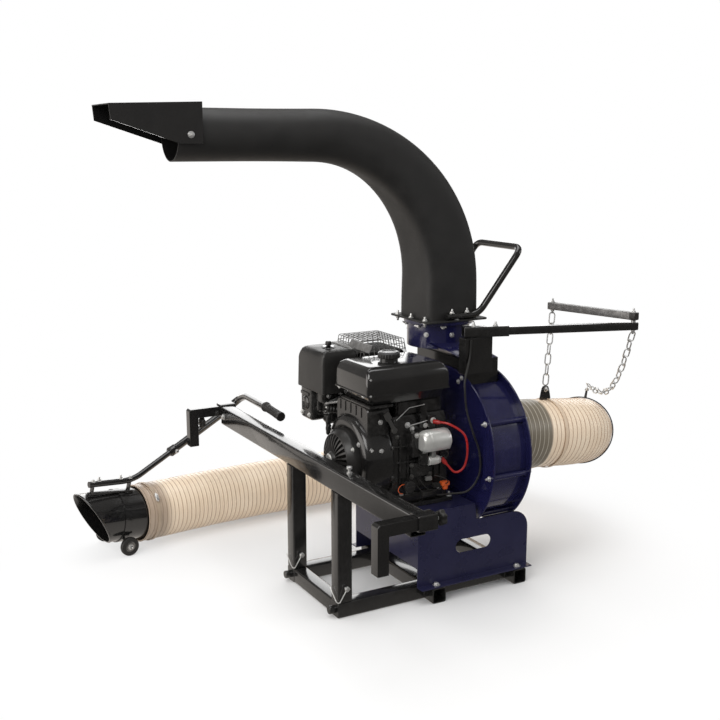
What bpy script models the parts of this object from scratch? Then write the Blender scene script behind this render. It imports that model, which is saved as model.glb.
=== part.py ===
"""Truck-hung leaf vacuum with engine, blower, swinging chute, hose and wheeled nozzle.

Metres. +Z is up. X runs along the crankshaft from the pull starter (-X) to the
hose inlet (+X). The origin is the middle of the underside of the first foot tube.
"""

import math

import bmesh
import bpy
from mathutils import Matrix, Vector

for _thing in list(bpy.data.objects):
    bpy.data.objects.remove(_thing, do_unlink=True)

# Driving sizes.
GAP = 0.0003

TUBE = 0.050
BASE_LEFT = -0.340
FOOT_PITCH = 0.322
FOOT_HALF_SPAN = 0.235
BASE_HALF_WIDTH = 0.184
STUB_SIDE = 0.040
STUB_TOP = 0.160

PIN_Z = 0.098
PIN_RADIUS = 0.0040
PIN_HOLE = 0.0046
RAIL_BOTTOM = 0.406
RAIL_HEIGHT = 0.068
RAIL_NEAR = -0.5975
RAIL_FAR = 0.7600
HOOK_SIDE = 0.035
HOOK_SLEEVE_SIDE = 0.045
HOOK_SLEEVE_LENGTH = 0.060
HOOK_REACH = 0.124
HOOK_DROP = 0.143

STAND_HALF_WIDTH = 0.200
STAND_SHEET = 0.004
STAND_LEFT = -0.060
STAND_RIGHT = 0.372
STAND_DECK = 0.300
STAND_CHEEK = 0.2448

BLOWER_Z = 0.440
BACK_PLATE_X = 0.178
FRONT_PLATE_X = 0.319
PLATE_SHEET = 0.006
PLATE_RADIUS = 0.279
BAND_RADIUS = 0.250
BAND_SHEET = 0.004
SPACER_RADIUS = 0.009
SPACER_COUNT = 9
IMPELLER_RADIUS = BAND_RADIUS - 0.028
IMPELLER_BLADES = 6
INLET_RADIUS = 0.108
INLET_LENGTH = 0.095
INLET_SHEET = 0.0042

THROAT_NEAR_Y = -0.4 * BAND_RADIUS
THROAT_FAR_Y = 0.8 * BAND_RADIUS
THROAT_TOP = 0.753
DUCT_SHEET = 0.003
CHUTE_X = 0.191
CHUTE_Y = 0.085
COLLAR_BOTTOM = 0.800
COLLAR_RADIUS = 0.0955
FLANGE_HALF = 0.1205
FLANGE_Z = 0.8710
COLLAR_TOP = FLANGE_Z - GAP
FLANGE_SHEET = 0.006
CHUTE_HALF = 0.0950
CHUTE_ROUND = 0.0770
CHUTE_BEND = 0.392
CHUTE_AXIS_Z = 1.472
CHUTE_END_X = -0.738
CHUTE_STEPS = 10
HANDLE_RADIUS = 0.0095
HOOD_PIVOT_X = CHUTE_END_X + 0.034
HOOD_PIVOT_Z = CHUTE_AXIS_Z - 0.001
HOOD_HALF = 0.0835
HOOD_SHEET = 0.003

SLEEVE_START = Vector((0.161, -0.106, 0.8505))
ARM_END = Vector((0.739, -0.289, 0.8505))
SLEEVE_LENGTH = 0.152
SLEEVE_SIDE = 0.034
ARM_SIDE = 0.026
LINK_SIDE = 0.026
LINK_HEIGHT = 0.025
LINK_GAP = 0.0075
LINK_END = Vector((0.640, 0.030, 0.0))
CHAIN_PITCH = 0.0215
CHAIN_HALF = 0.0085
CHAIN_WIRE = 0.0024
CHAIN_END = CHAIN_WIRE * 1.72 + GAP
CHAIN_SAG = 0.070
COLLAR_AT = (0.605, 0.000)
HOOP_AT = (0.832, 0.090)
EAR_HEIGHT = 0.050
KNOB_TOP = 0.0445

CRANK_Z = 0.458
INLET_Z = 0.446
TANK_LEFT = -0.218
TANK_RIGHT = 0.087
TANK_NEAR = -0.150
TANK_FAR = 0.068
TANK_RISE = 0.388
TANK_SEAM = STAND_DECK + TANK_RISE
TANK_BOTTOM = TANK_SEAM - 0.036
BLOCK_TOP = TANK_BOTTOM - 0.052
SHROUD_TOP = TANK_BOTTOM - 0.012

HOSE_WALL = 0.0055
HOSE_PITCH = 0.0265
HOSE_SIDES = 12
HOSE_ROUTE = [
    (0.345, 0.000, 0.446, 0.1225),
    (0.430, 0.000, 0.446, 0.1225),
    (0.560, 0.000, 0.434, 0.1225),
    (0.700, 0.010, 0.418, 0.1220),
    (0.800, 0.050, 0.400, 0.1215),
    (0.868, 0.140, 0.370, 0.1210),
    (0.885, 0.270, 0.325, 0.1200),
    (0.860, 0.410, 0.268, 0.1180),
    (0.800, 0.540, 0.208, 0.1160),
    (0.690, 0.660, 0.152, 0.1130),
    (0.520, 0.750, 0.120, 0.1090),
    (0.250, 0.800, 0.110, 0.1065),
    (-0.050, 0.812, 0.109, 0.1060),
    (-0.350, 0.802, 0.109, 0.1060),
    (-0.560, 0.777, 0.110, 0.1060),
    (-0.690, 0.750, 0.115, 0.1060),
]

NOZZLE_BACK = Vector((-0.625, 0.7635, 0.1105))
NOZZLE_FRONT = Vector((-0.862, 0.7136, 0.1360))
NOZZLE_RADIUS = 0.0930
NOZZLE_SHEET = 0.003
WHEEL_RADIUS = 0.034
WHEEL_WIDTH = 0.020
BOOM_BEND = Vector((-0.7060, 0.7150, 0.2550))
BOOM_TOP = Vector((-0.2860, 0.9050, 0.4040))
BOOM_STEP = BOOM_BEND.lerp(BOOM_TOP, 0.40)
BOOM_LOW = 0.0110
BOOM_HIGH = 0.0150


# Solid helpers.
def material(name, colour, metallic=0.0, roughness=0.5):
    """Return a plain surface with its own name."""
    found = bpy.data.materials.new(name)
    found.use_nodes = True
    shader = found.node_tree.nodes["Principled BSDF"]
    shader.inputs["Base Color"].default_value = (*colour, 1.0)
    shader.inputs["Metallic"].default_value = metallic
    shader.inputs["Roughness"].default_value = roughness
    found.diffuse_color = (*colour, 1.0)
    return found


def make(name, verts, faces):
    """Build a named object from vertices and faces, with faces turned outwards."""
    mesh = bpy.data.meshes.new(name)
    mesh.from_pydata([tuple(v) for v in verts], [], faces)
    body = bmesh.new()
    body.from_mesh(mesh)
    bmesh.ops.recalc_face_normals(body, faces=body.faces)
    body.to_mesh(mesh)
    body.free()
    thing = bpy.data.objects.new(name, mesh)
    bpy.context.scene.collection.objects.link(thing)
    return thing


def box(name, x0, x1, y0, y1, z0, z1):
    """Build an upright box from its limits."""
    verts = [(x, y, z) for x in (x0, x1) for y in (y0, y1) for z in (z0, z1)]
    faces = [(0, 1, 3, 2), (4, 6, 7, 5), (0, 4, 5, 1), (2, 3, 7, 6), (0, 2, 6, 4), (1, 5, 7, 3)]
    return make(name, verts, faces)


def frames(points):
    """Return a smoothly turning pair of cross axes at every point of a line."""
    points = [Vector(p) for p in points]
    tangents = []
    for i in range(len(points)):
        a = points[max(i - 1, 0)]
        b = points[min(i + 1, len(points) - 1)]
        tangents.append((b - a).normalized())
    start = Vector((0, 0, 1)) if abs(tangents[0].z) < 0.9 else Vector((1, 0, 0))
    u = (start - tangents[0] * start.dot(tangents[0])).normalized()
    found = []
    for t in tangents:
        u = (u - t * u.dot(t)).normalized()
        found.append((u, t.cross(u).normalized(), t))
    return found


def circle(centre, u, v, radius, count):
    """Return the points of a circle in the plane of u and v."""
    return [
        centre + radius * (math.cos(math.tau * k / count) * u + math.sin(math.tau * k / count) * v)
        for k in range(count)
    ]


def skin(name, rings, closed=False):
    """Join equal rings of points into a solid with flat ends."""
    count = len(rings[0])
    verts = [p for ring in rings for p in ring]
    faces = []
    last = len(rings) if closed else len(rings) - 1
    for i in range(last):
        j = (i + 1) % len(rings)
        for k in range(count):
            m = (k + 1) % count
            faces.append((i * count + k, i * count + m, j * count + m, j * count + k))
    if not closed:
        faces.append(tuple(range(count)))
        faces.append(tuple((len(rings) - 1) * count + k for k in range(count)))
    return make(name, verts, faces)


def shell(name, outer, inner):
    """Join outer rings and inner rings into an open-ended tube with a wall."""
    return skin(name, list(outer) + list(reversed(inner)), closed=True)


def rod(name, a, b, radius, count=16, radius_b=None):
    """Build a round bar, or a cone, between two points."""
    a, b = Vector(a), Vector(b)
    u, v, _ = frames([a, b])[0]
    end = radius if radius_b is None else radius_b
    return skin(name, [circle(a, u, v, radius, count), circle(b, u, v, end, count)])


def pipe(name, a, b, outer, inner, count=32):
    """Build a straight tube with a wall between two points."""
    a, b = Vector(a), Vector(b)
    u, v, _ = frames([a, b])[0]
    return shell(
        name,
        [circle(a, u, v, outer, count), circle(b, u, v, outer, count)],
        [circle(a, u, v, inner, count), circle(b, u, v, inner, count)],
    )


def turned(name, a, b, profile, count=24):
    """Build a solid of revolution from (distance along, radius) pairs."""
    a, b = Vector(a), Vector(b)
    u, v, t = frames([a, b])[0]
    return skin(name, [circle(a + t * s, u, v, r, count) for s, r in profile])


def bar(name, points, radius, count=10):
    """Build a round bar along a bent line."""
    points = [Vector(p) for p in points]
    axes = frames(points)
    return skin(name, [circle(p, u, v, radius, count) for p, (u, v, _) in zip(points, axes)])


def beam(name, a, b, width, height, up=(0, 0, 1)):
    """Build a rectangular bar between two points."""
    a, b, up = Vector(a), Vector(b), Vector(up)
    t = (b - a).normalized()
    side = t.cross(up).normalized()
    top = side.cross(t).normalized()
    corners = [(-1, -1), (1, -1), (1, 1), (-1, 1)]
    return skin(
        name,
        [[p + side * sx * width / 2 + top * sy * height / 2 for sx, sy in corners] for p in (a, b)],
    )


def plate(name, outline, axis, low, high):
    """Push a flat outline along one axis; outline holds the two other coordinates."""
    others = [k for k in range(3) if k != axis]

    def lift(p, level):
        point = [0.0, 0.0, 0.0]
        point[others[0]], point[others[1]] = p
        point[axis] = level
        return Vector(point)

    return skin(name, [[lift(p, low) for p in outline], [lift(p, high) for p in outline]])


def combine(body, tools, how="UNION"):
    """Add tools to a body, or cut them from it, and remove the tools."""
    for tool in tools:
        step = body.modifiers.new("step", "BOOLEAN")
        step.operation = how
        step.solver = "EXACT"
        step.object = tool
        bpy.context.view_layer.update()
        seen = bpy.context.evaluated_depsgraph_get()
        mesh = bpy.data.meshes.new_from_object(body.evaluated_get(seen))
        body.modifiers.clear()
        body.data = mesh
        bpy.data.objects.remove(tool, do_unlink=True)
    return body


def finish(thing, surface, smooth=False):
    """Give a piece its one surface and its shading."""
    thing.data.materials.clear()
    thing.data.materials.append(surface)
    thing.data.polygons.foreach_set("material_index", [0] * len(thing.data.polygons))
    thing.data.polygons.foreach_set("use_smooth", [smooth] * len(thing.data.polygons))
    return thing


def spline(points, steps):
    """Return a smooth line through points of any length, evenly stepped per span."""
    found = []
    count = len(points)
    for i in range(count - 1):
        p0 = points[max(i - 1, 0)]
        p1, p2 = points[i], points[i + 1]
        p3 = points[min(i + 2, count - 1)]
        for k in range(steps):
            t = k / steps
            found.append(
                tuple(
                    0.5
                    * (
                        2 * b
                        + (c - a) * t
                        + (2 * a - 5 * b + 4 * c - d) * t * t
                        + (3 * b - a - 3 * c + d) * t * t * t
                    )
                    for a, b, c, d in zip(p0, p1, p2, p3)
                )
            )
    found.append(tuple(points[-1]))
    return found


def walk(points, distance):
    """Return points spaced by a distance along a line whose first three values are places."""
    lengths = [0.0]
    for a, b in zip(points, points[1:]):
        lengths.append(lengths[-1] + (Vector(b[:3]) - Vector(a[:3])).length)
    count = max(2, round(lengths[-1] / distance))
    found = []
    k = 0
    for i in range(count + 1):
        want = lengths[-1] * i / count
        while k < len(points) - 2 and lengths[k + 1] < want:
            k += 1
        span = lengths[k + 1] - lengths[k]
        t = (want - lengths[k]) / span
        found.append(tuple(a + (b - a) * t for a, b in zip(points[k], points[k + 1])))
    return found


def slot_outline(x0, x1, z0, z1, steps=8):
    """Return the outline of a round-ended slot."""
    r = (z1 - z0) / 2
    z = (z0 + z1) / 2
    turns = [math.pi * k / steps for k in range(steps + 1)]
    right = [(x1 - r + r * math.sin(turn), z - r * math.cos(turn)) for turn in turns]
    left = [(x0 + r - r * math.sin(turn), z + r * math.cos(turn)) for turn in turns]
    return right + left


def move(thing, offset):
    """Shift the mesh of a piece."""
    thing.data.transform(Matrix.Translation(offset))
    return thing


def star_knob(name, centre, axis, radius, depth, lobes=6):
    """Build a lobed hand knob with its face centred on a point."""
    centre, axis = Vector(centre), Vector(axis).normalized()
    u, v, _ = frames([centre, centre + axis])[0]
    count = lobes * 6

    def ring(level, scale):
        points = []
        for k in range(count):
            turn = math.tau * k / count
            r = radius * scale * (1.0 + 0.14 * math.cos(lobes * turn))
            points.append(centre + axis * level + r * (math.cos(turn) * u + math.sin(turn) * v))
        return points

    levels = [(0.0, 0.60), (0.12 * depth, 0.86), (0.8 * depth, 0.86), (depth, 0.70)]
    return skin(name, [ring(s, r) for s, r in levels])


# Surfaces.
FRAME_BLACK = dict(colour=(0.014, 0.014, 0.015), metallic=0.0, roughness=0.32)
NAVY = dict(colour=(0.010, 0.011, 0.045), metallic=0.0, roughness=0.28)
ZINC = dict(colour=(0.62, 0.62, 0.60), metallic=1.0, roughness=0.33)
RUBBER = dict(colour=(0.020, 0.019, 0.018), metallic=0.0, roughness=0.80)
ENGINE_BLACK = dict(colour=(0.018, 0.018, 0.019), metallic=0.0, roughness=0.38)
TAN = dict(colour=(0.62, 0.52, 0.40), metallic=0.0, roughness=0.42)
RED = dict(colour=(0.45, 0.015, 0.012), metallic=0.0, roughness=0.45)
STEEL = dict(colour=(0.30, 0.30, 0.31), metallic=1.0, roughness=0.45)
CASTING = dict(colour=(0.055, 0.055, 0.055), metallic=0.55, roughness=0.5)
MATTE_BLACK = dict(colour=(0.022, 0.021, 0.021), metallic=0.0, roughness=0.60)


def paint(name, kind):
    """Return a new surface of one of the kinds above."""
    return material(name + "_finish", **kind)


# Base and rail.
POST_X = BASE_LEFT + TUBE / 2
POST_Y = BASE_HALF_WIDTH - TUBE / 2
SIDES = {"near": -1, "far": 1}
FOOT_2 = FOOT_PITCH


def build_base():
    """Build the welded base frame with its post stubs and stop pads."""
    right = FOOT_2 + TUBE / 2
    base = box("base_frame", BASE_LEFT, right, -BASE_HALF_WIDTH, -BASE_HALF_WIDTH + TUBE, 0, TUBE)
    extra = [
        box("t", BASE_LEFT, right, BASE_HALF_WIDTH - TUBE, BASE_HALF_WIDTH, 0, TUBE),
        box("t", BASE_LEFT, BASE_LEFT + TUBE, -BASE_HALF_WIDTH, BASE_HALF_WIDTH, 0, TUBE),
    ]
    for x in (0.0, FOOT_2):
        extra.append(box("t", x - TUBE / 2, x + TUBE / 2, -FOOT_HALF_SPAN, FOOT_HALF_SPAN, 0, TUBE))
    for side in SIDES.values():
        y = side * POST_Y
        h = STUB_SIDE / 2
        extra.append(box("t", POST_X - h, POST_X + h, y - h, y + h, TUBE / 2, STUB_TOP))
        start, stop = (BASE_LEFT - 0.022, y, TUBE / 2), (BASE_LEFT + 0.01, y, TUBE / 2)
        extra.append(rod("t", start, stop, 0.013, 20))
    combine(base, extra)
    cuts = []
    inset = TUBE / 2 - 0.004
    for x in (0.0, FOOT_2):
        for side in SIDES.values():
            y0, y1 = sorted((side * (FOOT_HALF_SPAN - 0.012), side * (FOOT_HALF_SPAN + 0.01)))
            cuts.append(box("c", x - inset, x + inset, y0, y1, TUBE / 2 - inset, TUBE / 2 + inset))
    for side in SIDES.values():
        y = side * POST_Y
        cuts.append(rod("c", (POST_X, y - TUBE, PIN_Z), (POST_X, y + TUBE, PIN_Z), PIN_HOLE, 16))
    combine(base, cuts, "DIFFERENCE")
    return finish(base, paint("base_frame", FRAME_BLACK))


def build_post(name, side):
    """Build one post: hollow at the foot so that it drops over its stub."""
    y = side * POST_Y
    h = TUBE / 2
    post = box(name, POST_X - h, POST_X + h, y - h, y + h, TUBE + GAP, RAIL_BOTTOM - GAP)
    inner = STUB_SIDE / 2 + 0.0008
    cuts = [
        box("c", POST_X - inner, POST_X + inner, y - inner, y + inner, 0.0, STUB_TOP + 0.002),
        rod("c", (POST_X, y - TUBE, PIN_Z), (POST_X, y + TUBE, PIN_Z), PIN_HOLE, 16),
    ]
    combine(post, cuts, "DIFFERENCE")
    return finish(post, paint(name, FRAME_BLACK))


def build_pin(name, side):
    """Build one wire lock pin, entered from the -Y face of its post."""
    y = side * POST_Y
    face = y - TUBE / 2
    left = BASE_LEFT - 0.0055
    stop = (POST_X, y + TUBE / 2 + 0.006, PIN_Z)
    pin = rod(name, (POST_X, face - 0.016, PIN_Z), stop, PIN_RADIUS, 12)
    head = rod("t", (POST_X, face - 0.018, PIN_Z), (POST_X, face - 0.006, PIN_Z), 0.0085, 16)
    wire = bar(
        "t",
        [
            (POST_X, face - 0.010, PIN_Z + 0.004),
            (POST_X - 0.006, face - 0.0125, PIN_Z - 0.006),
            (left + 0.006, face - 0.0105, PIN_Z - 0.038),
            (left, face - 0.006, PIN_Z - 0.041),
            (left - 0.0005, face + 0.004, PIN_Z - 0.038),
            (left, face + 0.044, PIN_Z - 0.008),
        ],
        0.0017,
        8,
    )
    combine(pin, [head, wire])
    return finish(pin, paint(name, ZINC))


def hook_y(side):
    """Return the middle of a hook arm across the rail."""
    reach = HOOK_SLEEVE_SIDE / 2
    return RAIL_NEAR - reach if side < 0 else RAIL_FAR + reach


def build_rail():
    """Build the rail across the posts with an open sleeve at each end."""
    x0, x1 = BASE_LEFT, BASE_LEFT + TUBE + 0.001
    top = RAIL_BOTTOM + RAIL_HEIGHT
    rail = box("tailgate_rail", x0, x1, RAIL_NEAR, RAIL_FAR, RAIL_BOTTOM, top)
    h = HOOK_SLEEVE_SIDE / 2
    z = top - HOOK_SIDE / 2
    left, right = BASE_LEFT, BASE_LEFT + HOOK_SLEEVE_LENGTH
    tools = []
    cuts = []
    for side in SIDES.values():
        y = hook_y(side)
        y0, y1 = (y - h, y + h + 0.006) if side < 0 else (y - h - 0.006, y + h)
        tools.append(box("t", left, right, y0, y1, z - h, z + h))
        inner = HOOK_SIDE / 2 + 0.0006
        cuts.append(box("c", left - 0.1, right + 0.1, y - inner, y + inner, z - inner, z + inner))
    combine(rail, tools)
    combine(rail, cuts, "DIFFERENCE")
    return finish(rail, paint("tailgate_rail", FRAME_BLACK))


def build_hook(name, side):
    """Build one L-shaped hook arm with its drop leg."""
    y = hook_y(side)
    h = HOOK_SIDE / 2
    top = RAIL_BOTTOM + RAIL_HEIGHT
    left = BASE_LEFT - HOOK_REACH
    right = BASE_LEFT + TUBE + 0.014
    outline = [
        (left, top - HOOK_DROP),
        (left + HOOK_SIDE, top - HOOK_DROP),
        (left + HOOK_SIDE, top - HOOK_SIDE),
        (right, top - HOOK_SIDE),
        (right, top),
        (left + 0.006, top),
        (left, top - 0.006),
    ]
    hook = plate(name, outline, 1, y - h, y + h)
    wall = 0.0035
    inner = h - wall
    low = top - HOOK_DROP + 0.02
    open_end = box("c", left + wall, left + HOOK_SIDE - wall, y - inner, y + inner, 0.0, low)
    combine(hook, [open_end], "DIFFERENCE")
    return finish(hook, paint(name, FRAME_BLACK))


def build_hook_knobs():
    """Build the star knob of each hook with its short threaded shank."""
    top = RAIL_BOTTOM + RAIL_HEIGHT
    z = top - HOOK_SIDE / 2
    start = BASE_LEFT + TUBE + 0.014 + GAP
    near = star_knob("near_clamp_knob", (start + 0.010, hook_y(-1), z), (1, 0, 0), 0.017, 0.020)
    combine(near, [rod("t", (start, hook_y(-1), z), (start + 0.014, hook_y(-1), z), 0.005, 12)])
    finish(near, paint("near_clamp_knob", RUBBER))
    start = BASE_LEFT - HOOK_REACH + HOOK_SIDE + GAP
    z = top - 0.058
    far = star_knob("far_clamp_knob", (start + 0.012, hook_y(1), z), (1, 0, 0), 0.016, 0.018)
    combine(far, [rod("t", (start, hook_y(1), z), (start + 0.015, hook_y(1), z), 0.005, 12)])
    finish(far, paint("far_clamp_knob", RUBBER))


# Engine stand.
def build_stand():
    """Build the folded stand: two side walls, an end panel, a deck and bolt flanges."""
    s = STAND_SHEET
    base = TUBE + GAP
    corner = []
    for k in range(9):
        turn = math.pi / 2 * (1 - k / 8)
        x, z = STAND_RIGHT - 0.06, STAND_CHEEK - 0.06
        corner.append((x + 0.06 * math.cos(turn), z + 0.06 * math.sin(turn)))
    outline = [(STAND_LEFT - s, base), (STAND_LEFT - s, STAND_DECK)]
    outline += [(0.155, STAND_DECK), (0.162, STAND_CHEEK)]
    outline += corner
    outline += [(STAND_RIGHT, base)]
    w = STAND_HALF_WIDTH
    stand = plate("engine_stand", outline, 1, -w - s, -w)
    tools = [plate("t", outline, 1, w, w + s)]
    tools.append(box("t", STAND_LEFT - s, STAND_LEFT, -w - s, w + s, 0.115, STAND_DECK))
    tools.append(box("t", STAND_LEFT - s, 0.155, -w - s, w + s, STAND_DECK - s, STAND_DECK))
    for side in (-1, 1):
        y0, y1 = sorted((side * w, side * (FOOT_HALF_SPAN - 0.002)))
        tools.append(box("t", STAND_LEFT - s, STAND_RIGHT, y0, y1, base, base + s))
    combine(stand, tools)
    hole = plate("c", slot_outline(0.081, 0.221, 0.140, 0.186), 1, -0.3, 0.3)
    combine(stand, [hole], "DIFFERENCE")
    return finish(stand, paint("engine_stand", NAVY))


# Blower.
def ring_point(angle, radius, x, z=None):
    """Return a point round an axis along X, the angle measured from +Y towards +Z."""
    level = BLOWER_Z if z is None else z
    return Vector((x, radius * math.cos(angle), level + radius * math.sin(angle)))


def build_blower():
    """Build the blower plates, the scroll band, the inlet collar and the impeller."""
    ends = [(x, 0, BLOWER_Z) for x in (BACK_PLATE_X - PLATE_SHEET, BACK_PLATE_X)]
    back = rod("housing_back_plate", ends[0], ends[1], PLATE_RADIUS, 48)
    ends = [(BACK_PLATE_X + step, 0, CRANK_Z) for step in (-0.02, 0.02)]
    shaft_hole = rod("c", ends[0], ends[1], 0.030, 24)
    combine(back, [shaft_hole], "DIFFERENCE")
    finish(back, paint("housing_back_plate", NAVY))

    x0, x1 = BACK_PLATE_X + GAP, FRONT_PLATE_X - GAP
    ends = [(x, 0, BLOWER_Z) for x in (x0, x1)]
    band = pipe("scroll_band", ends[0], ends[1], BAND_RADIUS, BAND_RADIUS - BAND_SHEET, 48)
    spacers = []
    for k in range(SPACER_COUNT):
        turn = math.radians(150.4 + 360.0 / SPACER_COUNT * k)
        place = ring_point(turn, BAND_RADIUS + SPACER_RADIUS - 0.0012, 0)
        if place.z > BLOWER_Z + 0.15 and THROAT_NEAR_Y - 0.02 < place.y < THROAT_FAR_Y + 0.02:
            continue
        spacers.append(rod("t", (x0, place.y, place.z), (x1, place.y, place.z), SPACER_RADIUS, 12))
    combine(band, spacers)
    y0, y1 = THROAT_NEAR_Y + 0.004, THROAT_FAR_Y - 0.004
    mouth = box("c", x0 - 0.1, x1 + 0.1, y0, y1, BLOWER_Z, BLOWER_Z + 0.4)
    combine(band, [mouth], "DIFFERENCE")
    finish(band, paint("scroll_band", NAVY))

    ends = [(x, 0, BLOWER_Z) for x in (FRONT_PLATE_X, FRONT_PLATE_X + PLATE_SHEET)]
    front = rod("housing_front_plate", ends[0], ends[1], PLATE_RADIUS - 0.003, 48)
    start, stop = (FRONT_PLATE_X - 0.01, 0, INLET_Z), (FRONT_PLATE_X + 0.02, 0, INLET_Z)
    eye = rod("c", start, stop, INLET_RADIUS, 32)
    combine(front, [eye], "DIFFERENCE")
    finish(front, paint("housing_front_plate", NAVY))

    start = FRONT_PLATE_X + PLATE_SHEET + GAP
    axis = [(start, 0, INLET_Z), (start + INLET_LENGTH, 0, INLET_Z)]
    collar = pipe("inlet_collar", axis[0], axis[1], INLET_RADIUS + INLET_SHEET, INLET_RADIUS, 32)
    stop = (start + 0.004, 0, INLET_Z)
    lip = pipe("t", axis[0], stop, INLET_RADIUS + 0.022, INLET_RADIUS + 0.0015, 32)
    combine(collar, [lip])
    finish(collar, paint("inlet_collar", NAVY))

    hub = rod("impeller", (0.1045, 0, CRANK_Z), (0.262, 0, CRANK_Z), 0.0125, 20)
    boss = rod("t", (0.1835, 0, CRANK_Z), (0.258, 0, CRANK_Z), 0.034, 20)
    disc = rod("t", (0.1865, 0, CRANK_Z), (0.1915, 0, CRANK_Z), IMPELLER_RADIUS, 40)
    blades = []
    for k in range(IMPELLER_BLADES):
        turn = math.tau * k / IMPELLER_BLADES
        blades.append(
            beam(
                "t",
                ring_point(turn, 0.024, 0.242, CRANK_Z),
                ring_point(turn, IMPELLER_RADIUS - 0.002, 0.242, CRANK_Z),
                0.006,
                0.106,
                up=(1, 0, 0),
            )
        )
    combine(hub, [boss, disc] + blades)
    finish(hub, paint("impeller", STEEL))


def rectangle(x0, x1, y0, y1, z, count):
    """Return evenly cut points round an upright rectangle, starting on its +X side."""
    half = Vector(((x1 - x0) / 2, (y1 - y0) / 2))
    middle = Vector(((x0 + x1) / 2, (y0 + y1) / 2))
    points = []
    for k in range(count):
        turn = math.tau * k / count + math.pi / 4
        c, s = math.cos(turn), math.sin(turn)
        scale = 1.0 / max(abs(c), abs(s))
        points.append(Vector((middle.x + half.x * c * scale, middle.y + half.y * s * scale, z)))
    return points


def build_outlet():
    """Build the throat on the scroll band, the transition and the turntable collar."""
    x0, x1 = BACK_PLATE_X + 0.0025, FRONT_PLATE_X - 0.0105
    w = DUCT_SHEET
    low = BLOWER_Z + 0.12
    throat = box("outlet_throat", x0, x1, THROAT_NEAR_Y, THROAT_FAR_Y, low, THROAT_TOP)
    cuts = [
        box("c", x0 + w, x1 - w, THROAT_NEAR_Y + w, THROAT_FAR_Y - w, low - 0.1, THROAT_TOP + 0.1),
        rod("c", (0.0, 0, BLOWER_Z), (0.5, 0, BLOWER_Z), BAND_RADIUS + GAP, 96),
    ]
    combine(throat, cuts, "DIFFERENCE")
    finish(throat, paint("outlet_throat", MATTE_BLACK))

    count = 32
    z0, z1 = THROAT_TOP + GAP, COLLAR_BOTTOM - GAP
    centre = Vector((CHUTE_X, CHUTE_Y, z1))
    turn = Matrix.Rotation(math.pi / 4, 3, "Z")
    u, v = turn @ Vector((1, 0, 0)), turn @ Vector((0, 1, 0))
    y0, y1 = THROAT_NEAR_Y, THROAT_FAR_Y
    outer = [rectangle(x0, x1, y0, y1, z0, count), circle(centre, u, v, COLLAR_RADIUS, count)]
    inner = [
        rectangle(x0 + w, x1 - w, y0 + w, y1 - w, z0, count),
        circle(centre, u, v, COLLAR_RADIUS - w, count),
    ]
    transition = shell("outlet_transition", outer, inner)
    finish(transition, paint("outlet_transition", NAVY))

    collar = pipe(
        "turntable_collar",
        (CHUTE_X, CHUTE_Y, COLLAR_BOTTOM),
        (CHUTE_X, CHUTE_Y, COLLAR_TOP),
        COLLAR_RADIUS,
        COLLAR_RADIUS - w,
        32,
    )
    lip = pipe(
        "t",
        (CHUTE_X, CHUTE_Y, COLLAR_TOP - 0.012),
        (CHUTE_X, CHUTE_Y, COLLAR_TOP),
        COLLAR_RADIUS + 0.022,
        COLLAR_RADIUS - w / 2,
        32,
    )
    combine(collar, [lip])
    finish(collar, paint("turntable_collar", NAVY))


# Chute.
def superellipse(centre, u, v, half, power, count):
    """Return a ring that goes from square (high power) to round (power 2)."""
    points = []
    for k in range(count):
        turn = math.tau * k / count + math.pi / count
        c, s = math.cos(turn), math.sin(turn)
        r = half / (abs(c) ** power + abs(s) ** power) ** (1.0 / power)
        points.append(centre + u * (r * c) + v * (r * s))
    return points


def chute_line():
    """Return places, cross axes and progress along the middle of the chute."""
    line = []
    low = FLANGE_Z
    turn_z = CHUTE_AXIS_Z - CHUTE_BEND
    line.append((Vector((CHUTE_X, CHUTE_Y, low)), Vector((0, 0, 1))))
    line.append((Vector((CHUTE_X, CHUTE_Y, low + 0.4785 * (turn_z - low))), Vector((0, 0, 1))))
    for k in range(CHUTE_STEPS + 1):
        a = math.pi / 2 * k / CHUTE_STEPS
        place = Vector(
            (
                CHUTE_X - CHUTE_BEND + CHUTE_BEND * math.cos(a),
                CHUTE_Y,
                turn_z + CHUTE_BEND * math.sin(a),
            )
        )
        line.append((place, Vector((-math.sin(a), 0, math.cos(a)))))
    end = Vector((CHUTE_END_X, CHUTE_Y, CHUTE_AXIS_Z))
    line.append((line[-1][0].lerp(end, 0.5), Vector((-1, 0, 0))))
    line.append((end, Vector((-1, 0, 0))))
    total = 0.0
    found = []
    for i, (p, t) in enumerate(line):
        if i:
            total += (p - line[i - 1][0]).length
        found.append((p, t, total))
    return [(p, t, s / total) for p, t, s in found]


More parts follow.
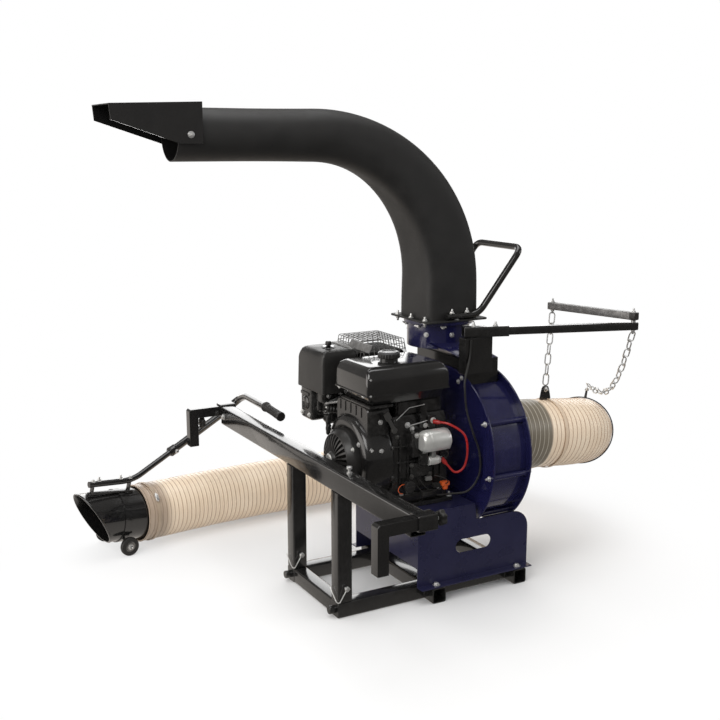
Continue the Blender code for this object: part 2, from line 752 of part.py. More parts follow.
def build_chute():
    """Build the chute: square at its flange, round at its outlet, with two hood bosses."""
    count = 28
    outer, inner = [], []
    for place, t, s in chute_line():
        across = Vector((0, 1, 0))
        side = across.cross(t).normalized()
        ease = min(1.0, s / 0.62)
        ease = ease * ease * (3 - 2 * ease)
        half = CHUTE_HALF + (CHUTE_ROUND - CHUTE_HALF) * ease
        power = 2.0 + 6.0 * (1.0 - ease) ** 2
        outer.append(superellipse(place, side, across, half, power, count))
        inner.append(superellipse(place, side, across, half - DUCT_SHEET, power, count))
    chute = skin("chute", outer)
    f = FLANGE_HALF
    top = FLANGE_Z + FLANGE_SHEET
    tools = [box("t", CHUTE_X - f, CHUTE_X + f, CHUTE_Y - f, CHUTE_Y + f, FLANGE_Z, top)]
    for side in SIDES.values():
        reach = HOOD_HALF - HOOD_SHEET - GAP
        start = (HOOD_PIVOT_X, CHUTE_Y + side * (CHUTE_ROUND - 0.002), HOOD_PIVOT_Z)
        stop = (HOOD_PIVOT_X, CHUTE_Y + side * reach, HOOD_PIVOT_Z)
        tools.append(rod("t", start, stop, 0.009, 16))
    inner[0] = [p - Vector((0, 0, 0.02)) for p in inner[0]]
    inner[-1] = [p - Vector((0.02, 0, 0)) for p in inner[-1]]
    combine(chute, tools)
    combine(chute, [skin("c", inner)], "DIFFERENCE")
    return finish(chute, paint("chute", MATTE_BLACK))


def build_chute_handle():
    """Build the U handle: two flat feet on the flange and a raised crossbar."""
    z = FLANGE_Z + FLANGE_SHEET + GAP + HANDLE_RADIUS
    near, far = CHUTE_Y - FLANGE_HALF + 0.0105, CHUTE_Y + FLANGE_HALF - 0.0105
    foot, knee, top_x, top_z = 0.150, 0.272, 0.424, 1.112
    line = [
        (foot, near, z),
        (knee - 0.012, near, z),
        (knee, near, z + 0.006),
        (knee + 0.008, near, z + 0.018),
        (top_x - 0.010, near, top_z - 0.026),
        (top_x, near + 0.006, top_z - 0.006),
        (top_x + 0.002, near + 0.024, top_z),
    ]
    line += [(x, CHUTE_Y * 2 - y, h) for x, y, h in reversed(line)]
    handle = bar("chute_handle", line, HANDLE_RADIUS, 12)
    return finish(handle, paint("chute_handle", FRAME_BLACK))


def build_hood():
    """Build the deflector hood: a top sheet with two tapering side sheets."""
    s = HOOD_SHEET
    rear, front = HOOD_PIVOT_X + 0.036, HOOD_PIVOT_X - 0.232
    top_rear, top_front = HOOD_PIVOT_Z + 0.0915, HOOD_PIVOT_Z + 0.0825
    bottom = HOOD_PIVOT_Z - 0.025
    outline = [
        (rear, bottom),
        (rear, top_rear),
        (front, top_front),
        (front + 0.004, top_front - 0.044),
        (HOOD_PIVOT_X - 0.032, bottom),
    ]
    y0, y1 = CHUTE_Y - HOOD_HALF, CHUTE_Y + HOOD_HALF
    hood = plate("deflector_hood", outline, 1, y0, y0 + s)
    side = plate("t", outline, 1, y1 - s, y1)
    outline = [(rear, top_rear - s), (rear, top_rear), (front, top_front), (front, top_front - s)]
    roof = plate("t", outline, 1, y0, y1)
    combine(hood, [roof, side])
    return finish(hood, paint("deflector_hood", FRAME_BLACK))


# Hose hanger.
def chain(name, points, pitch, half_width, wire):
    """Build a hanging chain as joined rings, every second one turned a quarter."""
    places = walk([tuple(p) for p in points], pitch)
    body = None
    for i, (a, b) in enumerate(zip(places, places[1:])):
        a, b = Vector(a), Vector(b)
        t = (b - a).normalized()
        across = t.cross(Vector((0.3, 1.0, 0.0))).normalized()
        if i % 2:
            across = t.cross(across).normalized()
        normal = t.cross(across).normalized()
        middle = (a + b) / 2
        reach = (b - a).length / 2 + wire * 0.72
        rings = []
        for k in range(8):
            turn = math.tau * (k + 0.5) / 8
            c, s = math.cos(turn), math.sin(turn)
            squash = 1.0 / (abs(c) ** 3 + abs(s) ** 3) ** (1.0 / 3.0)
            spot = middle + t * (reach * c * squash) + across * (half_width * s * squash)
            out = (t * c + across * s).normalized()
            turns = ((1, 0), (0, 1), (-1, 0), (0, -1))
            rings.append([spot + wire * (out * x + normal * y) for x, y in turns])
        link = skin("t", rings, closed=True)
        if body is None:
            body = link
            body.name = name
        else:
            combine(body, [link])
    return body


def build_hanger():
    """Build the bracket, the swinging sleeve, the sliding arm, the link and two chains."""
    bracket = box("hanger_bracket", 0.150, 0.256, -0.1385, THROAT_NEAR_Y - GAP, 0.715, 0.8330)
    finish(bracket, paint("hanger_bracket", FRAME_BLACK))

    t = (ARM_END - SLEEVE_START).normalized()
    end = SLEEVE_START + t * SLEEVE_LENGTH
    sleeve = beam("hanger_sleeve", SLEEVE_START, end, SLEEVE_SIDE, SLEEVE_SIDE)
    hole = beam("c", SLEEVE_START + t * 0.004, end + t * 0.05, ARM_SIDE + 0.0012, ARM_SIDE + 0.0012)
    combine(sleeve, [hole], "DIFFERENCE")
    finish(sleeve, paint("hanger_sleeve", FRAME_BLACK))

    arm = beam("hanger_arm", SLEEVE_START + t * 0.055, ARM_END, ARM_SIDE, ARM_SIDE)
    post = ARM_END - t * 0.014
    low, high = Vector((0, 0, ARM_SIDE / 2 + 0.006)), Vector((0, 0, ARM_SIDE / 2 + LINK_GAP - GAP))
    boss = rod("t", post - low, post + high, 0.008, 12)
    combine(arm, [boss])
    finish(arm, paint("hanger_arm", FRAME_BLACK))

    z = ARM_END.z + (ARM_SIDE + LINK_HEIGHT) / 2 + LINK_GAP
    a = Vector((post.x, post.y, z))
    b = Vector((LINK_END.x, LINK_END.y, z))
    run = (b - a).normalized()
    link = beam("hanger_link", a - run * 0.013, b + run * 0.013, LINK_SIDE, LINK_HEIGHT)
    drop = Vector((0, 0, LINK_HEIGHT / 2 + 0.009))
    eye = rod("t", b - drop, b + Vector((0, 0, LINK_HEIGHT / 2 + 0.007)), 0.0055, 12)
    cap = Vector((0, 0, LINK_HEIGHT / 2))
    top = rod("t", a + cap * 0.9, a + cap + Vector((0, 0, 0.007)), 0.008, 12)
    combine(link, [eye, top])
    finish(link, paint("hanger_link", ZINC))

    place, radius, _ = hose_at(*COLLAR_AT)
    start = b - drop - Vector((0, 0, CHAIN_END))
    stop = place + Vector((0, 0, radius + EAR_HEIGHT + CHAIN_END))
    inner = chain("inner_chain", [start, stop], CHAIN_PITCH, CHAIN_HALF, CHAIN_WIRE)
    finish(inner, paint("inner_chain", ZINC))
    place, radius, (u, _, _) = hose_at(*HOOP_AT)
    start = post - low - Vector((0, 0, CHAIN_END - 0.0009))
    stop = place + u * (radius + KNOB_TOP) + Vector((0, 0, CHAIN_END + 0.0045))
    sag = []
    for k in range(13):
        s = k / 12
        sag.append(start.lerp(stop, s) - Vector((0, 0, CHAIN_SAG * 4 * s * (1 - s))))
    outer = chain("outer_chain", sag, CHAIN_PITCH, CHAIN_HALF, CHAIN_WIRE)
    finish(outer, paint("outer_chain", ZINC))


# Hose and nozzle.
def hose_places():
    """Return the smooth middle line of the hose with a radius at every place."""
    return walk(spline(HOSE_ROUTE, 10), HOSE_PITCH / 2)


def build_hose():
    """Build the ribbed hose with a plain bore."""
    places = hose_places()
    if len(places) % 2 == 0:
        places = places[:-1]
    axes = frames([p[:3] for p in places])
    outer = []
    for i, (p, (u, v, _)) in enumerate(zip(places, axes)):
        radius = p[3] if i % 2 else p[3] - 0.0035
        outer.append(circle(Vector(p[:3]), u, v, radius, HOSE_SIDES))
    picks = list(range(0, len(places), 5))
    if picks[-1] != len(places) - 1:
        picks.append(len(places) - 1)
    inner = []
    for i in picks:
        u, v, _ = axes[i]
        inner.append(circle(Vector(places[i][:3]), u, v, places[i][3] - HOSE_WALL, HOSE_SIDES))
    hose = shell("hose", outer, inner)
    return finish(hose, paint("hose", TAN))


def hose_at(x, y):
    """Return place, radius and cross axes of the hose ridge closest to a point."""
    places = hose_places()
    axes = frames([p[:3] for p in places])
    ridges = range(1, len(places), 2)
    best = min(ridges, key=lambda i: (places[i][0] - x) ** 2 + (places[i][1] - y) ** 2)
    return Vector(places[best][:3]), places[best][3], axes[best]


def band_round_hose(name, x, y, width, thick, count=28):
    """Build a flat band round the hose, a hair outside its ribs."""
    place, radius, (u, v, t) = hose_at(x, y)
    inner = (radius + 0.0006) / math.cos(math.pi / count)
    a, b = place - t * width / 2, place + t * width / 2
    rings_out = [circle(p, u, v, inner + thick, count) for p in (a, b)]
    rings_in = [circle(p, u, v, inner, count) for p in (a, b)]
    return shell(name, rings_out, rings_in), place, inner + thick, (u, v, t)


def build_hose_fittings():
    """Build the collar with its ear, the hoop with its knob, and the two end clamps."""
    collar, place, r, (u, v, t) = band_round_hose("hose_collar", *COLLAR_AT, 0.030, 0.003)
    tip = place + Vector((0, 0, hose_at(*COLLAR_AT)[1] + EAR_HEIGHT))
    ear = beam("t", place + Vector((0, 0, r - 0.002)), tip, 0.030, 0.006, up=(1, 0, 0))
    hole_mid = tip - Vector((0, 0, 0.010))
    hole = rod("c", hole_mid - Vector((0.03, 0, 0)), hole_mid + Vector((0.03, 0, 0)), 0.0055, 14)
    combine(collar, [ear])
    combine(collar, [hole], "DIFFERENCE")
    finish(collar, paint("hose_collar", FRAME_BLACK))

    place, radius, (u, v, t) = hose_at(*HOOP_AT)
    wire = 0.0035
    line = circle(place, u, v, (radius + wire + 0.0006) / math.cos(math.pi / 28), 28)
    rings = []
    for p in line:
        out = (p - place).normalized()
        turns = [math.tau * k / 6 for k in range(6)]
        rings.append([p + wire * (math.cos(a) * out + math.sin(a) * t) for a in turns])
    hoop = skin("hose_hoop", rings, closed=True)
    top = place + u * (radius + 0.004)
    stem = rod("t", top, top + u * 0.026, 0.006, 12)
    combine(hoop, [stem])
    finish(hoop, paint("hose_hoop", FRAME_BLACK))

    middle = place + u * (radius + KNOB_TOP - 0.007)
    knob = beam("hoop_knob", middle - t * 0.021, middle + t * 0.021, 0.013, 0.014, up=tuple(u))
    finish(knob, paint("hoop_knob", RUBBER))

    for name, x, y in (("inlet_clamp", 0.372, 0.0), ("nozzle_clamp", -0.655, 0.758)):
        clamp, place, r, (u, v, t) = band_round_hose(name, x, y, 0.013, 0.0016)
        out = (u * 0.55 - Vector((0, 1, 0)) * 0.84).normalized()
        out = (out - t * out.dot(t)).normalized()
        middle = place + out * (r + 0.0035)
        along = t.cross(out).normalized()
        screw = beam("t", middle - along * 0.016, middle + along * 0.016, 0.011, 0.011, up=tuple(out))
        combine(clamp, [screw])
        finish(clamp, paint(name, ZINC))


def build_nozzle():
    """Build the nozzle with its slanted mouth, the axle bracket and two wheels."""
    axis = (NOZZLE_BACK - NOZZLE_FRONT).normalized()
    across = axis.cross(Vector((0, 0, 1))).normalized()
    up = across.cross(axis).normalized()
    count = 36
    outer, inner = [], []
    slant = 0.62
    bead = NOZZLE_RADIUS + 0.0012
    for s, r in ((0.0, NOZZLE_RADIUS), (0.70, NOZZLE_RADIUS), (0.74, bead), (1.0, bead)):
        middle = NOZZLE_FRONT.lerp(NOZZLE_BACK, s)
        lean = slant * (1.0 - s) if s < 0.5 else 0.0
        for rings, radius in ((outer, r), (inner, r - NOZZLE_SHEET)):
            ring = circle(middle, up, across, radius, count)
            rings.append([p - axis * lean * (p - middle).dot(up) for p in ring])
    nozzle = shell("nozzle", outer, inner)
    finish(nozzle, paint("nozzle", FRAME_BLACK))

    under = NOZZLE_FRONT.lerp(NOZZLE_BACK, 0.40)
    level = Vector((across.x, across.y, 0)).normalized()
    near_dir = level if level.y < 0 else -level
    hub = Vector((under.x, under.y, WHEEL_RADIUS + 0.0002))
    reach = 0.083
    strap = 0.003
    ends = [under - axis * 0.012, under + axis * 0.012]
    inner_r = NOZZLE_RADIUS + 0.0008
    bracket = shell(
        "axle_bracket",
        [circle(p, up, across, inner_r + strap, 32) for p in ends],
        [circle(p, up, across, inner_r, 32) for p in ends],
    )
    extra = []
    for side in (-1, 1):
        foot = hub + near_dir * side * 0.064
        roof = under.z - math.sqrt(inner_r**2 - 0.064**2) - 0.0026
        low, high = foot - Vector((0, 0, 0.007)), Vector((foot.x, foot.y, roof))
        extra.append(beam("t", low, high, 0.018, 0.005, up=tuple(near_dir)))
        start, stop = foot - near_dir * side * 0.004, hub + near_dir * side * (reach + 0.026)
        extra.append(rod("t", start, stop, 0.005, 12))
    combine(bracket, extra)
    finish(bracket, paint("axle_bracket", FRAME_BLACK))

    for name, side in (("near_wheel", 1), ("far_wheel", -1)):
        start = hub + near_dir * side * reach
        stop = hub + near_dir * side * (reach + WHEEL_WIDTH)
        w = WHEEL_WIDTH
        profile = [(0.0, 0.029), (0.003, WHEEL_RADIUS), (w - 0.003, WHEEL_RADIUS), (w, 0.029)]
        wheel = turned(name, start, stop, profile, 28)
        t = (stop - start).normalized()
        bore = rod("c", start - t * 0.02, stop + t * 0.02, 0.0054, 16)
        combine(wheel, [bore], "DIFFERENCE")
        finish(wheel, paint(name, MATTE_BLACK))


def build_boom():
    """Build the nozzle bar with its lower tube, the upper tube with its handle, and the grip."""
    t = (BOOM_STEP - BOOM_BEND).normalized()
    start = Vector((-0.872, 0.6850, 0.2720))
    before = (start - BOOM_BEND).normalized()
    line = [start, BOOM_BEND + before * 0.030, BOOM_BEND + before * 0.010 + t * 0.001]
    line += [BOOM_BEND + t * 0.012, BOOM_BEND + t * 0.035, BOOM_STEP + t * 0.130]
    lower = bar("boom_lower", line, BOOM_LOW, 14)
    axis = (NOZZLE_BACK - NOZZLE_FRONT).normalized()
    feet = []
    for s in (0.09, 0.93):
        top = start.lerp(BOOM_BEND, s)
        along = (top - NOZZLE_FRONT).dot(axis)
        middle = NOZZLE_FRONT + axis * along
        out = (top - middle).normalized()
        foot = middle + out * (NOZZLE_RADIUS + GAP)
        feet.append(beam("t", foot, top, 0.020, 0.006, up=tuple(axis)))
    combine(lower, feet)
    finish(lower, paint("boom_lower", FRAME_BLACK))

    bend = [
        BOOM_TOP - t * 0.010,
        BOOM_TOP + Vector((0.042, 0.006, 0.026)),
        Vector((-0.210, 0.898, 0.4560)),
        Vector((-0.203, 0.872, 0.4750)),
        Vector((-0.210, 0.835, 0.4870)),
        Vector((-0.224, 0.770, 0.4970)),
        Vector((-0.250, 0.548, 0.5110)),
    ]
    upper = bar("boom_upper", [BOOM_STEP] + bend, BOOM_HIGH, 14)
    spigot = bar("t", [Vector((-0.250, 0.560, 0.5110)), Vector((-0.252, 0.425, 0.5040))], 0.0105, 12)
    clamp = rod("t", BOOM_STEP + t * 0.004, BOOM_STEP + t * 0.030, BOOM_HIGH + 0.004, 16)
    out = t.cross(Vector((0, 0, 1))).normalized()
    stub_start = BOOM_STEP + t * 0.017 + out * 0.012
    stub = rod("t", stub_start, stub_start + out * 0.018, 0.006, 12)
    combine(upper, [clamp, stub, spigot])
    bore = rod("c", BOOM_STEP - t * 0.05, BOOM_STEP + t * 0.205, BOOM_LOW + 0.0008, 16)
    combine(upper, [bore], "DIFFERENCE")
    finish(upper, paint("boom_upper", FRAME_BLACK))

    a, b = Vector((-0.250, 0.545, 0.5100)), Vector((-0.2523, 0.404, 0.5027))
    along = (b - a).normalized()
    u, v, _ = frames([a, b])[0]
    profile = [(0.0, 0.0185), (0.006, 0.0185), (0.008, 0.0155), (0.070, 0.0150)]
    profile += [(0.128, 0.0160), (0.138, 0.0175)]
    grip = skin("handle_grip", [circle(a + along * s, u, v, r, 20) for s, r in profile])
    bore = rod("c", a - along * 0.02, a + along * 0.1235, 0.0112, 16)
    combine(grip, [bore], "DIFFERENCE")
    finish(grip, paint("handle_grip", RUBBER))


# Engine.
def tapered(name, rings):
    """Build a solid from level rectangles (x0, x1, y0, y1, z), lowest first."""
    found = []
    for x0, x1, y0, y1, z in rings:
        found.append([Vector(p) for p in ((x0, y0, z), (x1, y0, z), (x1, y1, z), (x0, y1, z))])
    return skin(name, found)


def build_engine_core():
    """Build the crankcase with its feet, the head, the shroud, the recoil cover and handle."""
    deck = STAND_DECK + GAP
    block = tapered(
        "engine_block",
        [
            (-0.115, 0.098, -0.118, 0.118, deck),
            (-0.115, 0.098, -0.118, 0.118, deck + 0.052),
            (-0.115, 0.092, -0.128, 0.130, deck + 0.075),
            (-0.115, 0.092, -0.128, 0.130, BLOCK_TOP - 0.040),
            (-0.105, 0.088, -0.110, 0.120, BLOCK_TOP),
        ],
    )
    cover = rod("t", (0.085, 0, CRANK_Z - 0.012), (0.109, 0, CRANK_Z - 0.012), 0.098, 28)
    rails = []
    for side in SIDES.values():
        y = side * 0.118
        rails.append(box("t", -0.135, 0.108, y - 0.022, y + 0.022, deck, deck + 0.014))
    neck = box("t", -0.090, 0.080, -0.105, 0.060, BLOCK_TOP - 0.010, TANK_BOTTOM - GAP)
    combine(block, [cover, neck] + rails)
    well = rod("c", (0.104, 0, CRANK_Z), (0.15, 0, CRANK_Z), 0.018, 20)
    combine(block, [well], "DIFFERENCE")
    finish(block, paint("engine_block", ENGINE_BLACK))

    head = box("cylinder_head", -0.085, 0.085, 0.1303, 0.205, 0.490, 0.655)
    fins = []
    for k in range(6):
        y = 0.138 + 0.011 * k
        fins.append(box("t", -0.100, 0.098, y, y + 0.0045, 0.482, 0.664))
    combine(head, fins)
    finish(head, paint("cylinder_head", CASTING))

    x = -0.1153
    shroud = turned(
        "fan_shroud",
        (x, 0, CRANK_Z),
        (x - 0.15, 0, CRANK_Z),
        [(0.0, 0.143), (0.070, 0.143), (0.092, 0.134), (0.100, 0.120)],
        40,
    )
    lift = box("t", x - 0.080, x, -0.112, 0.095, CRANK_Z, SHROUD_TOP)
    combine(shroud, [lift])
    hollow = rod("c", (x - 0.0935, 0, CRANK_Z), (x - 0.11, 0, CRANK_Z), 0.098, 32)
    combine(shroud, [hollow], "DIFFERENCE")
    finish(shroud, paint("fan_shroud", ENGINE_BLACK))

    x -= 0.0938
    recoil = turned(
        "recoil_cover",
        (x, 0, CRANK_Z),
        (x - 0.1, 0, CRANK_Z),
        [(0.0, 0.0965), (0.022, 0.0965), (0.044, 0.080), (0.054, 0.058)]
        + [(0.057, 0.026), (0.066, 0.022), (0.069, 0.014)],
        32,
    )
    slots = []
    for k in range(12):
        turn = math.tau * (k + 0.5) / 12
        mid = Vector((x - 0.052, 0.060 * math.cos(turn), CRANK_Z + 0.060 * math.sin(turn)))
        out = Vector((0, math.cos(turn), math.sin(turn)))
        slots.append(beam("c", mid - out * 0.018, mid + out * 0.018, 0.0055, 0.016, up=(1, 0, 0)))
    combine(recoil, slots, "DIFFERENCE")
    finish(recoil, paint("recoil_cover", ENGINE_BLACK))

    x -= 0.0135
    low, high = (x, 0.104, CRANK_Z + 0.050), (x, 0.104, CRANK_Z + 0.115)
    grip = beam("recoil_handle", low, high, 0.016, 0.014, up=(1, 0, 0))
    z = CRANK_Z + 0.0825
    stem = rod("t", (x, 0.090, z), (x, 0.101, z), 0.005, 10)
    combine(grip, [stem])
    finish(grip, paint("recoil_handle", RUBBER))


def build_tank():
    """Build the two-part tank as one body with its seam rib, and the fuel cap."""
    x0, x1, y0, y1 = TANK_LEFT, TANK_RIGHT, TANK_NEAR, TANK_FAR
    rings = [
        (x0 + 0.022, x1 - 0.014, y0 + 0.010, y1 - 0.010, TANK_BOTTOM),
        (x0 + 0.008, x1 - 0.006, y0 + 0.003, y1 - 0.004, TANK_SEAM - 0.004),
        (x0 - 0.003, x1 + 0.003, y0 - 0.003, y1 + 0.003, TANK_SEAM - 0.004),
        (x0 - 0.003, x1 + 0.003, y0 - 0.003, y1 + 0.003, TANK_SEAM),
        (x0, x1, y0, y1, TANK_SEAM),
        (x0 + 0.002, x1 - 0.002, y0 + 0.002, y1 - 0.002, TANK_SEAM + 0.052),
        (x0 + 0.008, x1 - 0.020, y0 + 0.012, y1 - 0.012, TANK_SEAM + 0.074),
        (x0 + 0.022, x1 - 0.036, y0 + 0.028, y1 - 0.028, TANK_SEAM + 0.084),
    ]
    tank = tapered("fuel_tank", rings)
    neck_z = TANK_SEAM + 0.080
    neck = rod("t", (-0.084, -0.050, neck_z), (-0.084, -0.050, neck_z + 0.012), 0.029, 24)
    combine(tank, [neck])
    finish(tank, paint("fuel_tank", ENGINE_BLACK))

    z = neck_z + 0.012 + GAP
    cap = turned(
        "fuel_cap",
        (-0.084, -0.050, z),
        (-0.084, -0.050, z + 0.1),
        [(0.0, 0.033), (0.003, 0.0365), (0.016, 0.0365), (0.021, 0.031)],
        32,
    )
    finish(cap, paint("fuel_cap", ENGINE_BLACK))


def build_air_side():
    """Build the air cleaner, its knob, the carburettor and the throttle lever."""
    cleaner = tapered(
        "air_cleaner",
        [
            (-0.236, -0.110, 0.110, 0.292, 0.642),
            (-0.242, -0.106, 0.106, 0.296, 0.650),
            (-0.242, -0.106, 0.106, 0.296, 0.668),
            (-0.236, -0.110, 0.110, 0.290, 0.672),
            (-0.234, -0.112, 0.112, 0.288, 0.768),
            (-0.222, -0.124, 0.126, 0.276, 0.786),
        ],
    )
    finish(cleaner, paint("air_cleaner", MATTE_BLACK))
    knob = star_knob("air_cleaner_knob", (-0.178, 0.186, 0.786 + GAP), (0, 0, 1), 0.0125, 0.019, 3)
    finish(knob, paint("air_cleaner_knob", RUBBER))

    body = box("carburettor", -0.212, -0.118, 0.150, 0.232, 0.530, 0.6415)
    bowl = rod("t", (-0.172, 0.190, 0.502), (-0.172, 0.190, 0.535), 0.028, 20)
    pipe_end = rod("t", (-0.130, 0.185, 0.565), (-0.100 - GAP, 0.185, 0.565), 0.024, 16)
    side_box = box("t", -0.236, -0.205, 0.158, 0.262, 0.556, 0.628)
    combine(body, [bowl, pipe_end, side_box])
    finish(body, paint("carburettor", CASTING))

    z = TANK_BOTTOM - 0.0335
    y = -0.1325
    low, high = (-0.112, y, z - 0.055), (-0.135, y, z - 0.010)
    lever = beam("throttle_lever", low, high, 0.012, 0.004, up=(0, 1, 0))
    low, high = (-0.130, y, z - 0.018), (-0.142, y, z + 0.004)
    pad = beam("t", low, high, 0.020, 0.006, up=(0, 1, 0))
    hub = rod("t", (-0.112, -0.137, z - 0.055), (-0.112, -0.1284, z - 0.055), 0.010, 16)
    combine(lever, [pad, hub])
    finish(lever, paint("throttle_lever", ZINC))


def build_exhaust():
    """Build the muffler and the wire guard over it."""
    muffler = tapered(
        "muffler",
        [
            (-0.080, 0.064, 0.106, 0.262, 0.672),
            (-0.088, 0.072, 0.098, 0.270, 0.682),
            (-0.088, 0.072, 0.098, 0.270, 0.760),
            (-0.080, 0.064, 0.106, 0.262, 0.770),
        ],
    )
    leg = box("t", -0.030, 0.030, 0.150, 0.190, 0.6645, 0.680)
    combine(muffler, [leg])
    finish(muffler, paint("muffler", MATTE_BLACK))

    wire = 0.0022
    x0, x1, y0, y1, low, high = -0.092, 0.077, 0.0945, 0.274, 0.752, 0.808
    guard = None
    rows = 5
    for k in range(rows):
        y = y0 + 0.012 + (y1 - y0 - 0.024) * k / (rows - 1)
        line = [(x0, y, low), (x0 + 0.012, y, high), (x1 - 0.012, y, high), (x1, y, low)]
        piece = bar("t", line, wire, 4)
        if guard is None:
            guard = piece
            guard.name = "muffler_guard"
        else:
            combine(guard, [piece])
    lines = []
    for k in range(6):
        x = x0 + 0.020 + (x1 - x0 - 0.040) * k / 5
        under = high - 0.0015
        lines.append([(x, y0, low), (x, y0 + 0.006, under), (x, y1 - 0.006, under), (x, y1, low)])
    corners = [(x0, y0, low), (x1, y0, low), (x1, y1, low), (x0, y1, low)]
    combine(guard, [bar("t", line, wire, 4) for line in lines])
    hoops = [beam("t", corners[i], corners[(i + 1) % 4], 0.005, 0.005) for i in range(4)]
    combine(guard, hoops)
    finish(guard, paint("muffler_guard", ZINC))


def build_electrics():
    """Build the starter motor with its solenoid, the battery cable, the loom and the oil filler."""
    y, z = -0.1700, 0.5250
    starter = rod("starter_motor", (-0.030, y, z), (0.066, y, z), 0.0355, 28)
    nose = rod("t", (-0.052, y, z), (-0.028, y, z), 0.030, 24)
    base = box("t", -0.060, -0.030, -0.160, -0.1284, z - 0.052, z + 0.030)
    solenoid = rod("t", (-0.006, y + 0.006, z - 0.068), (0.045, y + 0.006, z - 0.068), 0.0150, 20)
    strap = box("t", 0.004, 0.020, y - 0.004, y + 0.014, z - 0.062, z - 0.025)
    combine(starter, [nose, base, solenoid, strap])
    finish(starter, paint("starter_motor", ZINC))

    route = [
        (0.030, -0.1480, 0.578),
        (0.058, -0.190, 0.575),
        (0.100, -0.214, 0.540),
        (0.118, -0.214, 0.480),
        (0.112, -0.206, 0.425),
        (0.078, -0.196, 0.412),
        (0.060, -0.178, 0.438),
        (0.0488, -0.167, 0.454),
    ]
    cable = bar("battery_cable", spline(route, 4), 0.0042, 7)
    finish(cable, paint("battery_cable", RED))

    route = [
        (0.169, -0.1427, 0.828),
        (0.163, -0.1437, 0.770),
        (0.132, -0.166, 0.712),
        (0.124, -0.176, 0.680),
        (0.126, -0.186, 0.610),
        (0.142, -0.200, 0.540),
        (0.160, -0.214, 0.470),
        (0.160, -0.2145, 0.400),
        (0.130, -0.196, 0.345),
        (0.078, -0.166, 0.334),
        (0.040, -0.152, 0.332),
    ]
    wires = bar("cable_loom", spline(route, 3), 0.0036, 6)
    finish(wires, paint("cable_loom", RUBBER))

    filler = turned(
        "oil_filler",
        (-0.062, -0.1285, 0.375),
        (-0.062, -0.25, 0.375),
        [(0.0, 0.014), (0.014, 0.014), (0.016, 0.020), (0.026, 0.020), (0.029, 0.015)],
        20,
    )
    finish(filler, paint("oil_filler", ENGINE_BLACK))


def build_all():
    """Build every piece of the machine."""
    build_base()
    for name, side in SIDES.items():
        build_post(name + "_post", side)
        build_pin(name + "_lock_pin", side)
        build_hook(name + "_hook", side)
    build_rail()
    build_hook_knobs()
    build_stand()
    build_blower()
    build_outlet()
    build_chute()
    build_chute_handle()
    build_hood()
    build_hanger()
    build_hose()
    build_hose_fittings()
    build_nozzle()
    build_boom()
    build_engine_core()
    build_tank()
    build_air_side()
    build_exhaust()
    build_electrics()


build_all()
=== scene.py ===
"""Look of the truck-hung leaf vacuum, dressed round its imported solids.

Metres, in the solids' own frame: X runs along the crankshaft, Y along the tailgate rail, Z is up.
"""

import logging
import math
from dataclasses import dataclass
from enum import Enum
from functools import cache
from typing import Sequence

import bpy
import numpy as np
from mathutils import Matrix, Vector


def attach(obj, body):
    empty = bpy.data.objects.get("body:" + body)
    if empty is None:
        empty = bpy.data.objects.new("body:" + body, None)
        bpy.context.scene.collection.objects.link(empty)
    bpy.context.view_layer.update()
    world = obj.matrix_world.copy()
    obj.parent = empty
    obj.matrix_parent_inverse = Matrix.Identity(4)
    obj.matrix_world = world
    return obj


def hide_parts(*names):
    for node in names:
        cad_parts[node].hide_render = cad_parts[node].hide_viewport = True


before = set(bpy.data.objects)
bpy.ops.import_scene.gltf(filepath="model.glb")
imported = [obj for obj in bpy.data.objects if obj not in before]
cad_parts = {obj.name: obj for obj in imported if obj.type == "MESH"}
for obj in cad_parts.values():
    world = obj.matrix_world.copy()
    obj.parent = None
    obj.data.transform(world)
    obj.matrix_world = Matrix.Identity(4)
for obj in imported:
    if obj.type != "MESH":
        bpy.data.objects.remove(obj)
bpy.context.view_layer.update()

Span = tuple[float, float]
Point = tuple[float, float, float]
Colour = tuple[float, float, float]
Socket = bpy.types.NodeSocket

LOG = logging.getLogger("leaf_vacuum")
TAU = 2 * math.pi
LEFT, RIGHT = (-1.0, 0.0, 0.0), (1.0, 0.0, 0.0)
NEAR, FAR = (0.0, -1.0, 0.0), (0.0, 1.0, 0.0)
DOWN, UP = (0.0, 0.0, -1.0), (0.0, 0.0, 1.0)
SIDES = {"near": -1, "far": 1}
WHITE = (1.0, 1.0, 1.0)
GAP = 0.0003  # between faces that would otherwise lie in one plane
TINY = 1e-12  # least length that a vector is divided by
NEIGHBOUR_SHARE = 0.48  # of the way to the next corner that a rounded corner may take


# Lines and outlines.
def unit(vectors: np.ndarray) -> np.ndarray:
    """Scale vectors to length one.

    Args:
        vectors: Any array whose last axis holds a vector.

    Returns:
        The same array with unit vectors.
    """
    vectors = np.asarray(vectors, float)
    return vectors / np.maximum(np.linalg.norm(vectors, axis=-1, keepdims=True), TINY)


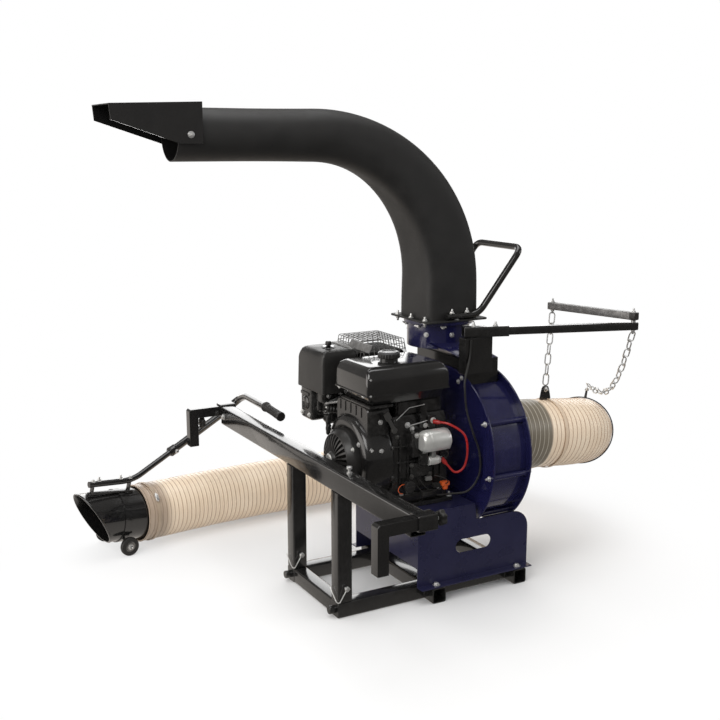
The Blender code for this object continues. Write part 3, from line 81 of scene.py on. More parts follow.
def rounded(points: Sequence, radius: float, steps: int = 4, closed: bool = False) -> np.ndarray:
    """Round the corners of a line of any dimension.

    Each corner P gives way to the curve (1-t)^2 S + 2t(1-t) P + t^2 E between points S and E
    that lie a radius away from it, or less where the neighbour is near.

    Args:
        points: The corners, in order.
        radius: How far from a corner its curve starts.
        steps: Spans per corner.
        closed: Whether the last corner joins the first.

    Returns:
        The rounded line as an array of points.
    """
    points = np.asarray(points, float)
    inner = points if closed else points[1:-1]
    before = np.roll(points, 1, axis=0) if closed else points[:-2]
    after = np.roll(points, -1, axis=0) if closed else points[2:]
    to_a, to_b = before - inner, after - inner
    far_a = np.linalg.norm(to_a, axis=1, keepdims=True)
    far_b = np.linalg.norm(to_b, axis=1, keepdims=True)
    start = inner + to_a / far_a * np.minimum(radius, far_a * NEIGHBOUR_SHARE)
    stop = inner + to_b / far_b * np.minimum(radius, far_b * NEIGHBOUR_SHARE)
    t = np.linspace(0, 1, steps + 1)[None, :, None]
    curve = (1 - t) ** 2 * start[:, None] + 2 * t * (1 - t) * inner[:, None] + t**2 * stop[:, None]
    curve = curve.reshape(-1, points.shape[1])
    return curve if closed else np.vstack([points[:1], curve, points[-1:]])


def circle(radius: float, count: int) -> np.ndarray:
    """Return a round outline: radius times the cosine and sine of evenly spaced turns."""
    turn = np.arange(count) * TAU / count
    return radius * np.stack([np.cos(turn), np.sin(turn)], axis=1)


def rectangle(width: float, height: float, corner: float = 0.004, steps: int = 3) -> np.ndarray:
    """Return a round-cornered rectangle outline round the origin."""
    w, h = width / 2, height / 2
    return rounded([(w, -h), (w, h), (-w, h), (-w, -h)], corner, steps, closed=True)


def smooth_line(points: Sequence, steps: int) -> np.ndarray:
    """Return the Catmull-Rom curve through points, evenly stepped in each span."""
    points = np.asarray(points, float)
    wide = np.vstack([points[:1], points, points[-1:]])
    a, b, c, d = (wide[k : len(wide) - 3 + k, None] for k in range(4))
    t = np.linspace(0, 1, steps, endpoint=False)[None, :, None]
    curve = 0.5 * (
        2 * b + (c - a) * t + (2 * a - 5 * b + 4 * c - d) * t**2 + (3 * b - a - 3 * c + d) * t**3
    )
    return np.vstack([curve.reshape(-1, points.shape[1]), points[-1:]])


def eased(share: np.ndarray) -> np.ndarray:
    """Return shares from 0 to 1 with a soft start and stop: 3 t^2 - 2 t^3."""
    return share * share * (3 - 2 * share)


def places_round(middle: Sequence, radius: float, degrees: Sequence, axis: int = 0) -> np.ndarray:
    """Return places on a circle.

    Args:
        middle: The circle's middle.
        radius: Its radius.
        degrees: Turns from the first of the two axes that the circle lies in to the second.
        axis: 0, 1 or 2 for a circle round X, Y or Z.

    Returns:
        One place for each turn.
    """
    turn = np.radians(degrees)
    places = np.tile(np.asarray(middle, float), (len(turn), 1))
    first, second = (k for k in range(3) if k != axis)
    places[:, first] += radius * np.cos(turn)
    places[:, second] += radius * np.sin(turn)
    return places


def even_line(points: np.ndarray, count: int) -> np.ndarray:
    """Return count points spaced evenly by length along a line; extra columns follow."""
    steps = np.linalg.norm(np.diff(points[:, :3], axis=0), axis=1)
    along = np.concatenate([[0.0], np.cumsum(steps)])
    want = np.linspace(0, along[-1], count)
    return np.stack([np.interp(want, along, column) for column in points.T], axis=1)


def length_of(points: np.ndarray) -> float:
    """Return the length of a line through points."""
    return float(np.linalg.norm(np.diff(points[:, :3], axis=0), axis=1).sum())


def cross_axes(path: np.ndarray, up: Sequence | None) -> tuple[np.ndarray, np.ndarray, np.ndarray]:
    """Return two cross axes and the direction at every point of a line.

    The first axis is the up vector less its part along the line. Without an up vector, the
    direction that the line has least of stands in for it, which is the normal of its plane.

    Args:
        path: Points along the line.
        up: The wanted first axis, or None.

    Returns:
        First axis, second axis and direction, each with one row per point.
    """
    along = unit(np.gradient(path, axis=0))
    if up is None:
        up = np.linalg.svd(along, full_matrices=False)[2][-1]
    up = np.asarray(up, float)
    first = unit(up - along * (along @ up)[:, None])
    return first, np.cross(along, first), along


def carry(path: Sequence, section: np.ndarray, up: Sequence | None = UP) -> np.ndarray:
    """Carry a flat outline along a line, its first coordinate along the up axis.

    Args:
        path: Points along the line.
        section: One outline, or one for each point of the line.
        up: The first cross axis, or None to find one.

    Returns:
        Rings of points, one per point of the line.
    """
    path = np.asarray(path, float)
    first, second, _ = cross_axes(path, up)
    section = np.broadcast_to(section, (len(path),) + section.shape[-2:])
    across = section[..., 0:1] * first[:, None] + section[..., 1:2] * second[:, None]
    return path[:, None] + across


def spin(profile: Sequence, count: int, lobes: int = 0, depth: float = 0.0) -> np.ndarray:
    """Turn a profile of (height, radius) pairs about Z.

    With lobes, every radius is scaled by 1 + depth * cos(lobes * turn).

    Args:
        profile: Pairs of height and radius, lowest first.
        count: Points per ring.
        lobes: How many finger lobes the ring has.
        depth: The lobes' depth as a share of the radius.

    Returns:
        Rings of points.
    """
    profile = np.asarray(profile, float)
    turn = np.arange(count) * TAU / count
    radius = profile[:, 1:2] * (1 + depth * np.cos(lobes * turn))[None, :]
    height = np.broadcast_to(profile[:, 0:1], radius.shape)
    return np.stack([radius * np.cos(turn), radius * np.sin(turn), height], axis=-1)


def stand(rings: np.ndarray, places: Sequence, axes: Sequence) -> np.ndarray:
    """Stand copies of rings built about Z on places, with Z turned to each axis.

    Args:
        rings: Rings of points about the Z axis.
        places: Where each copy's origin goes.
        axes: The direction of each copy's Z.

    Returns:
        One set of rings per copy.
    """
    places = np.atleast_2d(np.asarray(places, float))
    z = unit(np.broadcast_to(np.asarray(axes, float), places.shape))
    helper = np.where(np.abs(z[:, 2:3]) < 0.9, [[0.0, 0.0, 1.0]], [[1.0, 0.0, 0.0]])
    x = unit(helper - z * np.sum(helper * z, axis=1, keepdims=True))
    y = np.cross(z, x)
    basis = np.stack([x, y, z], axis=1)
    return np.einsum("rnk,lkj->lrnj", rings, basis) + places[:, None, None]


def peg(radius: float, length: float, tip: float, tip_radius: float) -> list[Span]:
    """Return the profile of a round peg: straight for its length, then on to the tip."""
    return [(0.0, radius), (length, radius), (tip, tip_radius)]


def show(thing: bpy.types.Object) -> None:
    """Put an object into the scene."""
    bpy.context.scene.collection.objects.link(thing)


class Shell:
    """Closed surfaces gathered into one mesh."""

    def __init__(self) -> None:
        """Start with no surface."""
        self.points: list[np.ndarray] = []
        self.quads: list[np.ndarray] = []
        self.caps: list[list[int]] = []
        self.marks: dict[str, list[np.ndarray]] = {}
        self.count = 0

    def sweep(self, rings: np.ndarray, closed: bool = False, **marks: np.ndarray) -> "Shell":
        """Join rings, or several sets of rings, into tubes whose faces look outwards.

        Args:
            rings: Rings of points that run anticlockwise about the way they follow each other.
            closed: Whether the last ring joins the first; otherwise flat caps close both ends.
            marks: Values for each point, kept as attributes of the mesh.

        Returns:
            The shell itself.
        """
        rings = np.asarray(rings, float)
        rings = rings[None] if rings.ndim == 3 else rings
        lots, rows, cols = rings.shape[:3]
        index = self.count + np.arange(lots * rows * cols).reshape(lots, rows, cols)
        beside = np.roll(index, -1, axis=2)
        if closed:
            here, side = index, beside
            over, corner = np.roll(index, -1, axis=1), np.roll(beside, -1, axis=1)
        else:
            here, side = index[:, :-1], beside[:, :-1]
            over, corner = index[:, 1:], beside[:, 1:]
            self.caps += index[:, 0, ::-1].tolist() + index[:, -1].tolist()
        self.quads.append(np.stack([here, side, corner, over], axis=-1).reshape(-1, 4))
        self.points.append(rings.reshape(-1, 3))
        for name, values in marks.items():
            self.marks.setdefault(name, []).append(np.asarray(values, float).ravel())
        self.count += lots * rows * cols
        return self

    def bar(
        self,
        a: Sequence,
        b: Sequence,
        section: np.ndarray,
        up: Sequence | None = UP,
        edge: float = 0.001,
    ) -> "Shell":
        """Add a straight bar between two points, with a small chamfer at both ends."""
        a, b = np.asarray(a, float), np.asarray(b, float)
        along = unit(b - a)
        path = np.stack([a, a + along * edge, b - along * edge, b])
        shrink = 1 - edge / np.abs(section).max()
        scale = np.array([shrink, 1, 1, shrink])[:, None, None]
        return self.sweep(carry(path, section[None] * scale, up))

    def tube(
        self, a: Sequence, b: Sequence, section: np.ndarray, wall: float, up: Sequence | None = UP
    ) -> "Shell":
        """Add a straight open-ended tube whose bore is the section less its wall."""
        a, b = np.asarray(a, float), np.asarray(b, float)
        along = unit(b - a)
        lip = min(wall * 0.25, 0.0008)
        size = np.abs(section).max()
        path = np.stack([a, a + along * lip, b - along * lip, b, b, a])
        scales = np.array([1 - lip / size, 1, 1, 1 - lip / size, 1 - wall / size, 1 - wall / size])
        first, second, _ = cross_axes(path[:4], up)
        across = section[:, 0:1] * first[0] + section[:, 1:2] * second[0]
        return self.sweep(path[:, None] + across[None] * scales[:, None, None], closed=True)

    def rod(
        self, path: Sequence, radius: float, count: int = 16, up: Sequence | None = None
    ) -> "Shell":
        """Add a round bar along a line."""
        return self.sweep(carry(path, circle(radius, count), up))

    def turned(self, place: Sequence, axis: Sequence, profile: Sequence, count: int = 32) -> "Shell":
        """Add solids of revolution that stand on one or more places."""
        return self.sweep(stand(spin(profile, count), place, axis))

    def hollow(self, place: Sequence, axis: Sequence, profile: Sequence, count: int = 32) -> "Shell":
        """Add rings of revolution whose profile runs out along the rim and back along the bore."""
        return self.sweep(stand(spin(profile, count), place, axis), closed=True)

    def slab(
        self, outline: np.ndarray, axis: int, low: float, high: float, edge: float = 0.0008
    ) -> "Shell":
        """Push a flat outline along an axis and chamfer both of its rims.

        Args:
            outline: The two other coordinates of each corner, in order.
            axis: 0, 1 or 2 for the push along X, Y or Z.
            low: Where the slab starts.
            high: Where it ends.
            edge: The chamfer.

        Returns:
            The shell itself.
        """
        outline = np.asarray(outline, float)
        p, q = outline.T
        if np.sum(p * np.roll(q, -1) - np.roll(p, -1) * q) < 0:
            outline = outline[::-1]
        ahead = np.roll(outline, -1, axis=0) - np.roll(outline, 1, axis=0)
        out = unit(np.stack([ahead[:, 1], -ahead[:, 0]], axis=1))
        levels = np.array([low, low + edge, high - edge, high])
        if axis == 1:
            levels = levels[::-1]
        inset = np.array([edge, 0, 0, edge])[:, None, None]
        flat = outline[None] - out[None] * inset
        rings = np.zeros(flat.shape[:2] + (3,))
        others = [k for k in range(3) if k != axis]
        rings[..., others[0]], rings[..., others[1]] = flat[..., 0], flat[..., 1]
        rings[..., axis] = levels[:, None]
        return self.sweep(rings)

    def plate(
        self, corners: Sequence, radius: float, axis: int, low: float, high: float,
        edge: float = 0.0008, steps: int = 4,
    ) -> "Shell":
        """Add a slab whose outline has rounded corners."""
        return self.slab(rounded(corners, radius, steps, closed=True), axis, low, high, edge)

    def box(self, low: Sequence, high: Sequence, edge: float = 0.001, corner: float = 0.0) -> "Shell":
        """Add an upright box with chamfered rims and, if asked, rounded upright edges."""
        (x0, y0, z0), (x1, y1, z1) = low, high
        corner = max(corner, edge)
        corners = [(x0, y0), (x1, y0), (x1, y1), (x0, y1)]
        return self.plate(corners, corner, 2, z0, z1, edge, 3)

    def boxes(self, *rows: Sequence) -> "Shell":
        """Add boxes, each given as (low, high, edge) or (low, high, edge, corner)."""
        for row in rows:
            self.box(*row)
        return self

    def turned_each(self, *rows: Sequence) -> "Shell":
        """Add solids of revolution, each given as (place, axis, profile, count)."""
        for row in rows:
            self.turned(*row)
        return self

    def levels(self, rows: Sequence, steps: int = 4) -> "Shell":
        """Join level rectangles (x0, x1, y0, y1, z, corner), lowest first."""
        rows = np.asarray(rows, float)
        x0, x1, y0, y1, z, r = rows.T
        t = np.linspace(0, math.pi / 2, steps + 1)
        sides = ((x1, y0, -1), (x1, y1, 0), (x0, y1, 1), (x0, y0, 2))
        rings = []
        for x, y, quarter in sides:
            turn = t + quarter * math.pi / 2
            inward_x = np.where(x is x1, -1, 1)
            inward_y = np.where(y is y1, -1, 1)
            cx, cy = x + inward_x * r, y + inward_y * r
            px = cx[:, None] + r[:, None] * np.cos(turn)
            py = cy[:, None] + r[:, None] * np.sin(turn)
            rings.append(np.stack([px, py, np.broadcast_to(z[:, None], px.shape)], axis=-1))
        return self.sweep(np.concatenate(rings, axis=1))

    def mesh(self, name: str, sharp: float = 38.0) -> bpy.types.Mesh:
        """Make the mesh, smooth but for edges sharper than an angle in degrees."""
        faces = np.concatenate(self.quads).tolist() + self.caps
        mesh = bpy.data.meshes.new(name)
        mesh.from_pydata(np.concatenate(self.points).tolist(), [], faces)
        mesh.polygons.foreach_set("use_smooth", np.ones(len(faces), bool))
        mesh.set_sharp_from_angle(angle=math.radians(sharp))
        for key, values in self.marks.items():
            attribute = mesh.attributes.new(key, "FLOAT", "POINT")
            attribute.data.foreach_set("value", np.concatenate(values).astype(np.float32))
        mesh.update()
        return mesh


# Fastener shapes.
@dataclass(frozen=True)
class Bolt:
    """Sizes of a hexagon bolt with its washer."""

    flats: float = 0.013
    head: float = 0.0052
    washer: float = 0.0105
    washer_sheet: float = 0.0015
    thread: float = 0.004
    stick_out: float = 0.0

    def heads(self, shell: Shell, places: Sequence, axes: Sequence) -> Shell:
        """Add washer, hexagon and, where it sticks out, thread on every place.

        Args:
            shell: What the bolts are added to.
            places: Points on the surface that the washers sit on.
            axes: Directions that point away from that surface.

        Returns:
            The shell.
        """
        w, s, h = self.washer, self.washer_sheet, self.head
        r = self.flats / math.sqrt(3)
        washer = [(-0.0004, w * 0.97), (s * 0.2, w), (s * 0.8, w), (s, w * 0.96)]
        shell.turned(places, axes, washer, 20)
        shell.turned(places, axes, [(s * 0.9, r * 0.96), (s + 0.0006, r), (s + h * 0.78, r)]
                     + [(s + h, r * 0.86)], 6)
        tip = s + h + self.stick_out
        dome = [(s + h * 0.8, self.thread), (tip, self.thread), (tip + 0.0009, self.thread * 0.8)]
        shell.turned(places, axes, dome, 12)
        return shell


SMALL_BOLT = Bolt(flats=0.01, head=0.0042, washer=0.0085, thread=0.003)
FRAME_BOLT = Bolt(flats=0.015, head=0.0062, washer=0.0125, thread=0.0045)
STUD = Bolt(flats=0.012, head=0.0052, washer=0.0098, thread=0.0036, stick_out=0.007)


# Finishes.
class Graph:
    """A short way to write a shader tree."""

    def __init__(self, tree: bpy.types.NodeTree) -> None:
        """Keep the tree that nodes go into."""
        self.tree = tree

    def node(self, kind: str, **settings: object) -> bpy.types.Node:
        """Add a node and set its plain settings."""
        made = self.tree.nodes.new(kind)
        for name, value in settings.items():
            setattr(made, name, value)
        return made

    def feed(self, socket: Socket, value: object) -> None:
        """Link a socket to another, or write a number or colour on it."""
        if isinstance(value, Socket):
            self.tree.links.new(value, socket)
        elif isinstance(value, (tuple, list)) and len(value) == 3 and socket.type == "RGBA":
            socket.default_value = (*value, 1.0)
        else:
            socket.default_value = value

    def math(self, operation: str, *values: object) -> Socket:
        """Return the result of one sum."""
        made = self.node("ShaderNodeMath", operation=operation)
        for socket, value in zip(made.inputs, values):
            self.feed(socket, value)
        return made.outputs[0]

    def span(self, value: object, low: object, high: object, a: float = 0.0, b: float = 1.0) -> Socket:
        """Return a value carried smoothly from low..high to a..b."""
        made = self.node("ShaderNodeMapRange", interpolation_type="SMOOTHSTEP")
        for socket, entry in zip(made.inputs, (value, low, high, a, b)):
            self.feed(socket, entry)
        return made.outputs[0]

    def blend(self, share: object, a: object, b: object) -> Socket:
        """Return a mix of two colours."""
        made = self.node("ShaderNodeMix", data_type="RGBA")
        self.feed(made.inputs[0], share)
        self.feed(made.inputs[6], a)
        self.feed(made.inputs[7], b)
        return made.outputs[2]

    def noise(self, vector: object, scale: object, detail: float = 3.0, rough: float = 0.55) -> Socket:
        """Return the value of a noise pattern."""
        made = self.node("ShaderNodeTexNoise")
        self.feed(made.inputs["Vector"], vector)
        self.feed(made.inputs["Scale"], scale)
        made.inputs["Detail"].default_value = detail
        made.inputs["Roughness"].default_value = rough
        return made.outputs["Fac"]

    def group(self, tree: bpy.types.NodeTree, **values: object) -> bpy.types.Node:
        """Add a node group with its inputs."""
        made = self.node("ShaderNodeGroup")
        made.node_tree = tree
        for name, value in values.items():
            self.feed(made.inputs[name], value)
        return made


class Effects:
    """Shared surface effects, each built once as a node group."""

    @staticmethod
    def start(
        name: str, inputs: dict[str, float | None], outputs: Sequence[str]
    ) -> tuple[bpy.types.NodeTree, Graph, bpy.types.NodeOutputs, bpy.types.NodeInputs]:
        """Open a node group with typed sockets.

        Args:
            name: The group's name.
            inputs: Each input's default, or None for a vector.
            outputs: The names of the outputs, which are all numbers.

        Returns:
            The tree, its graph, the sockets that give the inputs and those that take the outputs.
        """
        tree = bpy.data.node_groups.new(name, "ShaderNodeTree")
        for key, value in inputs.items():
            kind = "NodeSocketVector" if value is None else "NodeSocketFloat"
            socket = tree.interface.new_socket(key, in_out="INPUT", socket_type=kind)
            if value is not None:
                socket.default_value = value
        for key in outputs:
            tree.interface.new_socket(key, in_out="OUTPUT", socket_type="NodeSocketFloat")
        graph = Graph(tree)
        given, out = graph.node("NodeGroupInput"), graph.node("NodeGroupOutput")
        return tree, graph, given.outputs, out.inputs

    @staticmethod
    @cache
    def grain() -> bpy.types.NodeTree:
        """Return the fine height and the broad mottling that every finish has."""
        inputs = {"Vector": None, "Fine Scale": 900.0, "Broad Scale": 14.0, "Fine Share": 0.6}
        tree, graph, given, out = Effects.start("surface_grain", inputs, ("Height", "Mottle"))
        fine = graph.noise(given["Vector"], given["Fine Scale"], 2.0)
        broad = graph.noise(given["Vector"], given["Broad Scale"], 4.0)
        rest = graph.math("SUBTRACT", 1.0, given["Fine Share"])
        height = graph.math("MULTIPLY", fine, given["Fine Share"])
        graph.feed(out["Height"], graph.math("MULTIPLY_ADD", broad, rest, height))
        graph.feed(out["Mottle"], graph.span(broad, 0.32, 0.68))
        return tree

    @staticmethod
    @cache
    def wear() -> bpy.types.NodeTree:
        """Return the mask of rubbed edges: sharp convex edges, broken up by noise."""
        inputs = {"Vector": None, "Start": 0.53, "End": 0.6, "Breakup": 60.0, "Amount": 1.0}
        tree, graph, given, out = Effects.start("edge_wear", inputs, ("Mask",))
        bend = graph.node("ShaderNodeNewGeometry").outputs["Pointiness"]
        patches = graph.noise(given["Vector"], given["Breakup"], 4.0, 0.65)
        edge = graph.span(bend, given["Start"], given["End"])
        broken = graph.math("MULTIPLY", edge, graph.span(patches, 0.45, 0.62))
        graph.feed(out["Mask"], graph.math("MULTIPLY", broken, given["Amount"]))
        return tree

    @staticmethod
    @cache
    def dust() -> bpy.types.NodeTree:
        """Return the mask of thin dust: soft patches and specks on surfaces that look up."""
        inputs = {"Vector": None, "Amount": 0.5}
        tree, graph, given, out = Effects.start("dust", inputs, ("Mask",))
        normal = graph.node("ShaderNodeTexCoord").outputs["Normal"]
        parts = graph.node("ShaderNodeSeparateXYZ")
        graph.feed(parts.inputs[0], normal)
        facing = graph.span(parts.outputs[2], -0.2, 1.0, 0.25, 1.0)
        soft = graph.span(graph.noise(given["Vector"], 9.0, 5.0, 0.6), 0.4, 0.75)
        specks = graph.span(graph.noise(given["Vector"], 420.0, 1.0), 0.66, 0.74)
        both = graph.math("MAXIMUM", graph.math("MULTIPLY", soft, 0.55), specks)
        share = graph.math("MULTIPLY", facing, given["Amount"])
        graph.feed(out["Mask"], graph.math("MULTIPLY", both, share))
        return tree


@dataclass(frozen=True)
class Finish:
    """One finish of the machine: a base with mottling, grain, rubbed edges and dust."""

    slot: str
    colour: Colour
    second: Colour
    rough: Span = (0.3, 0.42)
    metallic: float = 0.0
    coat: float = 0.0
    coat_rough: float = 0.08
    ior: float = 1.5
    fine: float = 900.0
    broad: float = 14.0
    fine_share: float = 0.6
    bump: float = 0.02
    bump_reach: float = 0.0006
    worn: Colour = (0.16, 0.155, 0.15)
    wear: float = 0.35
    dust: float = 0.25
    dust_colour: Colour = (0.22, 0.2, 0.17)
    dust_rough: float = 0.35

    def base(self, graph: Graph, mottle: object) -> object:
        """Return the base colour before wear and dust."""
        return graph.blend(mottle, self.colour, self.second)

    @cache
    def material(self, name: str) -> bpy.types.Material:
        """Return the material of this finish, built when it is first asked for.

        Args:
            name: The material's name.

        Returns:
            The material.
        """
        made = bpy.data.materials.new(name)
        made.use_nodes = True
        graph = Graph(made.node_tree)
        shader = made.node_tree.nodes["Principled BSDF"]
        place = graph.node("ShaderNodeTexCoord").outputs["Object"]
        grain = graph.group(
            Effects.grain(),
            Vector=place,
            **{"Fine Scale": self.fine, "Broad Scale": self.broad, "Fine Share": self.fine_share},
        )
        mottle = grain.outputs["Mottle"]
        colour = self.base(graph, mottle)
        wear = graph.group(Effects.wear(), Vector=place, Amount=self.wear).outputs["Mask"]
        dust = graph.group(Effects.dust(), Vector=place, Amount=self.dust).outputs["Mask"]
        colour = graph.blend(wear, colour, self.worn)
        colour = graph.blend(dust, colour, self.dust_colour)
        graph.feed(shader.inputs["Base Color"], colour)
        low, high = self.rough
        rough = graph.math("MULTIPLY_ADD", mottle, high - low, low)
        graph.feed(shader.inputs["Roughness"], graph.math("MULTIPLY_ADD", dust, self.dust_rough, rough))
        shader.inputs["Metallic"].default_value = self.metallic
        shader.inputs["IOR"].default_value = self.ior
        shader.inputs["Coat Weight"].default_value = self.coat
        shader.inputs["Coat Roughness"].default_value = self.coat_rough
        bump = graph.node("ShaderNodeBump")
        bump.inputs["Strength"].default_value = self.bump
        bump.inputs["Distance"].default_value = self.bump_reach
        graph.feed(bump.inputs["Height"], grain.outputs["Height"])
        graph.feed(shader.inputs["Normal"], bump.outputs[0])
        return made


@dataclass(frozen=True)
class HoseFinish(Finish):
    """The hose: tan film between brown helix turns with painted shade in the creases beside them, grey
    clear film at its blower end.
    """

    helix: Colour = (0.43, 0.262, 0.158)
    old: Colour = (0.47, 0.365, 0.275)
    clear: Colour = (0.205, 0.175, 0.13)
    clear_helix: Colour = (0.56, 0.51, 0.42)
    clear_end: float = 0.192
    clear_blur: float = 0.004
    old_helix: Colour = (0.25, 0.175, 0.12)
    old_start: float = 2.54
    old_stop: float = 2.56
    # painted shade: the film's colour in the crease beside each helix turn
    shade: Colour = (0.78, 0.62, 0.48)

    def base(self, graph: Graph, mottle: object) -> object:
        """Return film and helix colours from the piece's own rib and length values, the film darkened
        by painted shade towards each helix turn.
        """
        rib = graph.node("ShaderNodeAttribute", attribute_name="rib").outputs["Fac"]
        length = graph.node("ShaderNodeAttribute", attribute_name="length").outputs["Fac"]
        on_helix = graph.span(rib, 0.55, 0.8)
        # painted shade: the film darkens towards the helix, where the crease lies
        crease_shade_share = graph.span(rib, 0.05, 0.6, 0.0, 0.35)
        film = graph.blend(mottle, self.colour, self.second)
        film = graph.blend(crease_shade_share, film, self.shade)
        film = graph.blend(graph.span(length, self.old_start - 0.03, self.old_stop), film, self.old)
        aged = graph.span(length, self.old_start - 0.05, self.old_stop)
        tan = graph.blend(on_helix, film, graph.blend(aged, self.helix, self.old_helix))
        grey = graph.blend(on_helix, self.clear, self.clear_helix)
        edge = graph.span(length, self.clear_end - self.clear_blur, self.clear_end + self.clear_blur)
        return graph.blend(edge, grey, tan)


class Look(Enum):
    """The finishes that pieces choose from, named by what they are or where they go."""

    FRAME_PAINT = Finish(
        "painted_black", (0.008, 0.0078, 0.0078), (0.01, 0.0096, 0.0094), (0.17, 0.22),
        coat=0.75, fine=260.0, bump=0.01, worn=(0.05, 0.05, 0.05), wear=0.12, dust=0.04,
    )
    NAVY_PAINT = Finish(
        "painted_navy", (0.0085, 0.0085, 0.044), (0.0105, 0.0105, 0.053), (0.14, 0.19),
        coat=0.8, fine=240.0, bump=0.01, worn=(0.05, 0.05, 0.1), wear=0.1, dust=0.03,
    )
    NAVY_SATIN = Finish(
        "painted_navy", (0.0125, 0.0125, 0.043), (0.015, 0.015, 0.051), (0.26, 0.34),
        coat=0.3, fine=240.0, bump=0.012, worn=(0.05, 0.05, 0.1), wear=0.1, dust=0.04,
    )
    TANK_PAINT = Finish(
        "engine_black", (0.009, 0.0088, 0.0088), (0.0115, 0.011, 0.0108), (0.12, 0.17),
        coat=0.8, fine=300.0, bump=0.01, worn=(0.06, 0.06, 0.06), wear=0.08, dust=0.04,
    )
    BAND_GREY = Finish(
        "painted_black", (0.105, 0.103, 0.098), (0.135, 0.132, 0.125), (0.34, 0.44),
        coat=0.2, fine=400.0, bump=0.04, worn=(0.3, 0.3, 0.29), wear=0.3, dust=0.1,
    )
    CHUTE_PLASTIC = Finish(
        "black_plastic", (0.013, 0.0125, 0.012), (0.0165, 0.0157, 0.015), (0.52, 0.62),
        fine=1400.0, bump=0.1, wear=0.03, dust=0.05,
    )
    ENGINE_PAINT = Finish(
        "engine_black", (0.007, 0.0068, 0.0068), (0.0105, 0.0101, 0.0098), (0.17, 0.28),
        coat=0.55, fine=700.0, bump=0.05, wear=0.12, dust=0.06,
    )
    HEAT_PAINT = Finish(
        "muffler_black", (0.009, 0.0085, 0.0082), (0.015, 0.014, 0.013), (0.6, 0.74),
        ior=1.28, fine=800.0, bump=0.12, wear=0.12, dust=0.12,
    )
    ZINC = Finish(
        "zinc_steel", (0.74, 0.74, 0.73), (0.6, 0.6, 0.59), (0.32, 0.44), metallic=0.8,
        fine=500.0, broad=40.0, bump=0.05, worn=(0.75, 0.75, 0.74), wear=0.3, dust=0.12,
    )
    BLADE_STEEL = Finish(
        "blade_steel", (0.3, 0.3, 0.31), (0.2, 0.2, 0.2), (0.38, 0.52), metallic=1.0,
        fine=300.0, broad=20.0, bump=0.08, worn=(0.5, 0.5, 0.5), wear=0.5, dust=0.3,
    )
    DARK_CASTING = Finish(
        "dark_casting", (0.042, 0.041, 0.04), (0.065, 0.063, 0.06), (0.42, 0.56), metallic=0.5,
        fine=650.0, bump=0.22, worn=(0.25, 0.25, 0.24), wear=0.5, dust=0.35,
    )
    BRIGHT_CASTING = Finish(
        "bright_casting", (0.78, 0.78, 0.75), (0.68, 0.68, 0.655), (0.3, 0.4), metallic=0.65,
        fine=420.0, broad=30.0, bump=0.07, worn=(0.8, 0.8, 0.78), wear=0.3, dust=0.1,
    )
    BLACK_PLASTIC = Finish(
        "black_plastic", (0.0125, 0.0121, 0.0118), (0.0175, 0.0166, 0.0158), (0.3, 0.4),
        fine=1500.0, bump=0.12, wear=0.08, dust=0.08,
    )
    HOSE_FILM = HoseFinish(
        "hose_tan", (0.92, 0.765, 0.585), (0.885, 0.71, 0.525), (0.32, 0.44), coat=0.15,
        fine=300.0, broad=9.0, bump=0.04, wear=0.0, dust=0.04,
    )
    RED_WIRE = Finish(
        "red_wire", (0.36, 0.01, 0.008), (0.27, 0.008, 0.007), (0.26, 0.36),
        fine=900.0, bump=0.05, worn=(0.6, 0.1, 0.08), wear=0.1, dust=0.1,
    )
    RUBBER = Finish(
        "black_rubber", (0.009, 0.0086, 0.0082), (0.0135, 0.0127, 0.0118), (0.46, 0.6),
        fine=1100.0, bump=0.18, wear=0.06, dust=0.12,
    )
    LINK_ZINC = Finish(
        "zinc_steel", (0.26, 0.255, 0.25), (0.21, 0.205, 0.2), (0.36, 0.48), metallic=0.8,
        fine=500.0, broad=40.0, bump=0.05, worn=(0.6, 0.6, 0.59), wear=0.3, dust=0.12,
    )
    BAND_FILM = Finish(
        "painted_black", (0.74, 0.585, 0.43), (0.68, 0.53, 0.385), (0.34, 0.44),
        coat=0.1, fine=400.0, bump=0.04, worn=(0.8, 0.7, 0.55), wear=0.1, dust=0.1,
    )
    BAND_TAN = Finish(
        "painted_black", (0.46, 0.36, 0.265), (0.4, 0.31, 0.225), (0.36, 0.46),
        coat=0.1, fine=400.0, bump=0.04, worn=(0.6, 0.55, 0.45), wear=0.2, dust=0.1,
    )
    CAP_GREY = Finish(
        "engine_black", (0.05, 0.05, 0.052), (0.04, 0.04, 0.042), (0.2, 0.28),
        fine=700.0, bump=0.05, worn=(0.4, 0.4, 0.4), wear=0.2, dust=0.15,
    )
    SHIELD_GREY = Finish(
        "zinc_steel", (0.115, 0.113, 0.11), (0.145, 0.142, 0.138), (0.34, 0.46), metallic=0.2,
        fine=500.0, bump=0.06, worn=(0.4, 0.4, 0.4), wear=0.3, dust=0.2,
    )
    CAST_GREY = Finish(
        "bright_casting", (0.34, 0.34, 0.33), (0.26, 0.26, 0.25), (0.38, 0.5), metallic=0.7,
        fine=600.0, bump=0.16, worn=(0.6, 0.6, 0.58), wear=0.4, dust=0.2,
    )
    ORANGE_PLUG = Finish(
        "red_wire", (0.55, 0.085, 0.012), (0.45, 0.065, 0.01), (0.34, 0.44),
        fine=900.0, bump=0.05, worn=(0.6, 0.2, 0.08), wear=0.1, dust=0.1,
    )

    @property
    def material(self) -> bpy.types.Material:
        """Return the material, built when it is first asked for."""
        return self.value.material(self.name.lower())


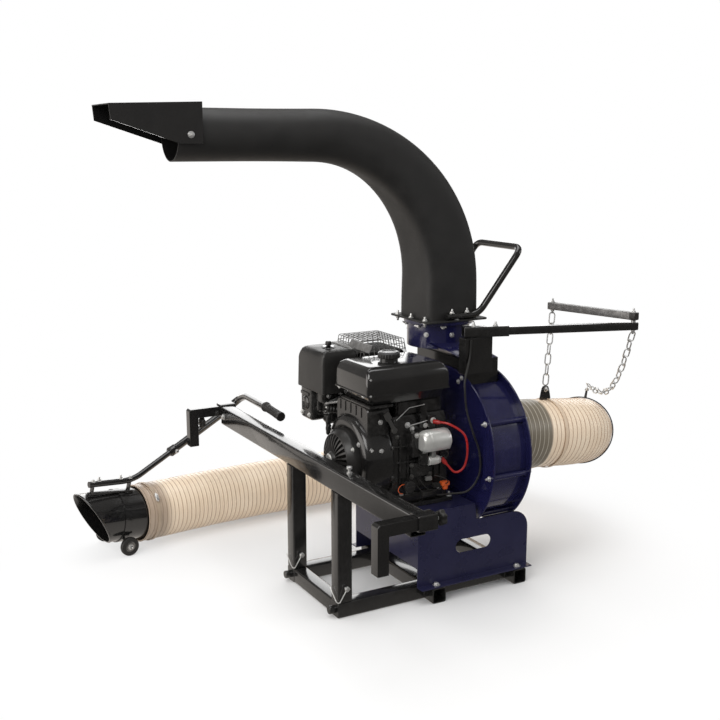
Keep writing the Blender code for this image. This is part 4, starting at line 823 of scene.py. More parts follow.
class Body(Enum):
    """The bodies that new pieces ride on."""

    BASE = "base"
    CHUTE = "chute"
    DEFLECTOR_HOOD = "deflector_hood"
    HANGER_SLEEVE = "hanger_sleeve"
    HANGER_ARM = "hanger_arm"
    HANGER_LINK = "hanger_link"
    INNER_CHAIN = "inner_chain"
    OUTER_CHAIN = "outer_chain"
    HOOP_KNOB = "hoop_knob"
    NEAR_WHEEL = "near_wheel"
    FAR_WHEEL = "far_wheel"
    BOOM_UPPER = "boom_upper"
    NEAR_LOCK_PIN = "near_lock_pin"
    FAR_LOCK_PIN = "far_lock_pin"
    NEAR_CLAMP_KNOB = "near_clamp_knob"
    FAR_CLAMP_KNOB = "far_clamp_knob"
    RECOIL_HANDLE = "recoil_handle"
    OIL_FILLER = "oil_filler"
    FUEL_CAP = "fuel_cap"
    AIR_CLEANER_KNOB = "air_cleaner_knob"


WELD_GAP = 0.00002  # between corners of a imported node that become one
FACE_WEIGHT = 80  # over 50, large faces set the shading more than small ones


class Assembly:
    """Something that places finished pieces and reports them."""

    def add(
        self,
        name: str,
        shell: Shell,
        look: Look,
        body: Body = Body.BASE,
        replaces: Sequence[str] = (),
        sharp: float = 38.0,
    ) -> bpy.types.Object:
        """Make a piece from a shell, paint it and let it ride.

        Args:
            name: The piece's name.
            shell: Its surfaces.
            look: Its finish.
            body: The body that it rides on.
            replaces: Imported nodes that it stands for.
            sharp: Edges that turn by more degrees stay sharp.

        Returns:
            The piece.
        """
        thing = bpy.data.objects.new(name, shell.mesh(name, sharp))
        show(thing)
        thing.data.materials.append(look.material)
        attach(thing, body.value)
        if replaces:
            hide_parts(*replaces)
        LOG.info("%s: %d faces on %s", name, len(thing.data.polygons), body.value)
        return thing

    def dress(self, node: str, look: Look, edge: float = 0.0012, angle: float = 40.0) -> None:
        """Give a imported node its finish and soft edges, with every point of its mesh in place.

        Args:
            node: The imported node's name.
            look: Its finish.
            edge: How wide its edges are bevelled.
            angle: Only edges that turn by more degrees are bevelled.
        """
        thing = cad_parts[node]
        thing.data.materials.clear()
        thing.data.materials.append(look.material)
        thing.data.polygons.foreach_set("use_smooth", np.ones(len(thing.data.polygons), bool))
        weld = thing.modifiers.new("weld", "WELD")
        weld.merge_threshold = WELD_GAP
        bevel = thing.modifiers.new("edges", "BEVEL")
        bevel.width = edge
        bevel.segments = 2
        bevel.limit_method = "ANGLE"
        bevel.angle_limit = math.radians(angle)
        bevel.use_clamp_overlap = True
        bevel.harden_normals = False
        shade = thing.modifiers.new("normals", "WEIGHTED_NORMAL")
        shade.keep_sharp = True
        shade.weight = FACE_WEIGHT
        LOG.info("%s: dressed as %s", node, look.name.lower())


# Base, rail and stand.
@dataclass
class BaseFrame(Assembly):
    """The welded tube base, the two posts, the rail and the lock pins."""

    tube: float = 0.05
    wall: float = 0.0035
    corner: float = 0.0065
    left: float = -0.34
    pitch: float = 0.322
    foot_span: float = 0.235
    half_width: float = 0.184
    stub: float = 0.04
    stub_top: float = 0.16
    rail_low: float = 0.406
    rail_top: float = 0.474
    rail_ends: Span = (-0.5975, 0.76)
    sleeve: float = 0.045
    sleeve_length: float = 0.06
    pin_z: float = 0.098
    pin_radius: float = 0.004
    wire: float = 0.0017
    coil: float = 0.0062
    coil_turns: float = 2.25
    bead: float = 0.0026
    ripple: float = 0.18

    @property
    def post_x(self) -> float:
        """Return the middle of the posts along X."""
        return self.left + self.tube / 2

    @property
    def post_y(self) -> float:
        """Return the far post's middle along Y."""
        return self.half_width - self.tube / 2

    def build(self) -> None:
        """Build every piece of the frame."""
        self.build_base()
        self.build_posts()
        self.build_rail()
        self.build_pins()
        self.build_bolts()

    def build_base(self) -> None:
        """Build runners, cross tube, feet, stubs, stop pads and weld beads."""
        s, h = rectangle(self.tube, self.tube, self.corner), self.tube / 2
        inner, least = (rectangle(w, w, self.corner) for w in (self.tube - 0.0012, self.tube - 0.0024))
        right = self.pitch + h - 0.0008
        shell = Shell()
        for side in SIDES.values():
            y = side * self.post_y
            shell.bar((self.left, y, h), (right, y, h), inner)
            stub = rectangle(self.stub, self.stub, 0.005)
            shell.tube((self.post_x, y, h), (self.post_x, y, self.stub_top), stub, 0.004, up=RIGHT)
            pad = [(-0.004, 0.0124), (0.01, 0.013), (0.02, 0.013), (0.022, 0.0118), (0.0222, 0.006)]
            shell.turned((self.left, y, h), LEFT, pad, 24)
        reach = self.half_width - 0.003
        shell.bar((self.left + h, -reach, h), (self.left + h, reach, h), least)
        for x in (0.0, self.pitch):
            shell.tube((x, -self.foot_span, h), (x, self.foot_span, h), s, self.wall)
        self.add("base_tubes", shell, Look.FRAME_PAINT, replaces=["base_frame"])
        self.add("base_welds", self.weld_beads(), Look.FRAME_PAINT)

    def weld_beads(self) -> Shell:
        """Build the beads where feet meet runners and posts meet the rail.

        A bead is a thin bar whose radius ripples as 1 + ripple * sin(2.1 k) at its point k.
        """
        h, reach, low = self.tube / 2, self.half_width, self.rail_low
        lines = []
        for x in (0.0, self.pitch):
            for side in SIDES.values():
                for edge in (-h, h):
                    for y in (side * (reach - self.tube), side * reach):
                        lines.append([(x + edge, y, 0.008), (x + edge, y, 0.042)])
        for side in SIDES.values():
            for edge in (-h, h):
                y = side * self.post_y + edge
                lines.append([(self.post_x - h * 0.7, y, low), (self.post_x + h * 0.7, y, low)])
        radius = self.bead * (1 + self.ripple * np.sin(np.arange(25) * 2.1))
        radius[[0, -1]] *= 0.5
        section = circle(1.0, 8)[None] * radius[:, None, None]
        shell = Shell()
        for line in lines:
            shell.sweep(carry(even_line(np.asarray(line, float), 25), section, None))
        return shell

    def build_posts(self) -> None:
        """Build the two posts as thick-walled tubes that drop over their stubs."""
        s = rectangle(self.tube, self.tube, self.corner)
        for name, side in SIDES.items():
            y = side * self.post_y
            low, high = (self.post_x, y, self.tube + 0.0005), (self.post_x, y, self.rail_low)
            shell = Shell().tube(low, high, s, 0.0042, up=RIGHT)
            self.add(f"{name}_post_tube", shell, Look.FRAME_PAINT, replaces=[f"{name}_post"])

    def build_rail(self) -> None:
        """Build the tailgate rail with its open hook sleeves and the plate at its near end."""
        height = self.rail_top - self.rail_low
        middle = (self.rail_low + self.rail_top) / 2
        near, far = self.rail_ends
        section = rectangle(height, self.tube, self.corner)
        ends = [(self.post_x, y, middle) for y in (near, far)]
        shell = Shell().tube(*ends, section, self.wall)
        section = rectangle(self.sleeve, self.sleeve, 0.004)
        z = self.rail_top - 0.0175
        for y in (near - self.sleeve / 2, far + self.sleeve / 2):
            shell.tube((self.left, y, z), (self.left + self.sleeve_length, y, z), section, 0.0042)
        self.add("rail_tube", shell, Look.FRAME_PAINT, replaces=["tailgate_rail"])

    def build_pins(self) -> None:
        """Build each lock pin: rod, coiled eye and the sprung wire round the post."""
        x, z = self.post_x, self.pin_z
        left = self.left - 0.0055
        rod = [(0.0, 0.003), (0.002, self.pin_radius), (0.07, self.pin_radius), (0.0725, 0.0028)]
        turns = np.linspace(0, self.coil_turns * TAU, 60)
        for name, side in SIDES.items():
            face = side * self.post_y - self.tube / 2
            eye = face - 0.016
            shell = Shell().turned((x, eye, z), FAR, rod, 16)
            across, up = self.coil * np.cos(turns), self.coil * np.sin(turns)
            coil = np.stack([x + across, eye + turns / TAU * 0.0036, z + up], axis=1)
            shell.rod(coil, self.wire, 8, up=FAR)
            bail = [
                (x + 0.004, face - 0.0085, z + 0.007),
                (x - 0.006, face - 0.0125, z - 0.006),
                (left + 0.004, face - 0.0105, z - 0.041),
                (left - 0.0005, face + 0.001, z - 0.042),
                (left - 0.0005, face + 0.018, z - 0.029),
                (left, face + 0.044, z - 0.008),
            ]
            shell.rod(rounded(bail, 0.006, 5), self.wire, 8)
            piece = f"{name}_lock_pin"
            self.add(f"{piece}_wire", shell, Look.ZINC, Body(piece), [piece])

    def build_bolts(self) -> None:
        """Build the rail's side bolts, the stand's flange bolts and the rail's upright stem."""
        flange = [(x, s * 0.2165, 0.0545) for x in (0.0, self.pitch) for s in (-1, 1)]
        shell = FRAME_BOLT.heads(Shell(), flange, UP)
        FRAME_BOLT.heads(shell, [(self.left, 0.735, 0.44), (self.left, -0.56, 0.44)], LEFT)
        wide, thin = 0.0085, 0.0045
        stem = [(0.0, wide), (0.004, wide), (0.0045, thin), (0.014, thin), (0.0145, wide)]
        shell.turned((-0.312, -0.205, self.rail_top), UP, stem + [(0.021, wide), (0.0225, 0.0065)], 18)
        self.add("frame_bolts", shell, Look.ZINC)


@dataclass
class Hooks(Assembly):
    """The two sliding hook arms with their lobed clamp knobs."""

    near_knob: Point = (-0.2757, -0.62, 0.4565)
    far_knob: Point = (-0.4287, 0.7825, 0.416)
    lobes: int = 6
    lobe_depth: float = 0.12

    def build(self) -> None:
        """Dress the arms and build the knobs."""
        for name in SIDES:
            self.dress(f"{name}_hook", Look.FRAME_PAINT, 0.002)
        self.build_knob("near_clamp_knob", self.near_knob, 0.0215)
        self.build_knob("far_clamp_knob", self.far_knob, 0.02)

    def build_knob(self, node: str, place: Sequence[float], radius: float) -> None:
        """Build a lobed knob: a ring of lobes that rises to a domed face, on a screw."""
        rim = radius * 0.96
        corners = [(0.01, 0.0), (0.0105, radius * 0.62), (0.013, rim), (0.026, rim)]
        profile = rounded(corners + [(0.03, radius * 0.72), (0.0305, 0.0)], 0.004, 4)
        profile[:, 1] = np.maximum(profile[:, 1], 0.0006)
        rings = spin(profile, 72, self.lobes, self.lobe_depth)
        grip = Shell().sweep(stand(rings, place, RIGHT))
        self.add(f"{node}_grip", grip, Look.RUBBER, Body(node), [node])
        turns = np.arange(0, 40)
        thread = np.stack([turns * 0.0003, 0.0046 + 0.0004 * np.cos(turns * math.pi / 2)], axis=1)
        screw = Shell().turned(place, RIGHT, thread, 16)
        screw.turned(place, RIGHT, [(0.03, 0.0058), (0.0312, 0.0062), (0.0318, 0.004)], 16)
        self.add(f"{node}_screw", screw, Look.ZINC, Body(node))


@dataclass
class Stand(Assembly):
    """The folded engine stand."""

    def build(self) -> None:
        """Dress the folded sheet with softened edges."""
        self.dress("engine_stand", Look.NAVY_SATIN, 0.001)


# Blower and outlet.
@dataclass
class Blower(Assembly):
    """Housing plates, scroll band with its spacers, inlet collar and impeller."""

    middle: float = 0.44
    back: Span = (0.172, 0.178)
    front: Span = (0.319, 0.325)
    back_radius: float = 0.279
    front_radius: float = 0.276
    band_radius: float = 0.25
    spacer_radius: float = 0.009
    spacers: int = 9
    first_turn: float = 150.4
    throat: Span = (-0.1, 0.2)
    inlet_z: float = 0.446
    inlet_radius: float = 0.108
    inlet_length: float = 0.095
    crank_z: float = 0.458

    def build(self) -> None:
        """Build the blower."""
        self.build_plates()
        self.build_band()
        self.build_inlet()
        self.dress("impeller", Look.BLADE_STEEL, 0.0008)

    def spacer_places(self) -> np.ndarray:
        """Return Y and Z of the spacers that the throat leaves room for."""
        turn = np.radians(self.first_turn + 360.0 / self.spacers * np.arange(self.spacers))
        radius = self.band_radius + self.spacer_radius - 0.0012
        y, z = radius * np.cos(turn), self.middle + radius * np.sin(turn)
        near, far = self.throat
        keep = ~((z > self.middle + 0.15) & (y > near - 0.02) & (y < far + 0.02))
        return np.stack([y[keep], z[keep]], axis=1)

    def build_plates(self) -> None:
        """Build both plates as turned sheets with a rounded rim, and the bolts through them."""
        for name, (x0, x1), radius, bore, bore_z in (
            ("housing_back_plate", self.back, self.back_radius, 0.03, self.crank_z),
            ("housing_front_plate", self.front, self.front_radius, self.inlet_radius, self.inlet_z),
        ):
            sheet, low = x1 - x0, radius - 0.003
            rim = rounded([(0, low), (0, radius), (sheet, radius), (sheet, low)], 0.002, 3)
            profile = np.vstack([[[0, bore]], rim, [[sheet, bore]]])
            rings = stand(spin(profile, 160), (x0, 0, self.middle), RIGHT)
            rings[0, [0, -1], :, 2] += bore_z - self.middle
            shell = Shell().sweep(rings, closed=True)
            self.add(f"{name}_sheet", shell, Look.NAVY_PAINT, replaces=[name])
        shell, places = Shell(), self.spacer_places()
        for x, way in ((self.back[0], LEFT), (self.front[1], RIGHT)):
            STUD.heads(shell, np.insert(places, 0, x, axis=1), way)
        near, far = self.throat
        x = self.back[0]
        throat = [(x, near + 0.012, 0.6935), (x, near + 0.03, 0.678), (x, far - 0.022, 0.615)]
        SMALL_BOLT.heads(shell, throat, LEFT)
        self.add("blower_bolts", shell, Look.ZINC)

    def build_band(self) -> None:
        """Build the scroll band as a long arc of sheet, and its spacer tubes."""
        near, far = self.throat
        outer, inner = self.band_radius, self.band_radius - 0.004
        start, stop = math.acos((near + 0.004) / outer), math.acos((far - 0.004) / outer)
        turn = np.linspace(start, stop + TAU, 140)
        x0, x1 = self.back[1] + GAP, self.front[0] - GAP
        x, r = np.array([(x0, inner), (x1, inner), (x1, outer), (x0, outer)]).T
        y, z = np.cos(turn)[:, None] * r, self.middle + np.sin(turn)[:, None] * r
        shell = Shell().sweep(np.stack(np.broadcast_arrays(x, y, z), axis=-1))
        spots = np.insert(self.spacer_places(), 0, x0, axis=1)
        shell.turned(spots, RIGHT, [(0, self.spacer_radius), (x1 - x0, self.spacer_radius)], 24)
        self.add("scroll_sheet", shell, Look.NAVY_PAINT, replaces=["scroll_band"])

    def build_inlet(self) -> None:
        """Build the inlet collar with its rolled lip and its ring of rivets."""
        r, start = self.inlet_radius, self.front[1] + GAP
        wall, length = 0.0042, self.inlet_length
        profile = [(0, r + 0.0215), (0.0012, r + 0.022), (0.0034, r + 0.0215), (0.004, r + 0.006)]
        profile += [(0.006, r + wall), (length - 0.003, r + wall), (length, r + wall - 0.001)]
        profile += [(length, r + 0.0005), (length - 0.002, r), (0, r)]
        shell = Shell().hollow((start, 0, self.inlet_z), RIGHT, profile, 96)
        self.add("inlet_ring", shell, Look.NAVY_PAINT, replaces=["inlet_collar"])
        middle = (start + 0.0036, 0, self.inlet_z)
        spots = places_round(middle, r + 0.0145, np.arange(0, 360, 45) + 22.5)
        rivet = [(0, 0.0042), (0.0012, 0.004), (0.0022, 0.0026), (0.0026, 0.0008)]
        self.add("inlet_rivets", Shell().turned(spots, RIGHT, rivet, 12), Look.ZINC)


@dataclass
class Outlet(Assembly):
    """The throat box, the transition from square to round and the turntable collar."""

    x: Span = (0.1805, 0.3085)
    y: Span = (-0.1, 0.2)
    top: float = 0.753
    centre: Span = (0.191, 0.085)
    collar: Span = (0.8, 0.8707)
    skirt: float = 0.02
    bolts_z: float = 0.826
    radius: float = 0.106
    sheet: float = 0.003

    def build(self) -> None:
        """Build the outlet."""
        self.dress("outlet_throat", Look.FRAME_PAINT, 0.001)
        self.build_transition()
        self.build_collar()
        self.build_rim()

    def build_transition(self) -> None:
        """Build the sheet that goes from a rectangle to a circle.

        A ring at height share s is (1-s) times the rectangle plus s times the circle, with both
        cut by the same turns.
        """
        turn = np.arange(96) * TAU / 96 + math.pi / 4
        way = np.stack([np.cos(turn), np.sin(turn)], axis=1)
        square = way / np.abs(way).max(axis=1, keepdims=True)
        (x0, x1), (y0, y1) = self.x, self.y
        middle = np.array([(x0 + x1) / 2, (y0 + y1) / 2])
        share = np.array([0, 0.5, 1.0])[:, None, None]
        z = self.top + GAP + (self.collar[0] - self.top - 2 * GAP) * share
        rings = []
        for wall in (0.0, self.sheet):
            low = middle + square * ((x1 - x0) / 2 - wall, (y1 - y0) / 2 - wall)
            high = self.centre + way * (self.radius - wall)
            flat = low * (1 - share) + high * share
            rings.append(np.concatenate([flat, np.broadcast_to(z, flat.shape[:2] + (1,))], axis=2))
        shell = Shell().sweep(np.concatenate([rings[0], rings[1][::-1]]), closed=True)
        self.add("outlet_hopper", shell, Look.NAVY_PAINT, replaces=["outlet_transition"], sharp=50)

    def build_collar(self) -> None:
        """Build the turntable collar with its rolled lip and its skirt."""
        low, high = self.collar
        r, bore, top = self.radius, self.radius - self.sheet, high - low
        profile = [(-self.skirt, r), (top - 0.013, r), (top - 0.012, r + 0.0095)]
        profile += [(top - 0.011, r + 0.0113), (top - 0.001, r + 0.0115), (top, r + 0.0105)]
        profile += [(top, bore), (-self.skirt, bore)]
        shell = Shell().hollow((*self.centre, low), UP, profile, 96)
        self.add("turntable_ring", shell, Look.NAVY_PAINT, replaces=["turntable_collar"])

    def build_rim(self) -> None:
        """Build the clamps and bolts that hold the chute's flange down on the lip."""
        reach, z = self.radius + 0.004, self.collar[1] - 0.015
        centre = np.array([*self.centre, z])
        ring = places_round(centre, reach, [200, 245, 290, 335, 20, 65, 110, 155], axis=2)
        shell, flat = Shell(), rectangle(0.004, 0.018, 0.001)
        for place in ring:
            out = (place - centre) / reach
            shell.bar(place - out * 0.01, place + out * 0.012, flat, UP, 0.0008)
        SMALL_BOLT.heads(shell, ring - (0, 0, 0.0022), DOWN)
        middle = (*self.centre, self.bolts_z)
        places = places_round(middle, self.radius, [215, 262, 305, 40, 90, 130], axis=2)
        SMALL_BOLT.heads(shell, places, places - middle)
        self.add("turntable_clamps", shell, Look.ZINC)


# Chute.
@dataclass
class Chute(Assembly):
    """The swinging discharge chute: duct, flange, U handle and deflector hood."""

    x: float = 0.191
    y: float = 0.085
    flange_z: float = 0.871
    flange_half: float = 0.1205
    flange_sheet: float = 0.006
    half: float = 0.099
    round_half: float = 0.077
    bend: float = 0.47
    axis_z: float = 1.472
    end_x: float = -0.738
    sheet: float = 0.003
    handle_radius: float = 0.0115
    handle_press: float = 0.12
    pivot: Span = (-0.704, 1.471)
    hood_half: float = 0.0835

    def build(self) -> None:
        """Build the chute."""
        self.build_duct()
        self.build_flange()
        self.build_handle()
        self.build_hood()

    def centre_line(self) -> tuple[np.ndarray, np.ndarray, np.ndarray]:
        """Return places, directions and length shares along the duct's middle.

        The line rises, follows a quarter circle of the bend radius and runs straight out.
        """
        rise = np.linspace(self.flange_z, self.axis_z - self.bend, 10)[:-1]
        a = np.linspace(0, math.pi / 2, 41)
        run = np.linspace(self.x - self.bend, self.end_x, 22)[1:]
        x = np.concatenate([np.full(9, self.x), self.x - self.bend * (1 - np.cos(a)), run])
        z = np.concatenate([rise, self.axis_z - self.bend * (1 - np.sin(a)), np.full(21, self.axis_z)])
        places = np.stack([x, np.full(len(x), self.y), z], axis=1)
        turn = np.concatenate([np.zeros(9), a, np.full(21, math.pi / 2)])
        along = np.stack([-np.sin(turn), np.zeros(len(x)), np.cos(turn)], axis=1)
        steps = np.concatenate([[0], np.linalg.norm(np.diff(places, axis=0), axis=1)])
        return places, along, np.cumsum(steps) / steps.sum()

    def rings(self, inset: float) -> np.ndarray:
        """Return superellipse rings: |u|^p + |v|^p = 1, with p falling from 9 to 2 on the way."""
        places, along, share = self.centre_line()
        ease = eased(np.clip(share / 0.86, 0, 1))
        half = (self.half + (self.round_half - self.half) * ease - inset)[:, None]
        p = (2.0 + 7.0 * (1 - ease) ** 2)[:, None]
        turn = np.arange(96) * TAU / 96 + TAU / 192
        c, s = np.cos(turn)[None], np.sin(turn)[None]
        r = half / (np.abs(c) ** p + np.abs(s) ** p) ** (1 / p)
        side = np.cross(FAR, along)
        return places[:, None] + (r * c)[..., None] * side[:, None] + (r * s)[..., None] * np.array(FAR)

    def build_duct(self) -> None:
        """Build the walled duct and the two hood bosses."""
        outer, inner = self.rings(0.0), self.rings(self.sheet)
        shell = Shell().sweep(np.concatenate([outer, inner[::-1]]), closed=True)
        px, pz = self.pivot
        root = self.round_half - 0.002
        reach = self.hood_half - 0.0033 - root
        for side in (-1, 1):
            boss = peg(0.011, reach, reach + 0.0001, 0.009)
            shell.turned((px, self.y + side * root, pz), (0, side, 0), boss, 24)
        self.add("chute_duct", shell, Look.CHUTE_PLASTIC, Body.CHUTE, ["chute"], sharp=50)

    def build_flange(self) -> None:
        """Build the flange sheet with its bolts, and the bolts through the handle's feet."""
        f, top = self.flange_half, self.flange_z + self.flange_sheet
        corners = [(self.x + a * f, self.y + b * f) for a, b in ((-1, -1), (1, -1), (1, 1), (-1, 1))]
        shell = Shell().plate(corners, 0.014, 2, self.flange_z, top, 0.0012, 5)
        self.add("chute_flange", shell, Look.CHUTE_PLASTIC, Body.CHUTE)
        reach = f - 0.0115
        shares = [(-1, -0.78), (-1, 0.0), (-1, 0.78), (0.0, -1), (0.0, 1)]
        spots = np.array([(self.x + a * reach, self.y + b * reach, top) for a, b in shares])
        bolts = STUD.heads(Shell(), spots, UP)
        STUD.heads(bolts, spots[[0, 2]] - (0, 0, self.flange_sheet), DOWN)
        z = top + 2 * self.handle_radius - 0.001
        for side in (-1, 1):
            y = self.y + side * (f - 0.0105)
            STUD.heads(bolts, [(0.172, y, z), (0.232, y, z)], UP)
        right = [(self.x + reach + 0.002, self.y + s * reach * 0.62, top) for s in (-1, 1)]
        STUD.heads(bolts, right, UP)
        self.add("chute_bolts", bolts, Look.ZINC, Body.CHUTE)

    def build_handle(self) -> None:
        """Build the U handle as one bent bar whose feet are pressed flatter."""
        z = self.flange_z + self.flange_sheet + GAP + self.handle_radius
        near = self.y - self.flange_half + 0.0105
        half = [(0.15, near, z), (0.277, near, z), (0.436, near - 0.018, 1.106)]
        line = half + [(x, 2 * self.y - y, h) for x, y, h in reversed(half)]
        path = even_line(rounded(line, 0.034, 8), 160)
        rings = carry(path, circle(self.handle_radius, 20), None) - path[:, None]
        flat = eased(np.clip((0.262 - path[:, 0]) / 0.02, 0, 1))[:, None]
        rings[..., 2] *= 1 - self.handle_press * flat
        shell = Shell().sweep(path[:, None] + rings)
        self.add("chute_handle_bar", shell, Look.FRAME_PAINT, Body.CHUTE, ["chute_handle"])

    def build_hood(self) -> None:
        """Dress the hood and build its hinge bolts."""
        self.dress("deflector_hood", Look.FRAME_PAINT, 0.0012)
        px, pz = self.pivot
        shell = Shell()
        for side in (-1, 1):
            STUD.heads(shell, [(px, self.y + side * self.hood_half, pz)], (0, side, 0))
        self.add("hood_bolts", shell, Look.ZINC, Body.DEFLECTOR_HOOD)


# Hose hanger.
@dataclass
class Hanger(Assembly):
    """The bracket, the swinging sleeve, the sliding arm, the link and the two chains."""

    start: Point = (0.161, -0.106, 0.8505)
    end: Point = (0.739, -0.289, 0.8505)
    sleeve_length: float = 0.152
    sleeve_side: float = 0.034
    arm_side: float = 0.026
    link_side: float = 0.026
    link_height: float = 0.025
    link_gap: float = 0.0075
    link_end: Span = (0.64, 0.03)
    pitch: float = 0.0365
    wire: float = 0.0025
    link_half: float = 0.01
    sag: float = 0.094
    lag: float = 0.08

    def build(self) -> None:
        """Build the hanger."""
        self.dress("hanger_bracket", Look.FRAME_PAINT, 0.0015)
        self.build_arms()
        self.build_link()
        self.build_chains()

    @property
    def along(self) -> np.ndarray:
        """Return the arm's direction."""
        return unit(np.subtract(self.end, self.start))

    @property
    def post(self) -> np.ndarray:
        """Return the arm's pivot for the link."""
        return np.asarray(self.end) - self.along * 0.014

    def build_arms(self) -> None:
        """Build the sleeve and the arm as square tubes, with a cap and clamp bolts."""
        start, end, t = np.asarray(self.start), np.asarray(self.end), self.along
        section = rectangle(self.sleeve_side, self.sleeve_side, 0.004)
        sleeve = Shell().tube(start, start + t * self.sleeve_length, section, 0.0034)
        self.add("sleeve_tube", sleeve, Look.FRAME_PAINT, Body.HANGER_SLEEVE, ["hanger_sleeve"])
        top = start + (0, 0, self.sleeve_side / 2)
        bolts = STUD.heads(Shell(), [top + t * 0.036, top + t * 0.11], UP)
        self.add("sleeve_bolts", bolts, Look.ZINC, Body.HANGER_SLEEVE)
        section = rectangle(self.arm_side, self.arm_side, 0.003)
        arm = Shell().tube(start + t * 0.055, end - t * 0.002, section, 0.0022)
        self.add("arm_tube", arm, Look.FRAME_PAINT, Body.HANGER_ARM, ["hanger_arm"])
        plug = rectangle(self.arm_side - 0.0008, self.arm_side - 0.0008, 0.003)
        cap = Shell().bar(end - t * 0.01, end, plug, UP, 0.0012)
        self.add("arm_cap", cap, Look.BLACK_PLASTIC, Body.HANGER_ARM)
        half = self.arm_side / 2
        pin = STUD.heads(Shell(), [self.post - (0, 0, half)], DOWN)
        pin.turned(self.post, UP, [(0.01, 0.008), (half + self.link_gap - GAP, 0.008)], 20)
        self.add("arm_bolts", pin, Look.ZINC, Body.HANGER_ARM)

    def build_link(self) -> None:
        """Build the zinc link tube with its cap, pivot bolt and chain bolt."""
        z = self.end[2] + (self.arm_side + self.link_height) / 2 + self.link_gap
        a, b = np.array([*self.post[:2], z]), np.array([*self.link_end, z])
        t = unit(b - a)
        section = rectangle(self.link_height, self.link_side, 0.003)
        shell = Shell().tube(a - t * 0.011, b + t * 0.013, section, 0.002)
        self.add("link_tube", shell, Look.LINK_ZINC, Body.HANGER_LINK, ["hanger_link"])
        plug = rectangle(self.link_height - 0.0006, self.link_side - 0.0006, 0.003)
        cap = Shell().bar(a - t * 0.013, a + t * 0.01, plug * 1.03, UP, 0.0012)
        self.add("link_cap", cap, Look.BLACK_PLASTIC, Body.HANGER_LINK)
        top = (0, 0, self.link_height / 2)
        bolts = STUD.heads(Shell(), [a + top, b + top], UP)
        STUD.heads(bolts, [b - top], DOWN)
        self.add("link_bolts", bolts, Look.ZINC, Body.HANGER_LINK)

    def chain(self, points: np.ndarray) -> Shell:
        """Build a chain along a line: stadium-shaped links, each a quarter turn from the last.

        A link's line is two straight sides and two half circles; a circle of the wire's radius
        goes round it. Links touch: the inner length of a link is the pitch.
        """
        count = max(2, round(length_of(points) / self.pitch))
        places = even_line(points, count + 1)
        a, b = places[:-1], places[1:]
        t = unit(b - a)
        across = unit(np.cross(t, [0.3, 1.0, 0.0]))
        odd = (np.arange(count) % 2 == 1)[:, None]
        across = np.where(odd, unit(np.cross(t, across)), across)
        normal = np.cross(t, across)
        step = np.linalg.norm(b - a, axis=1)
        reach = (step + 2 * self.wire) / 2 - self.link_half
        turn = np.linspace(-math.pi / 2, math.pi / 2, 9)
        arc = np.stack([np.cos(turn), np.sin(turn)], axis=1) * self.link_half
        ends = np.concatenate([arc, -arc])
        shift = np.concatenate([np.ones(9), -np.ones(9)])
        line_t = ends[None, :, 0] + shift[None] * reach[:, None]
        line_s = np.broadcast_to(ends[None, :, 1], line_t.shape)
        middle = (a + b) / 2
        centre = middle[:, None] + line_t[..., None] * t[:, None] + line_s[..., None] * across[:, None]
        out = unit(ends)
        out = out[None, :, 0:1] * t[:, None] + out[None, :, 1:2] * across[:, None]
        ring = circle(self.wire, 8)
        rings = (
            centre[:, :, None]
            + ring[None, None, :, 0:1] * out[:, :, None]
            + ring[None, None, :, 1:2] * normal[:, None, None]
        )
        return Shell().sweep(rings[:, :, ::-1], closed=True)

    def build_chains(self) -> None:
        """Build the straight inner chain and the sagging outer chain."""
        inner = self.chain(np.array([(0.64, 0.03, 0.8576), (0.5959, 0.0011, 0.6071)]))
        self.add("inner_chain_links", inner, Look.ZINC, Body.INNER_CHAIN, ["inner_chain"])
        start, stop = np.array([0.7257, -0.2848, 0.828]), np.array([0.8789, 0.0988, 0.5565])
        s = np.linspace(0, 1, 40)[:, None]
        swing = np.sin(math.pi * s)
        sag = start + (stop - start) * (s - np.array([1, 1, 0]) * self.lag * swing)
        sag = sag - np.array([0, 0, self.sag]) * swing
        self.add("outer_chain_links", self.chain(sag), Look.ZINC, Body.OUTER_CHAIN, ["outer_chain"])


# Hose, nozzle and boom.
# Points of the hose's middle line, each with the hose's radius there.
HOSE_ROUTE = np.array([
    (0.345, 0.0, 0.446, 0.1225),
    (0.43, 0.0, 0.446, 0.1225),
    (0.56, 0.0, 0.434, 0.1225),
    (0.7, 0.01, 0.418, 0.122),
    (0.8, 0.05, 0.4, 0.1215),
    (0.868, 0.14, 0.37, 0.121),
    (0.885, 0.27, 0.325, 0.12),
    (0.86, 0.41, 0.268, 0.118),
    (0.8, 0.54, 0.208, 0.116),
    (0.69, 0.66, 0.152, 0.113),
    (0.52, 0.75, 0.12, 0.109),
    (0.25, 0.8, 0.11, 0.1065),
    (-0.05, 0.812, 0.109, 0.106),
    (-0.35, 0.802, 0.109, 0.106),
    (-0.56, 0.777, 0.11, 0.106),
    (-0.69, 0.75, 0.115, 0.106),
])


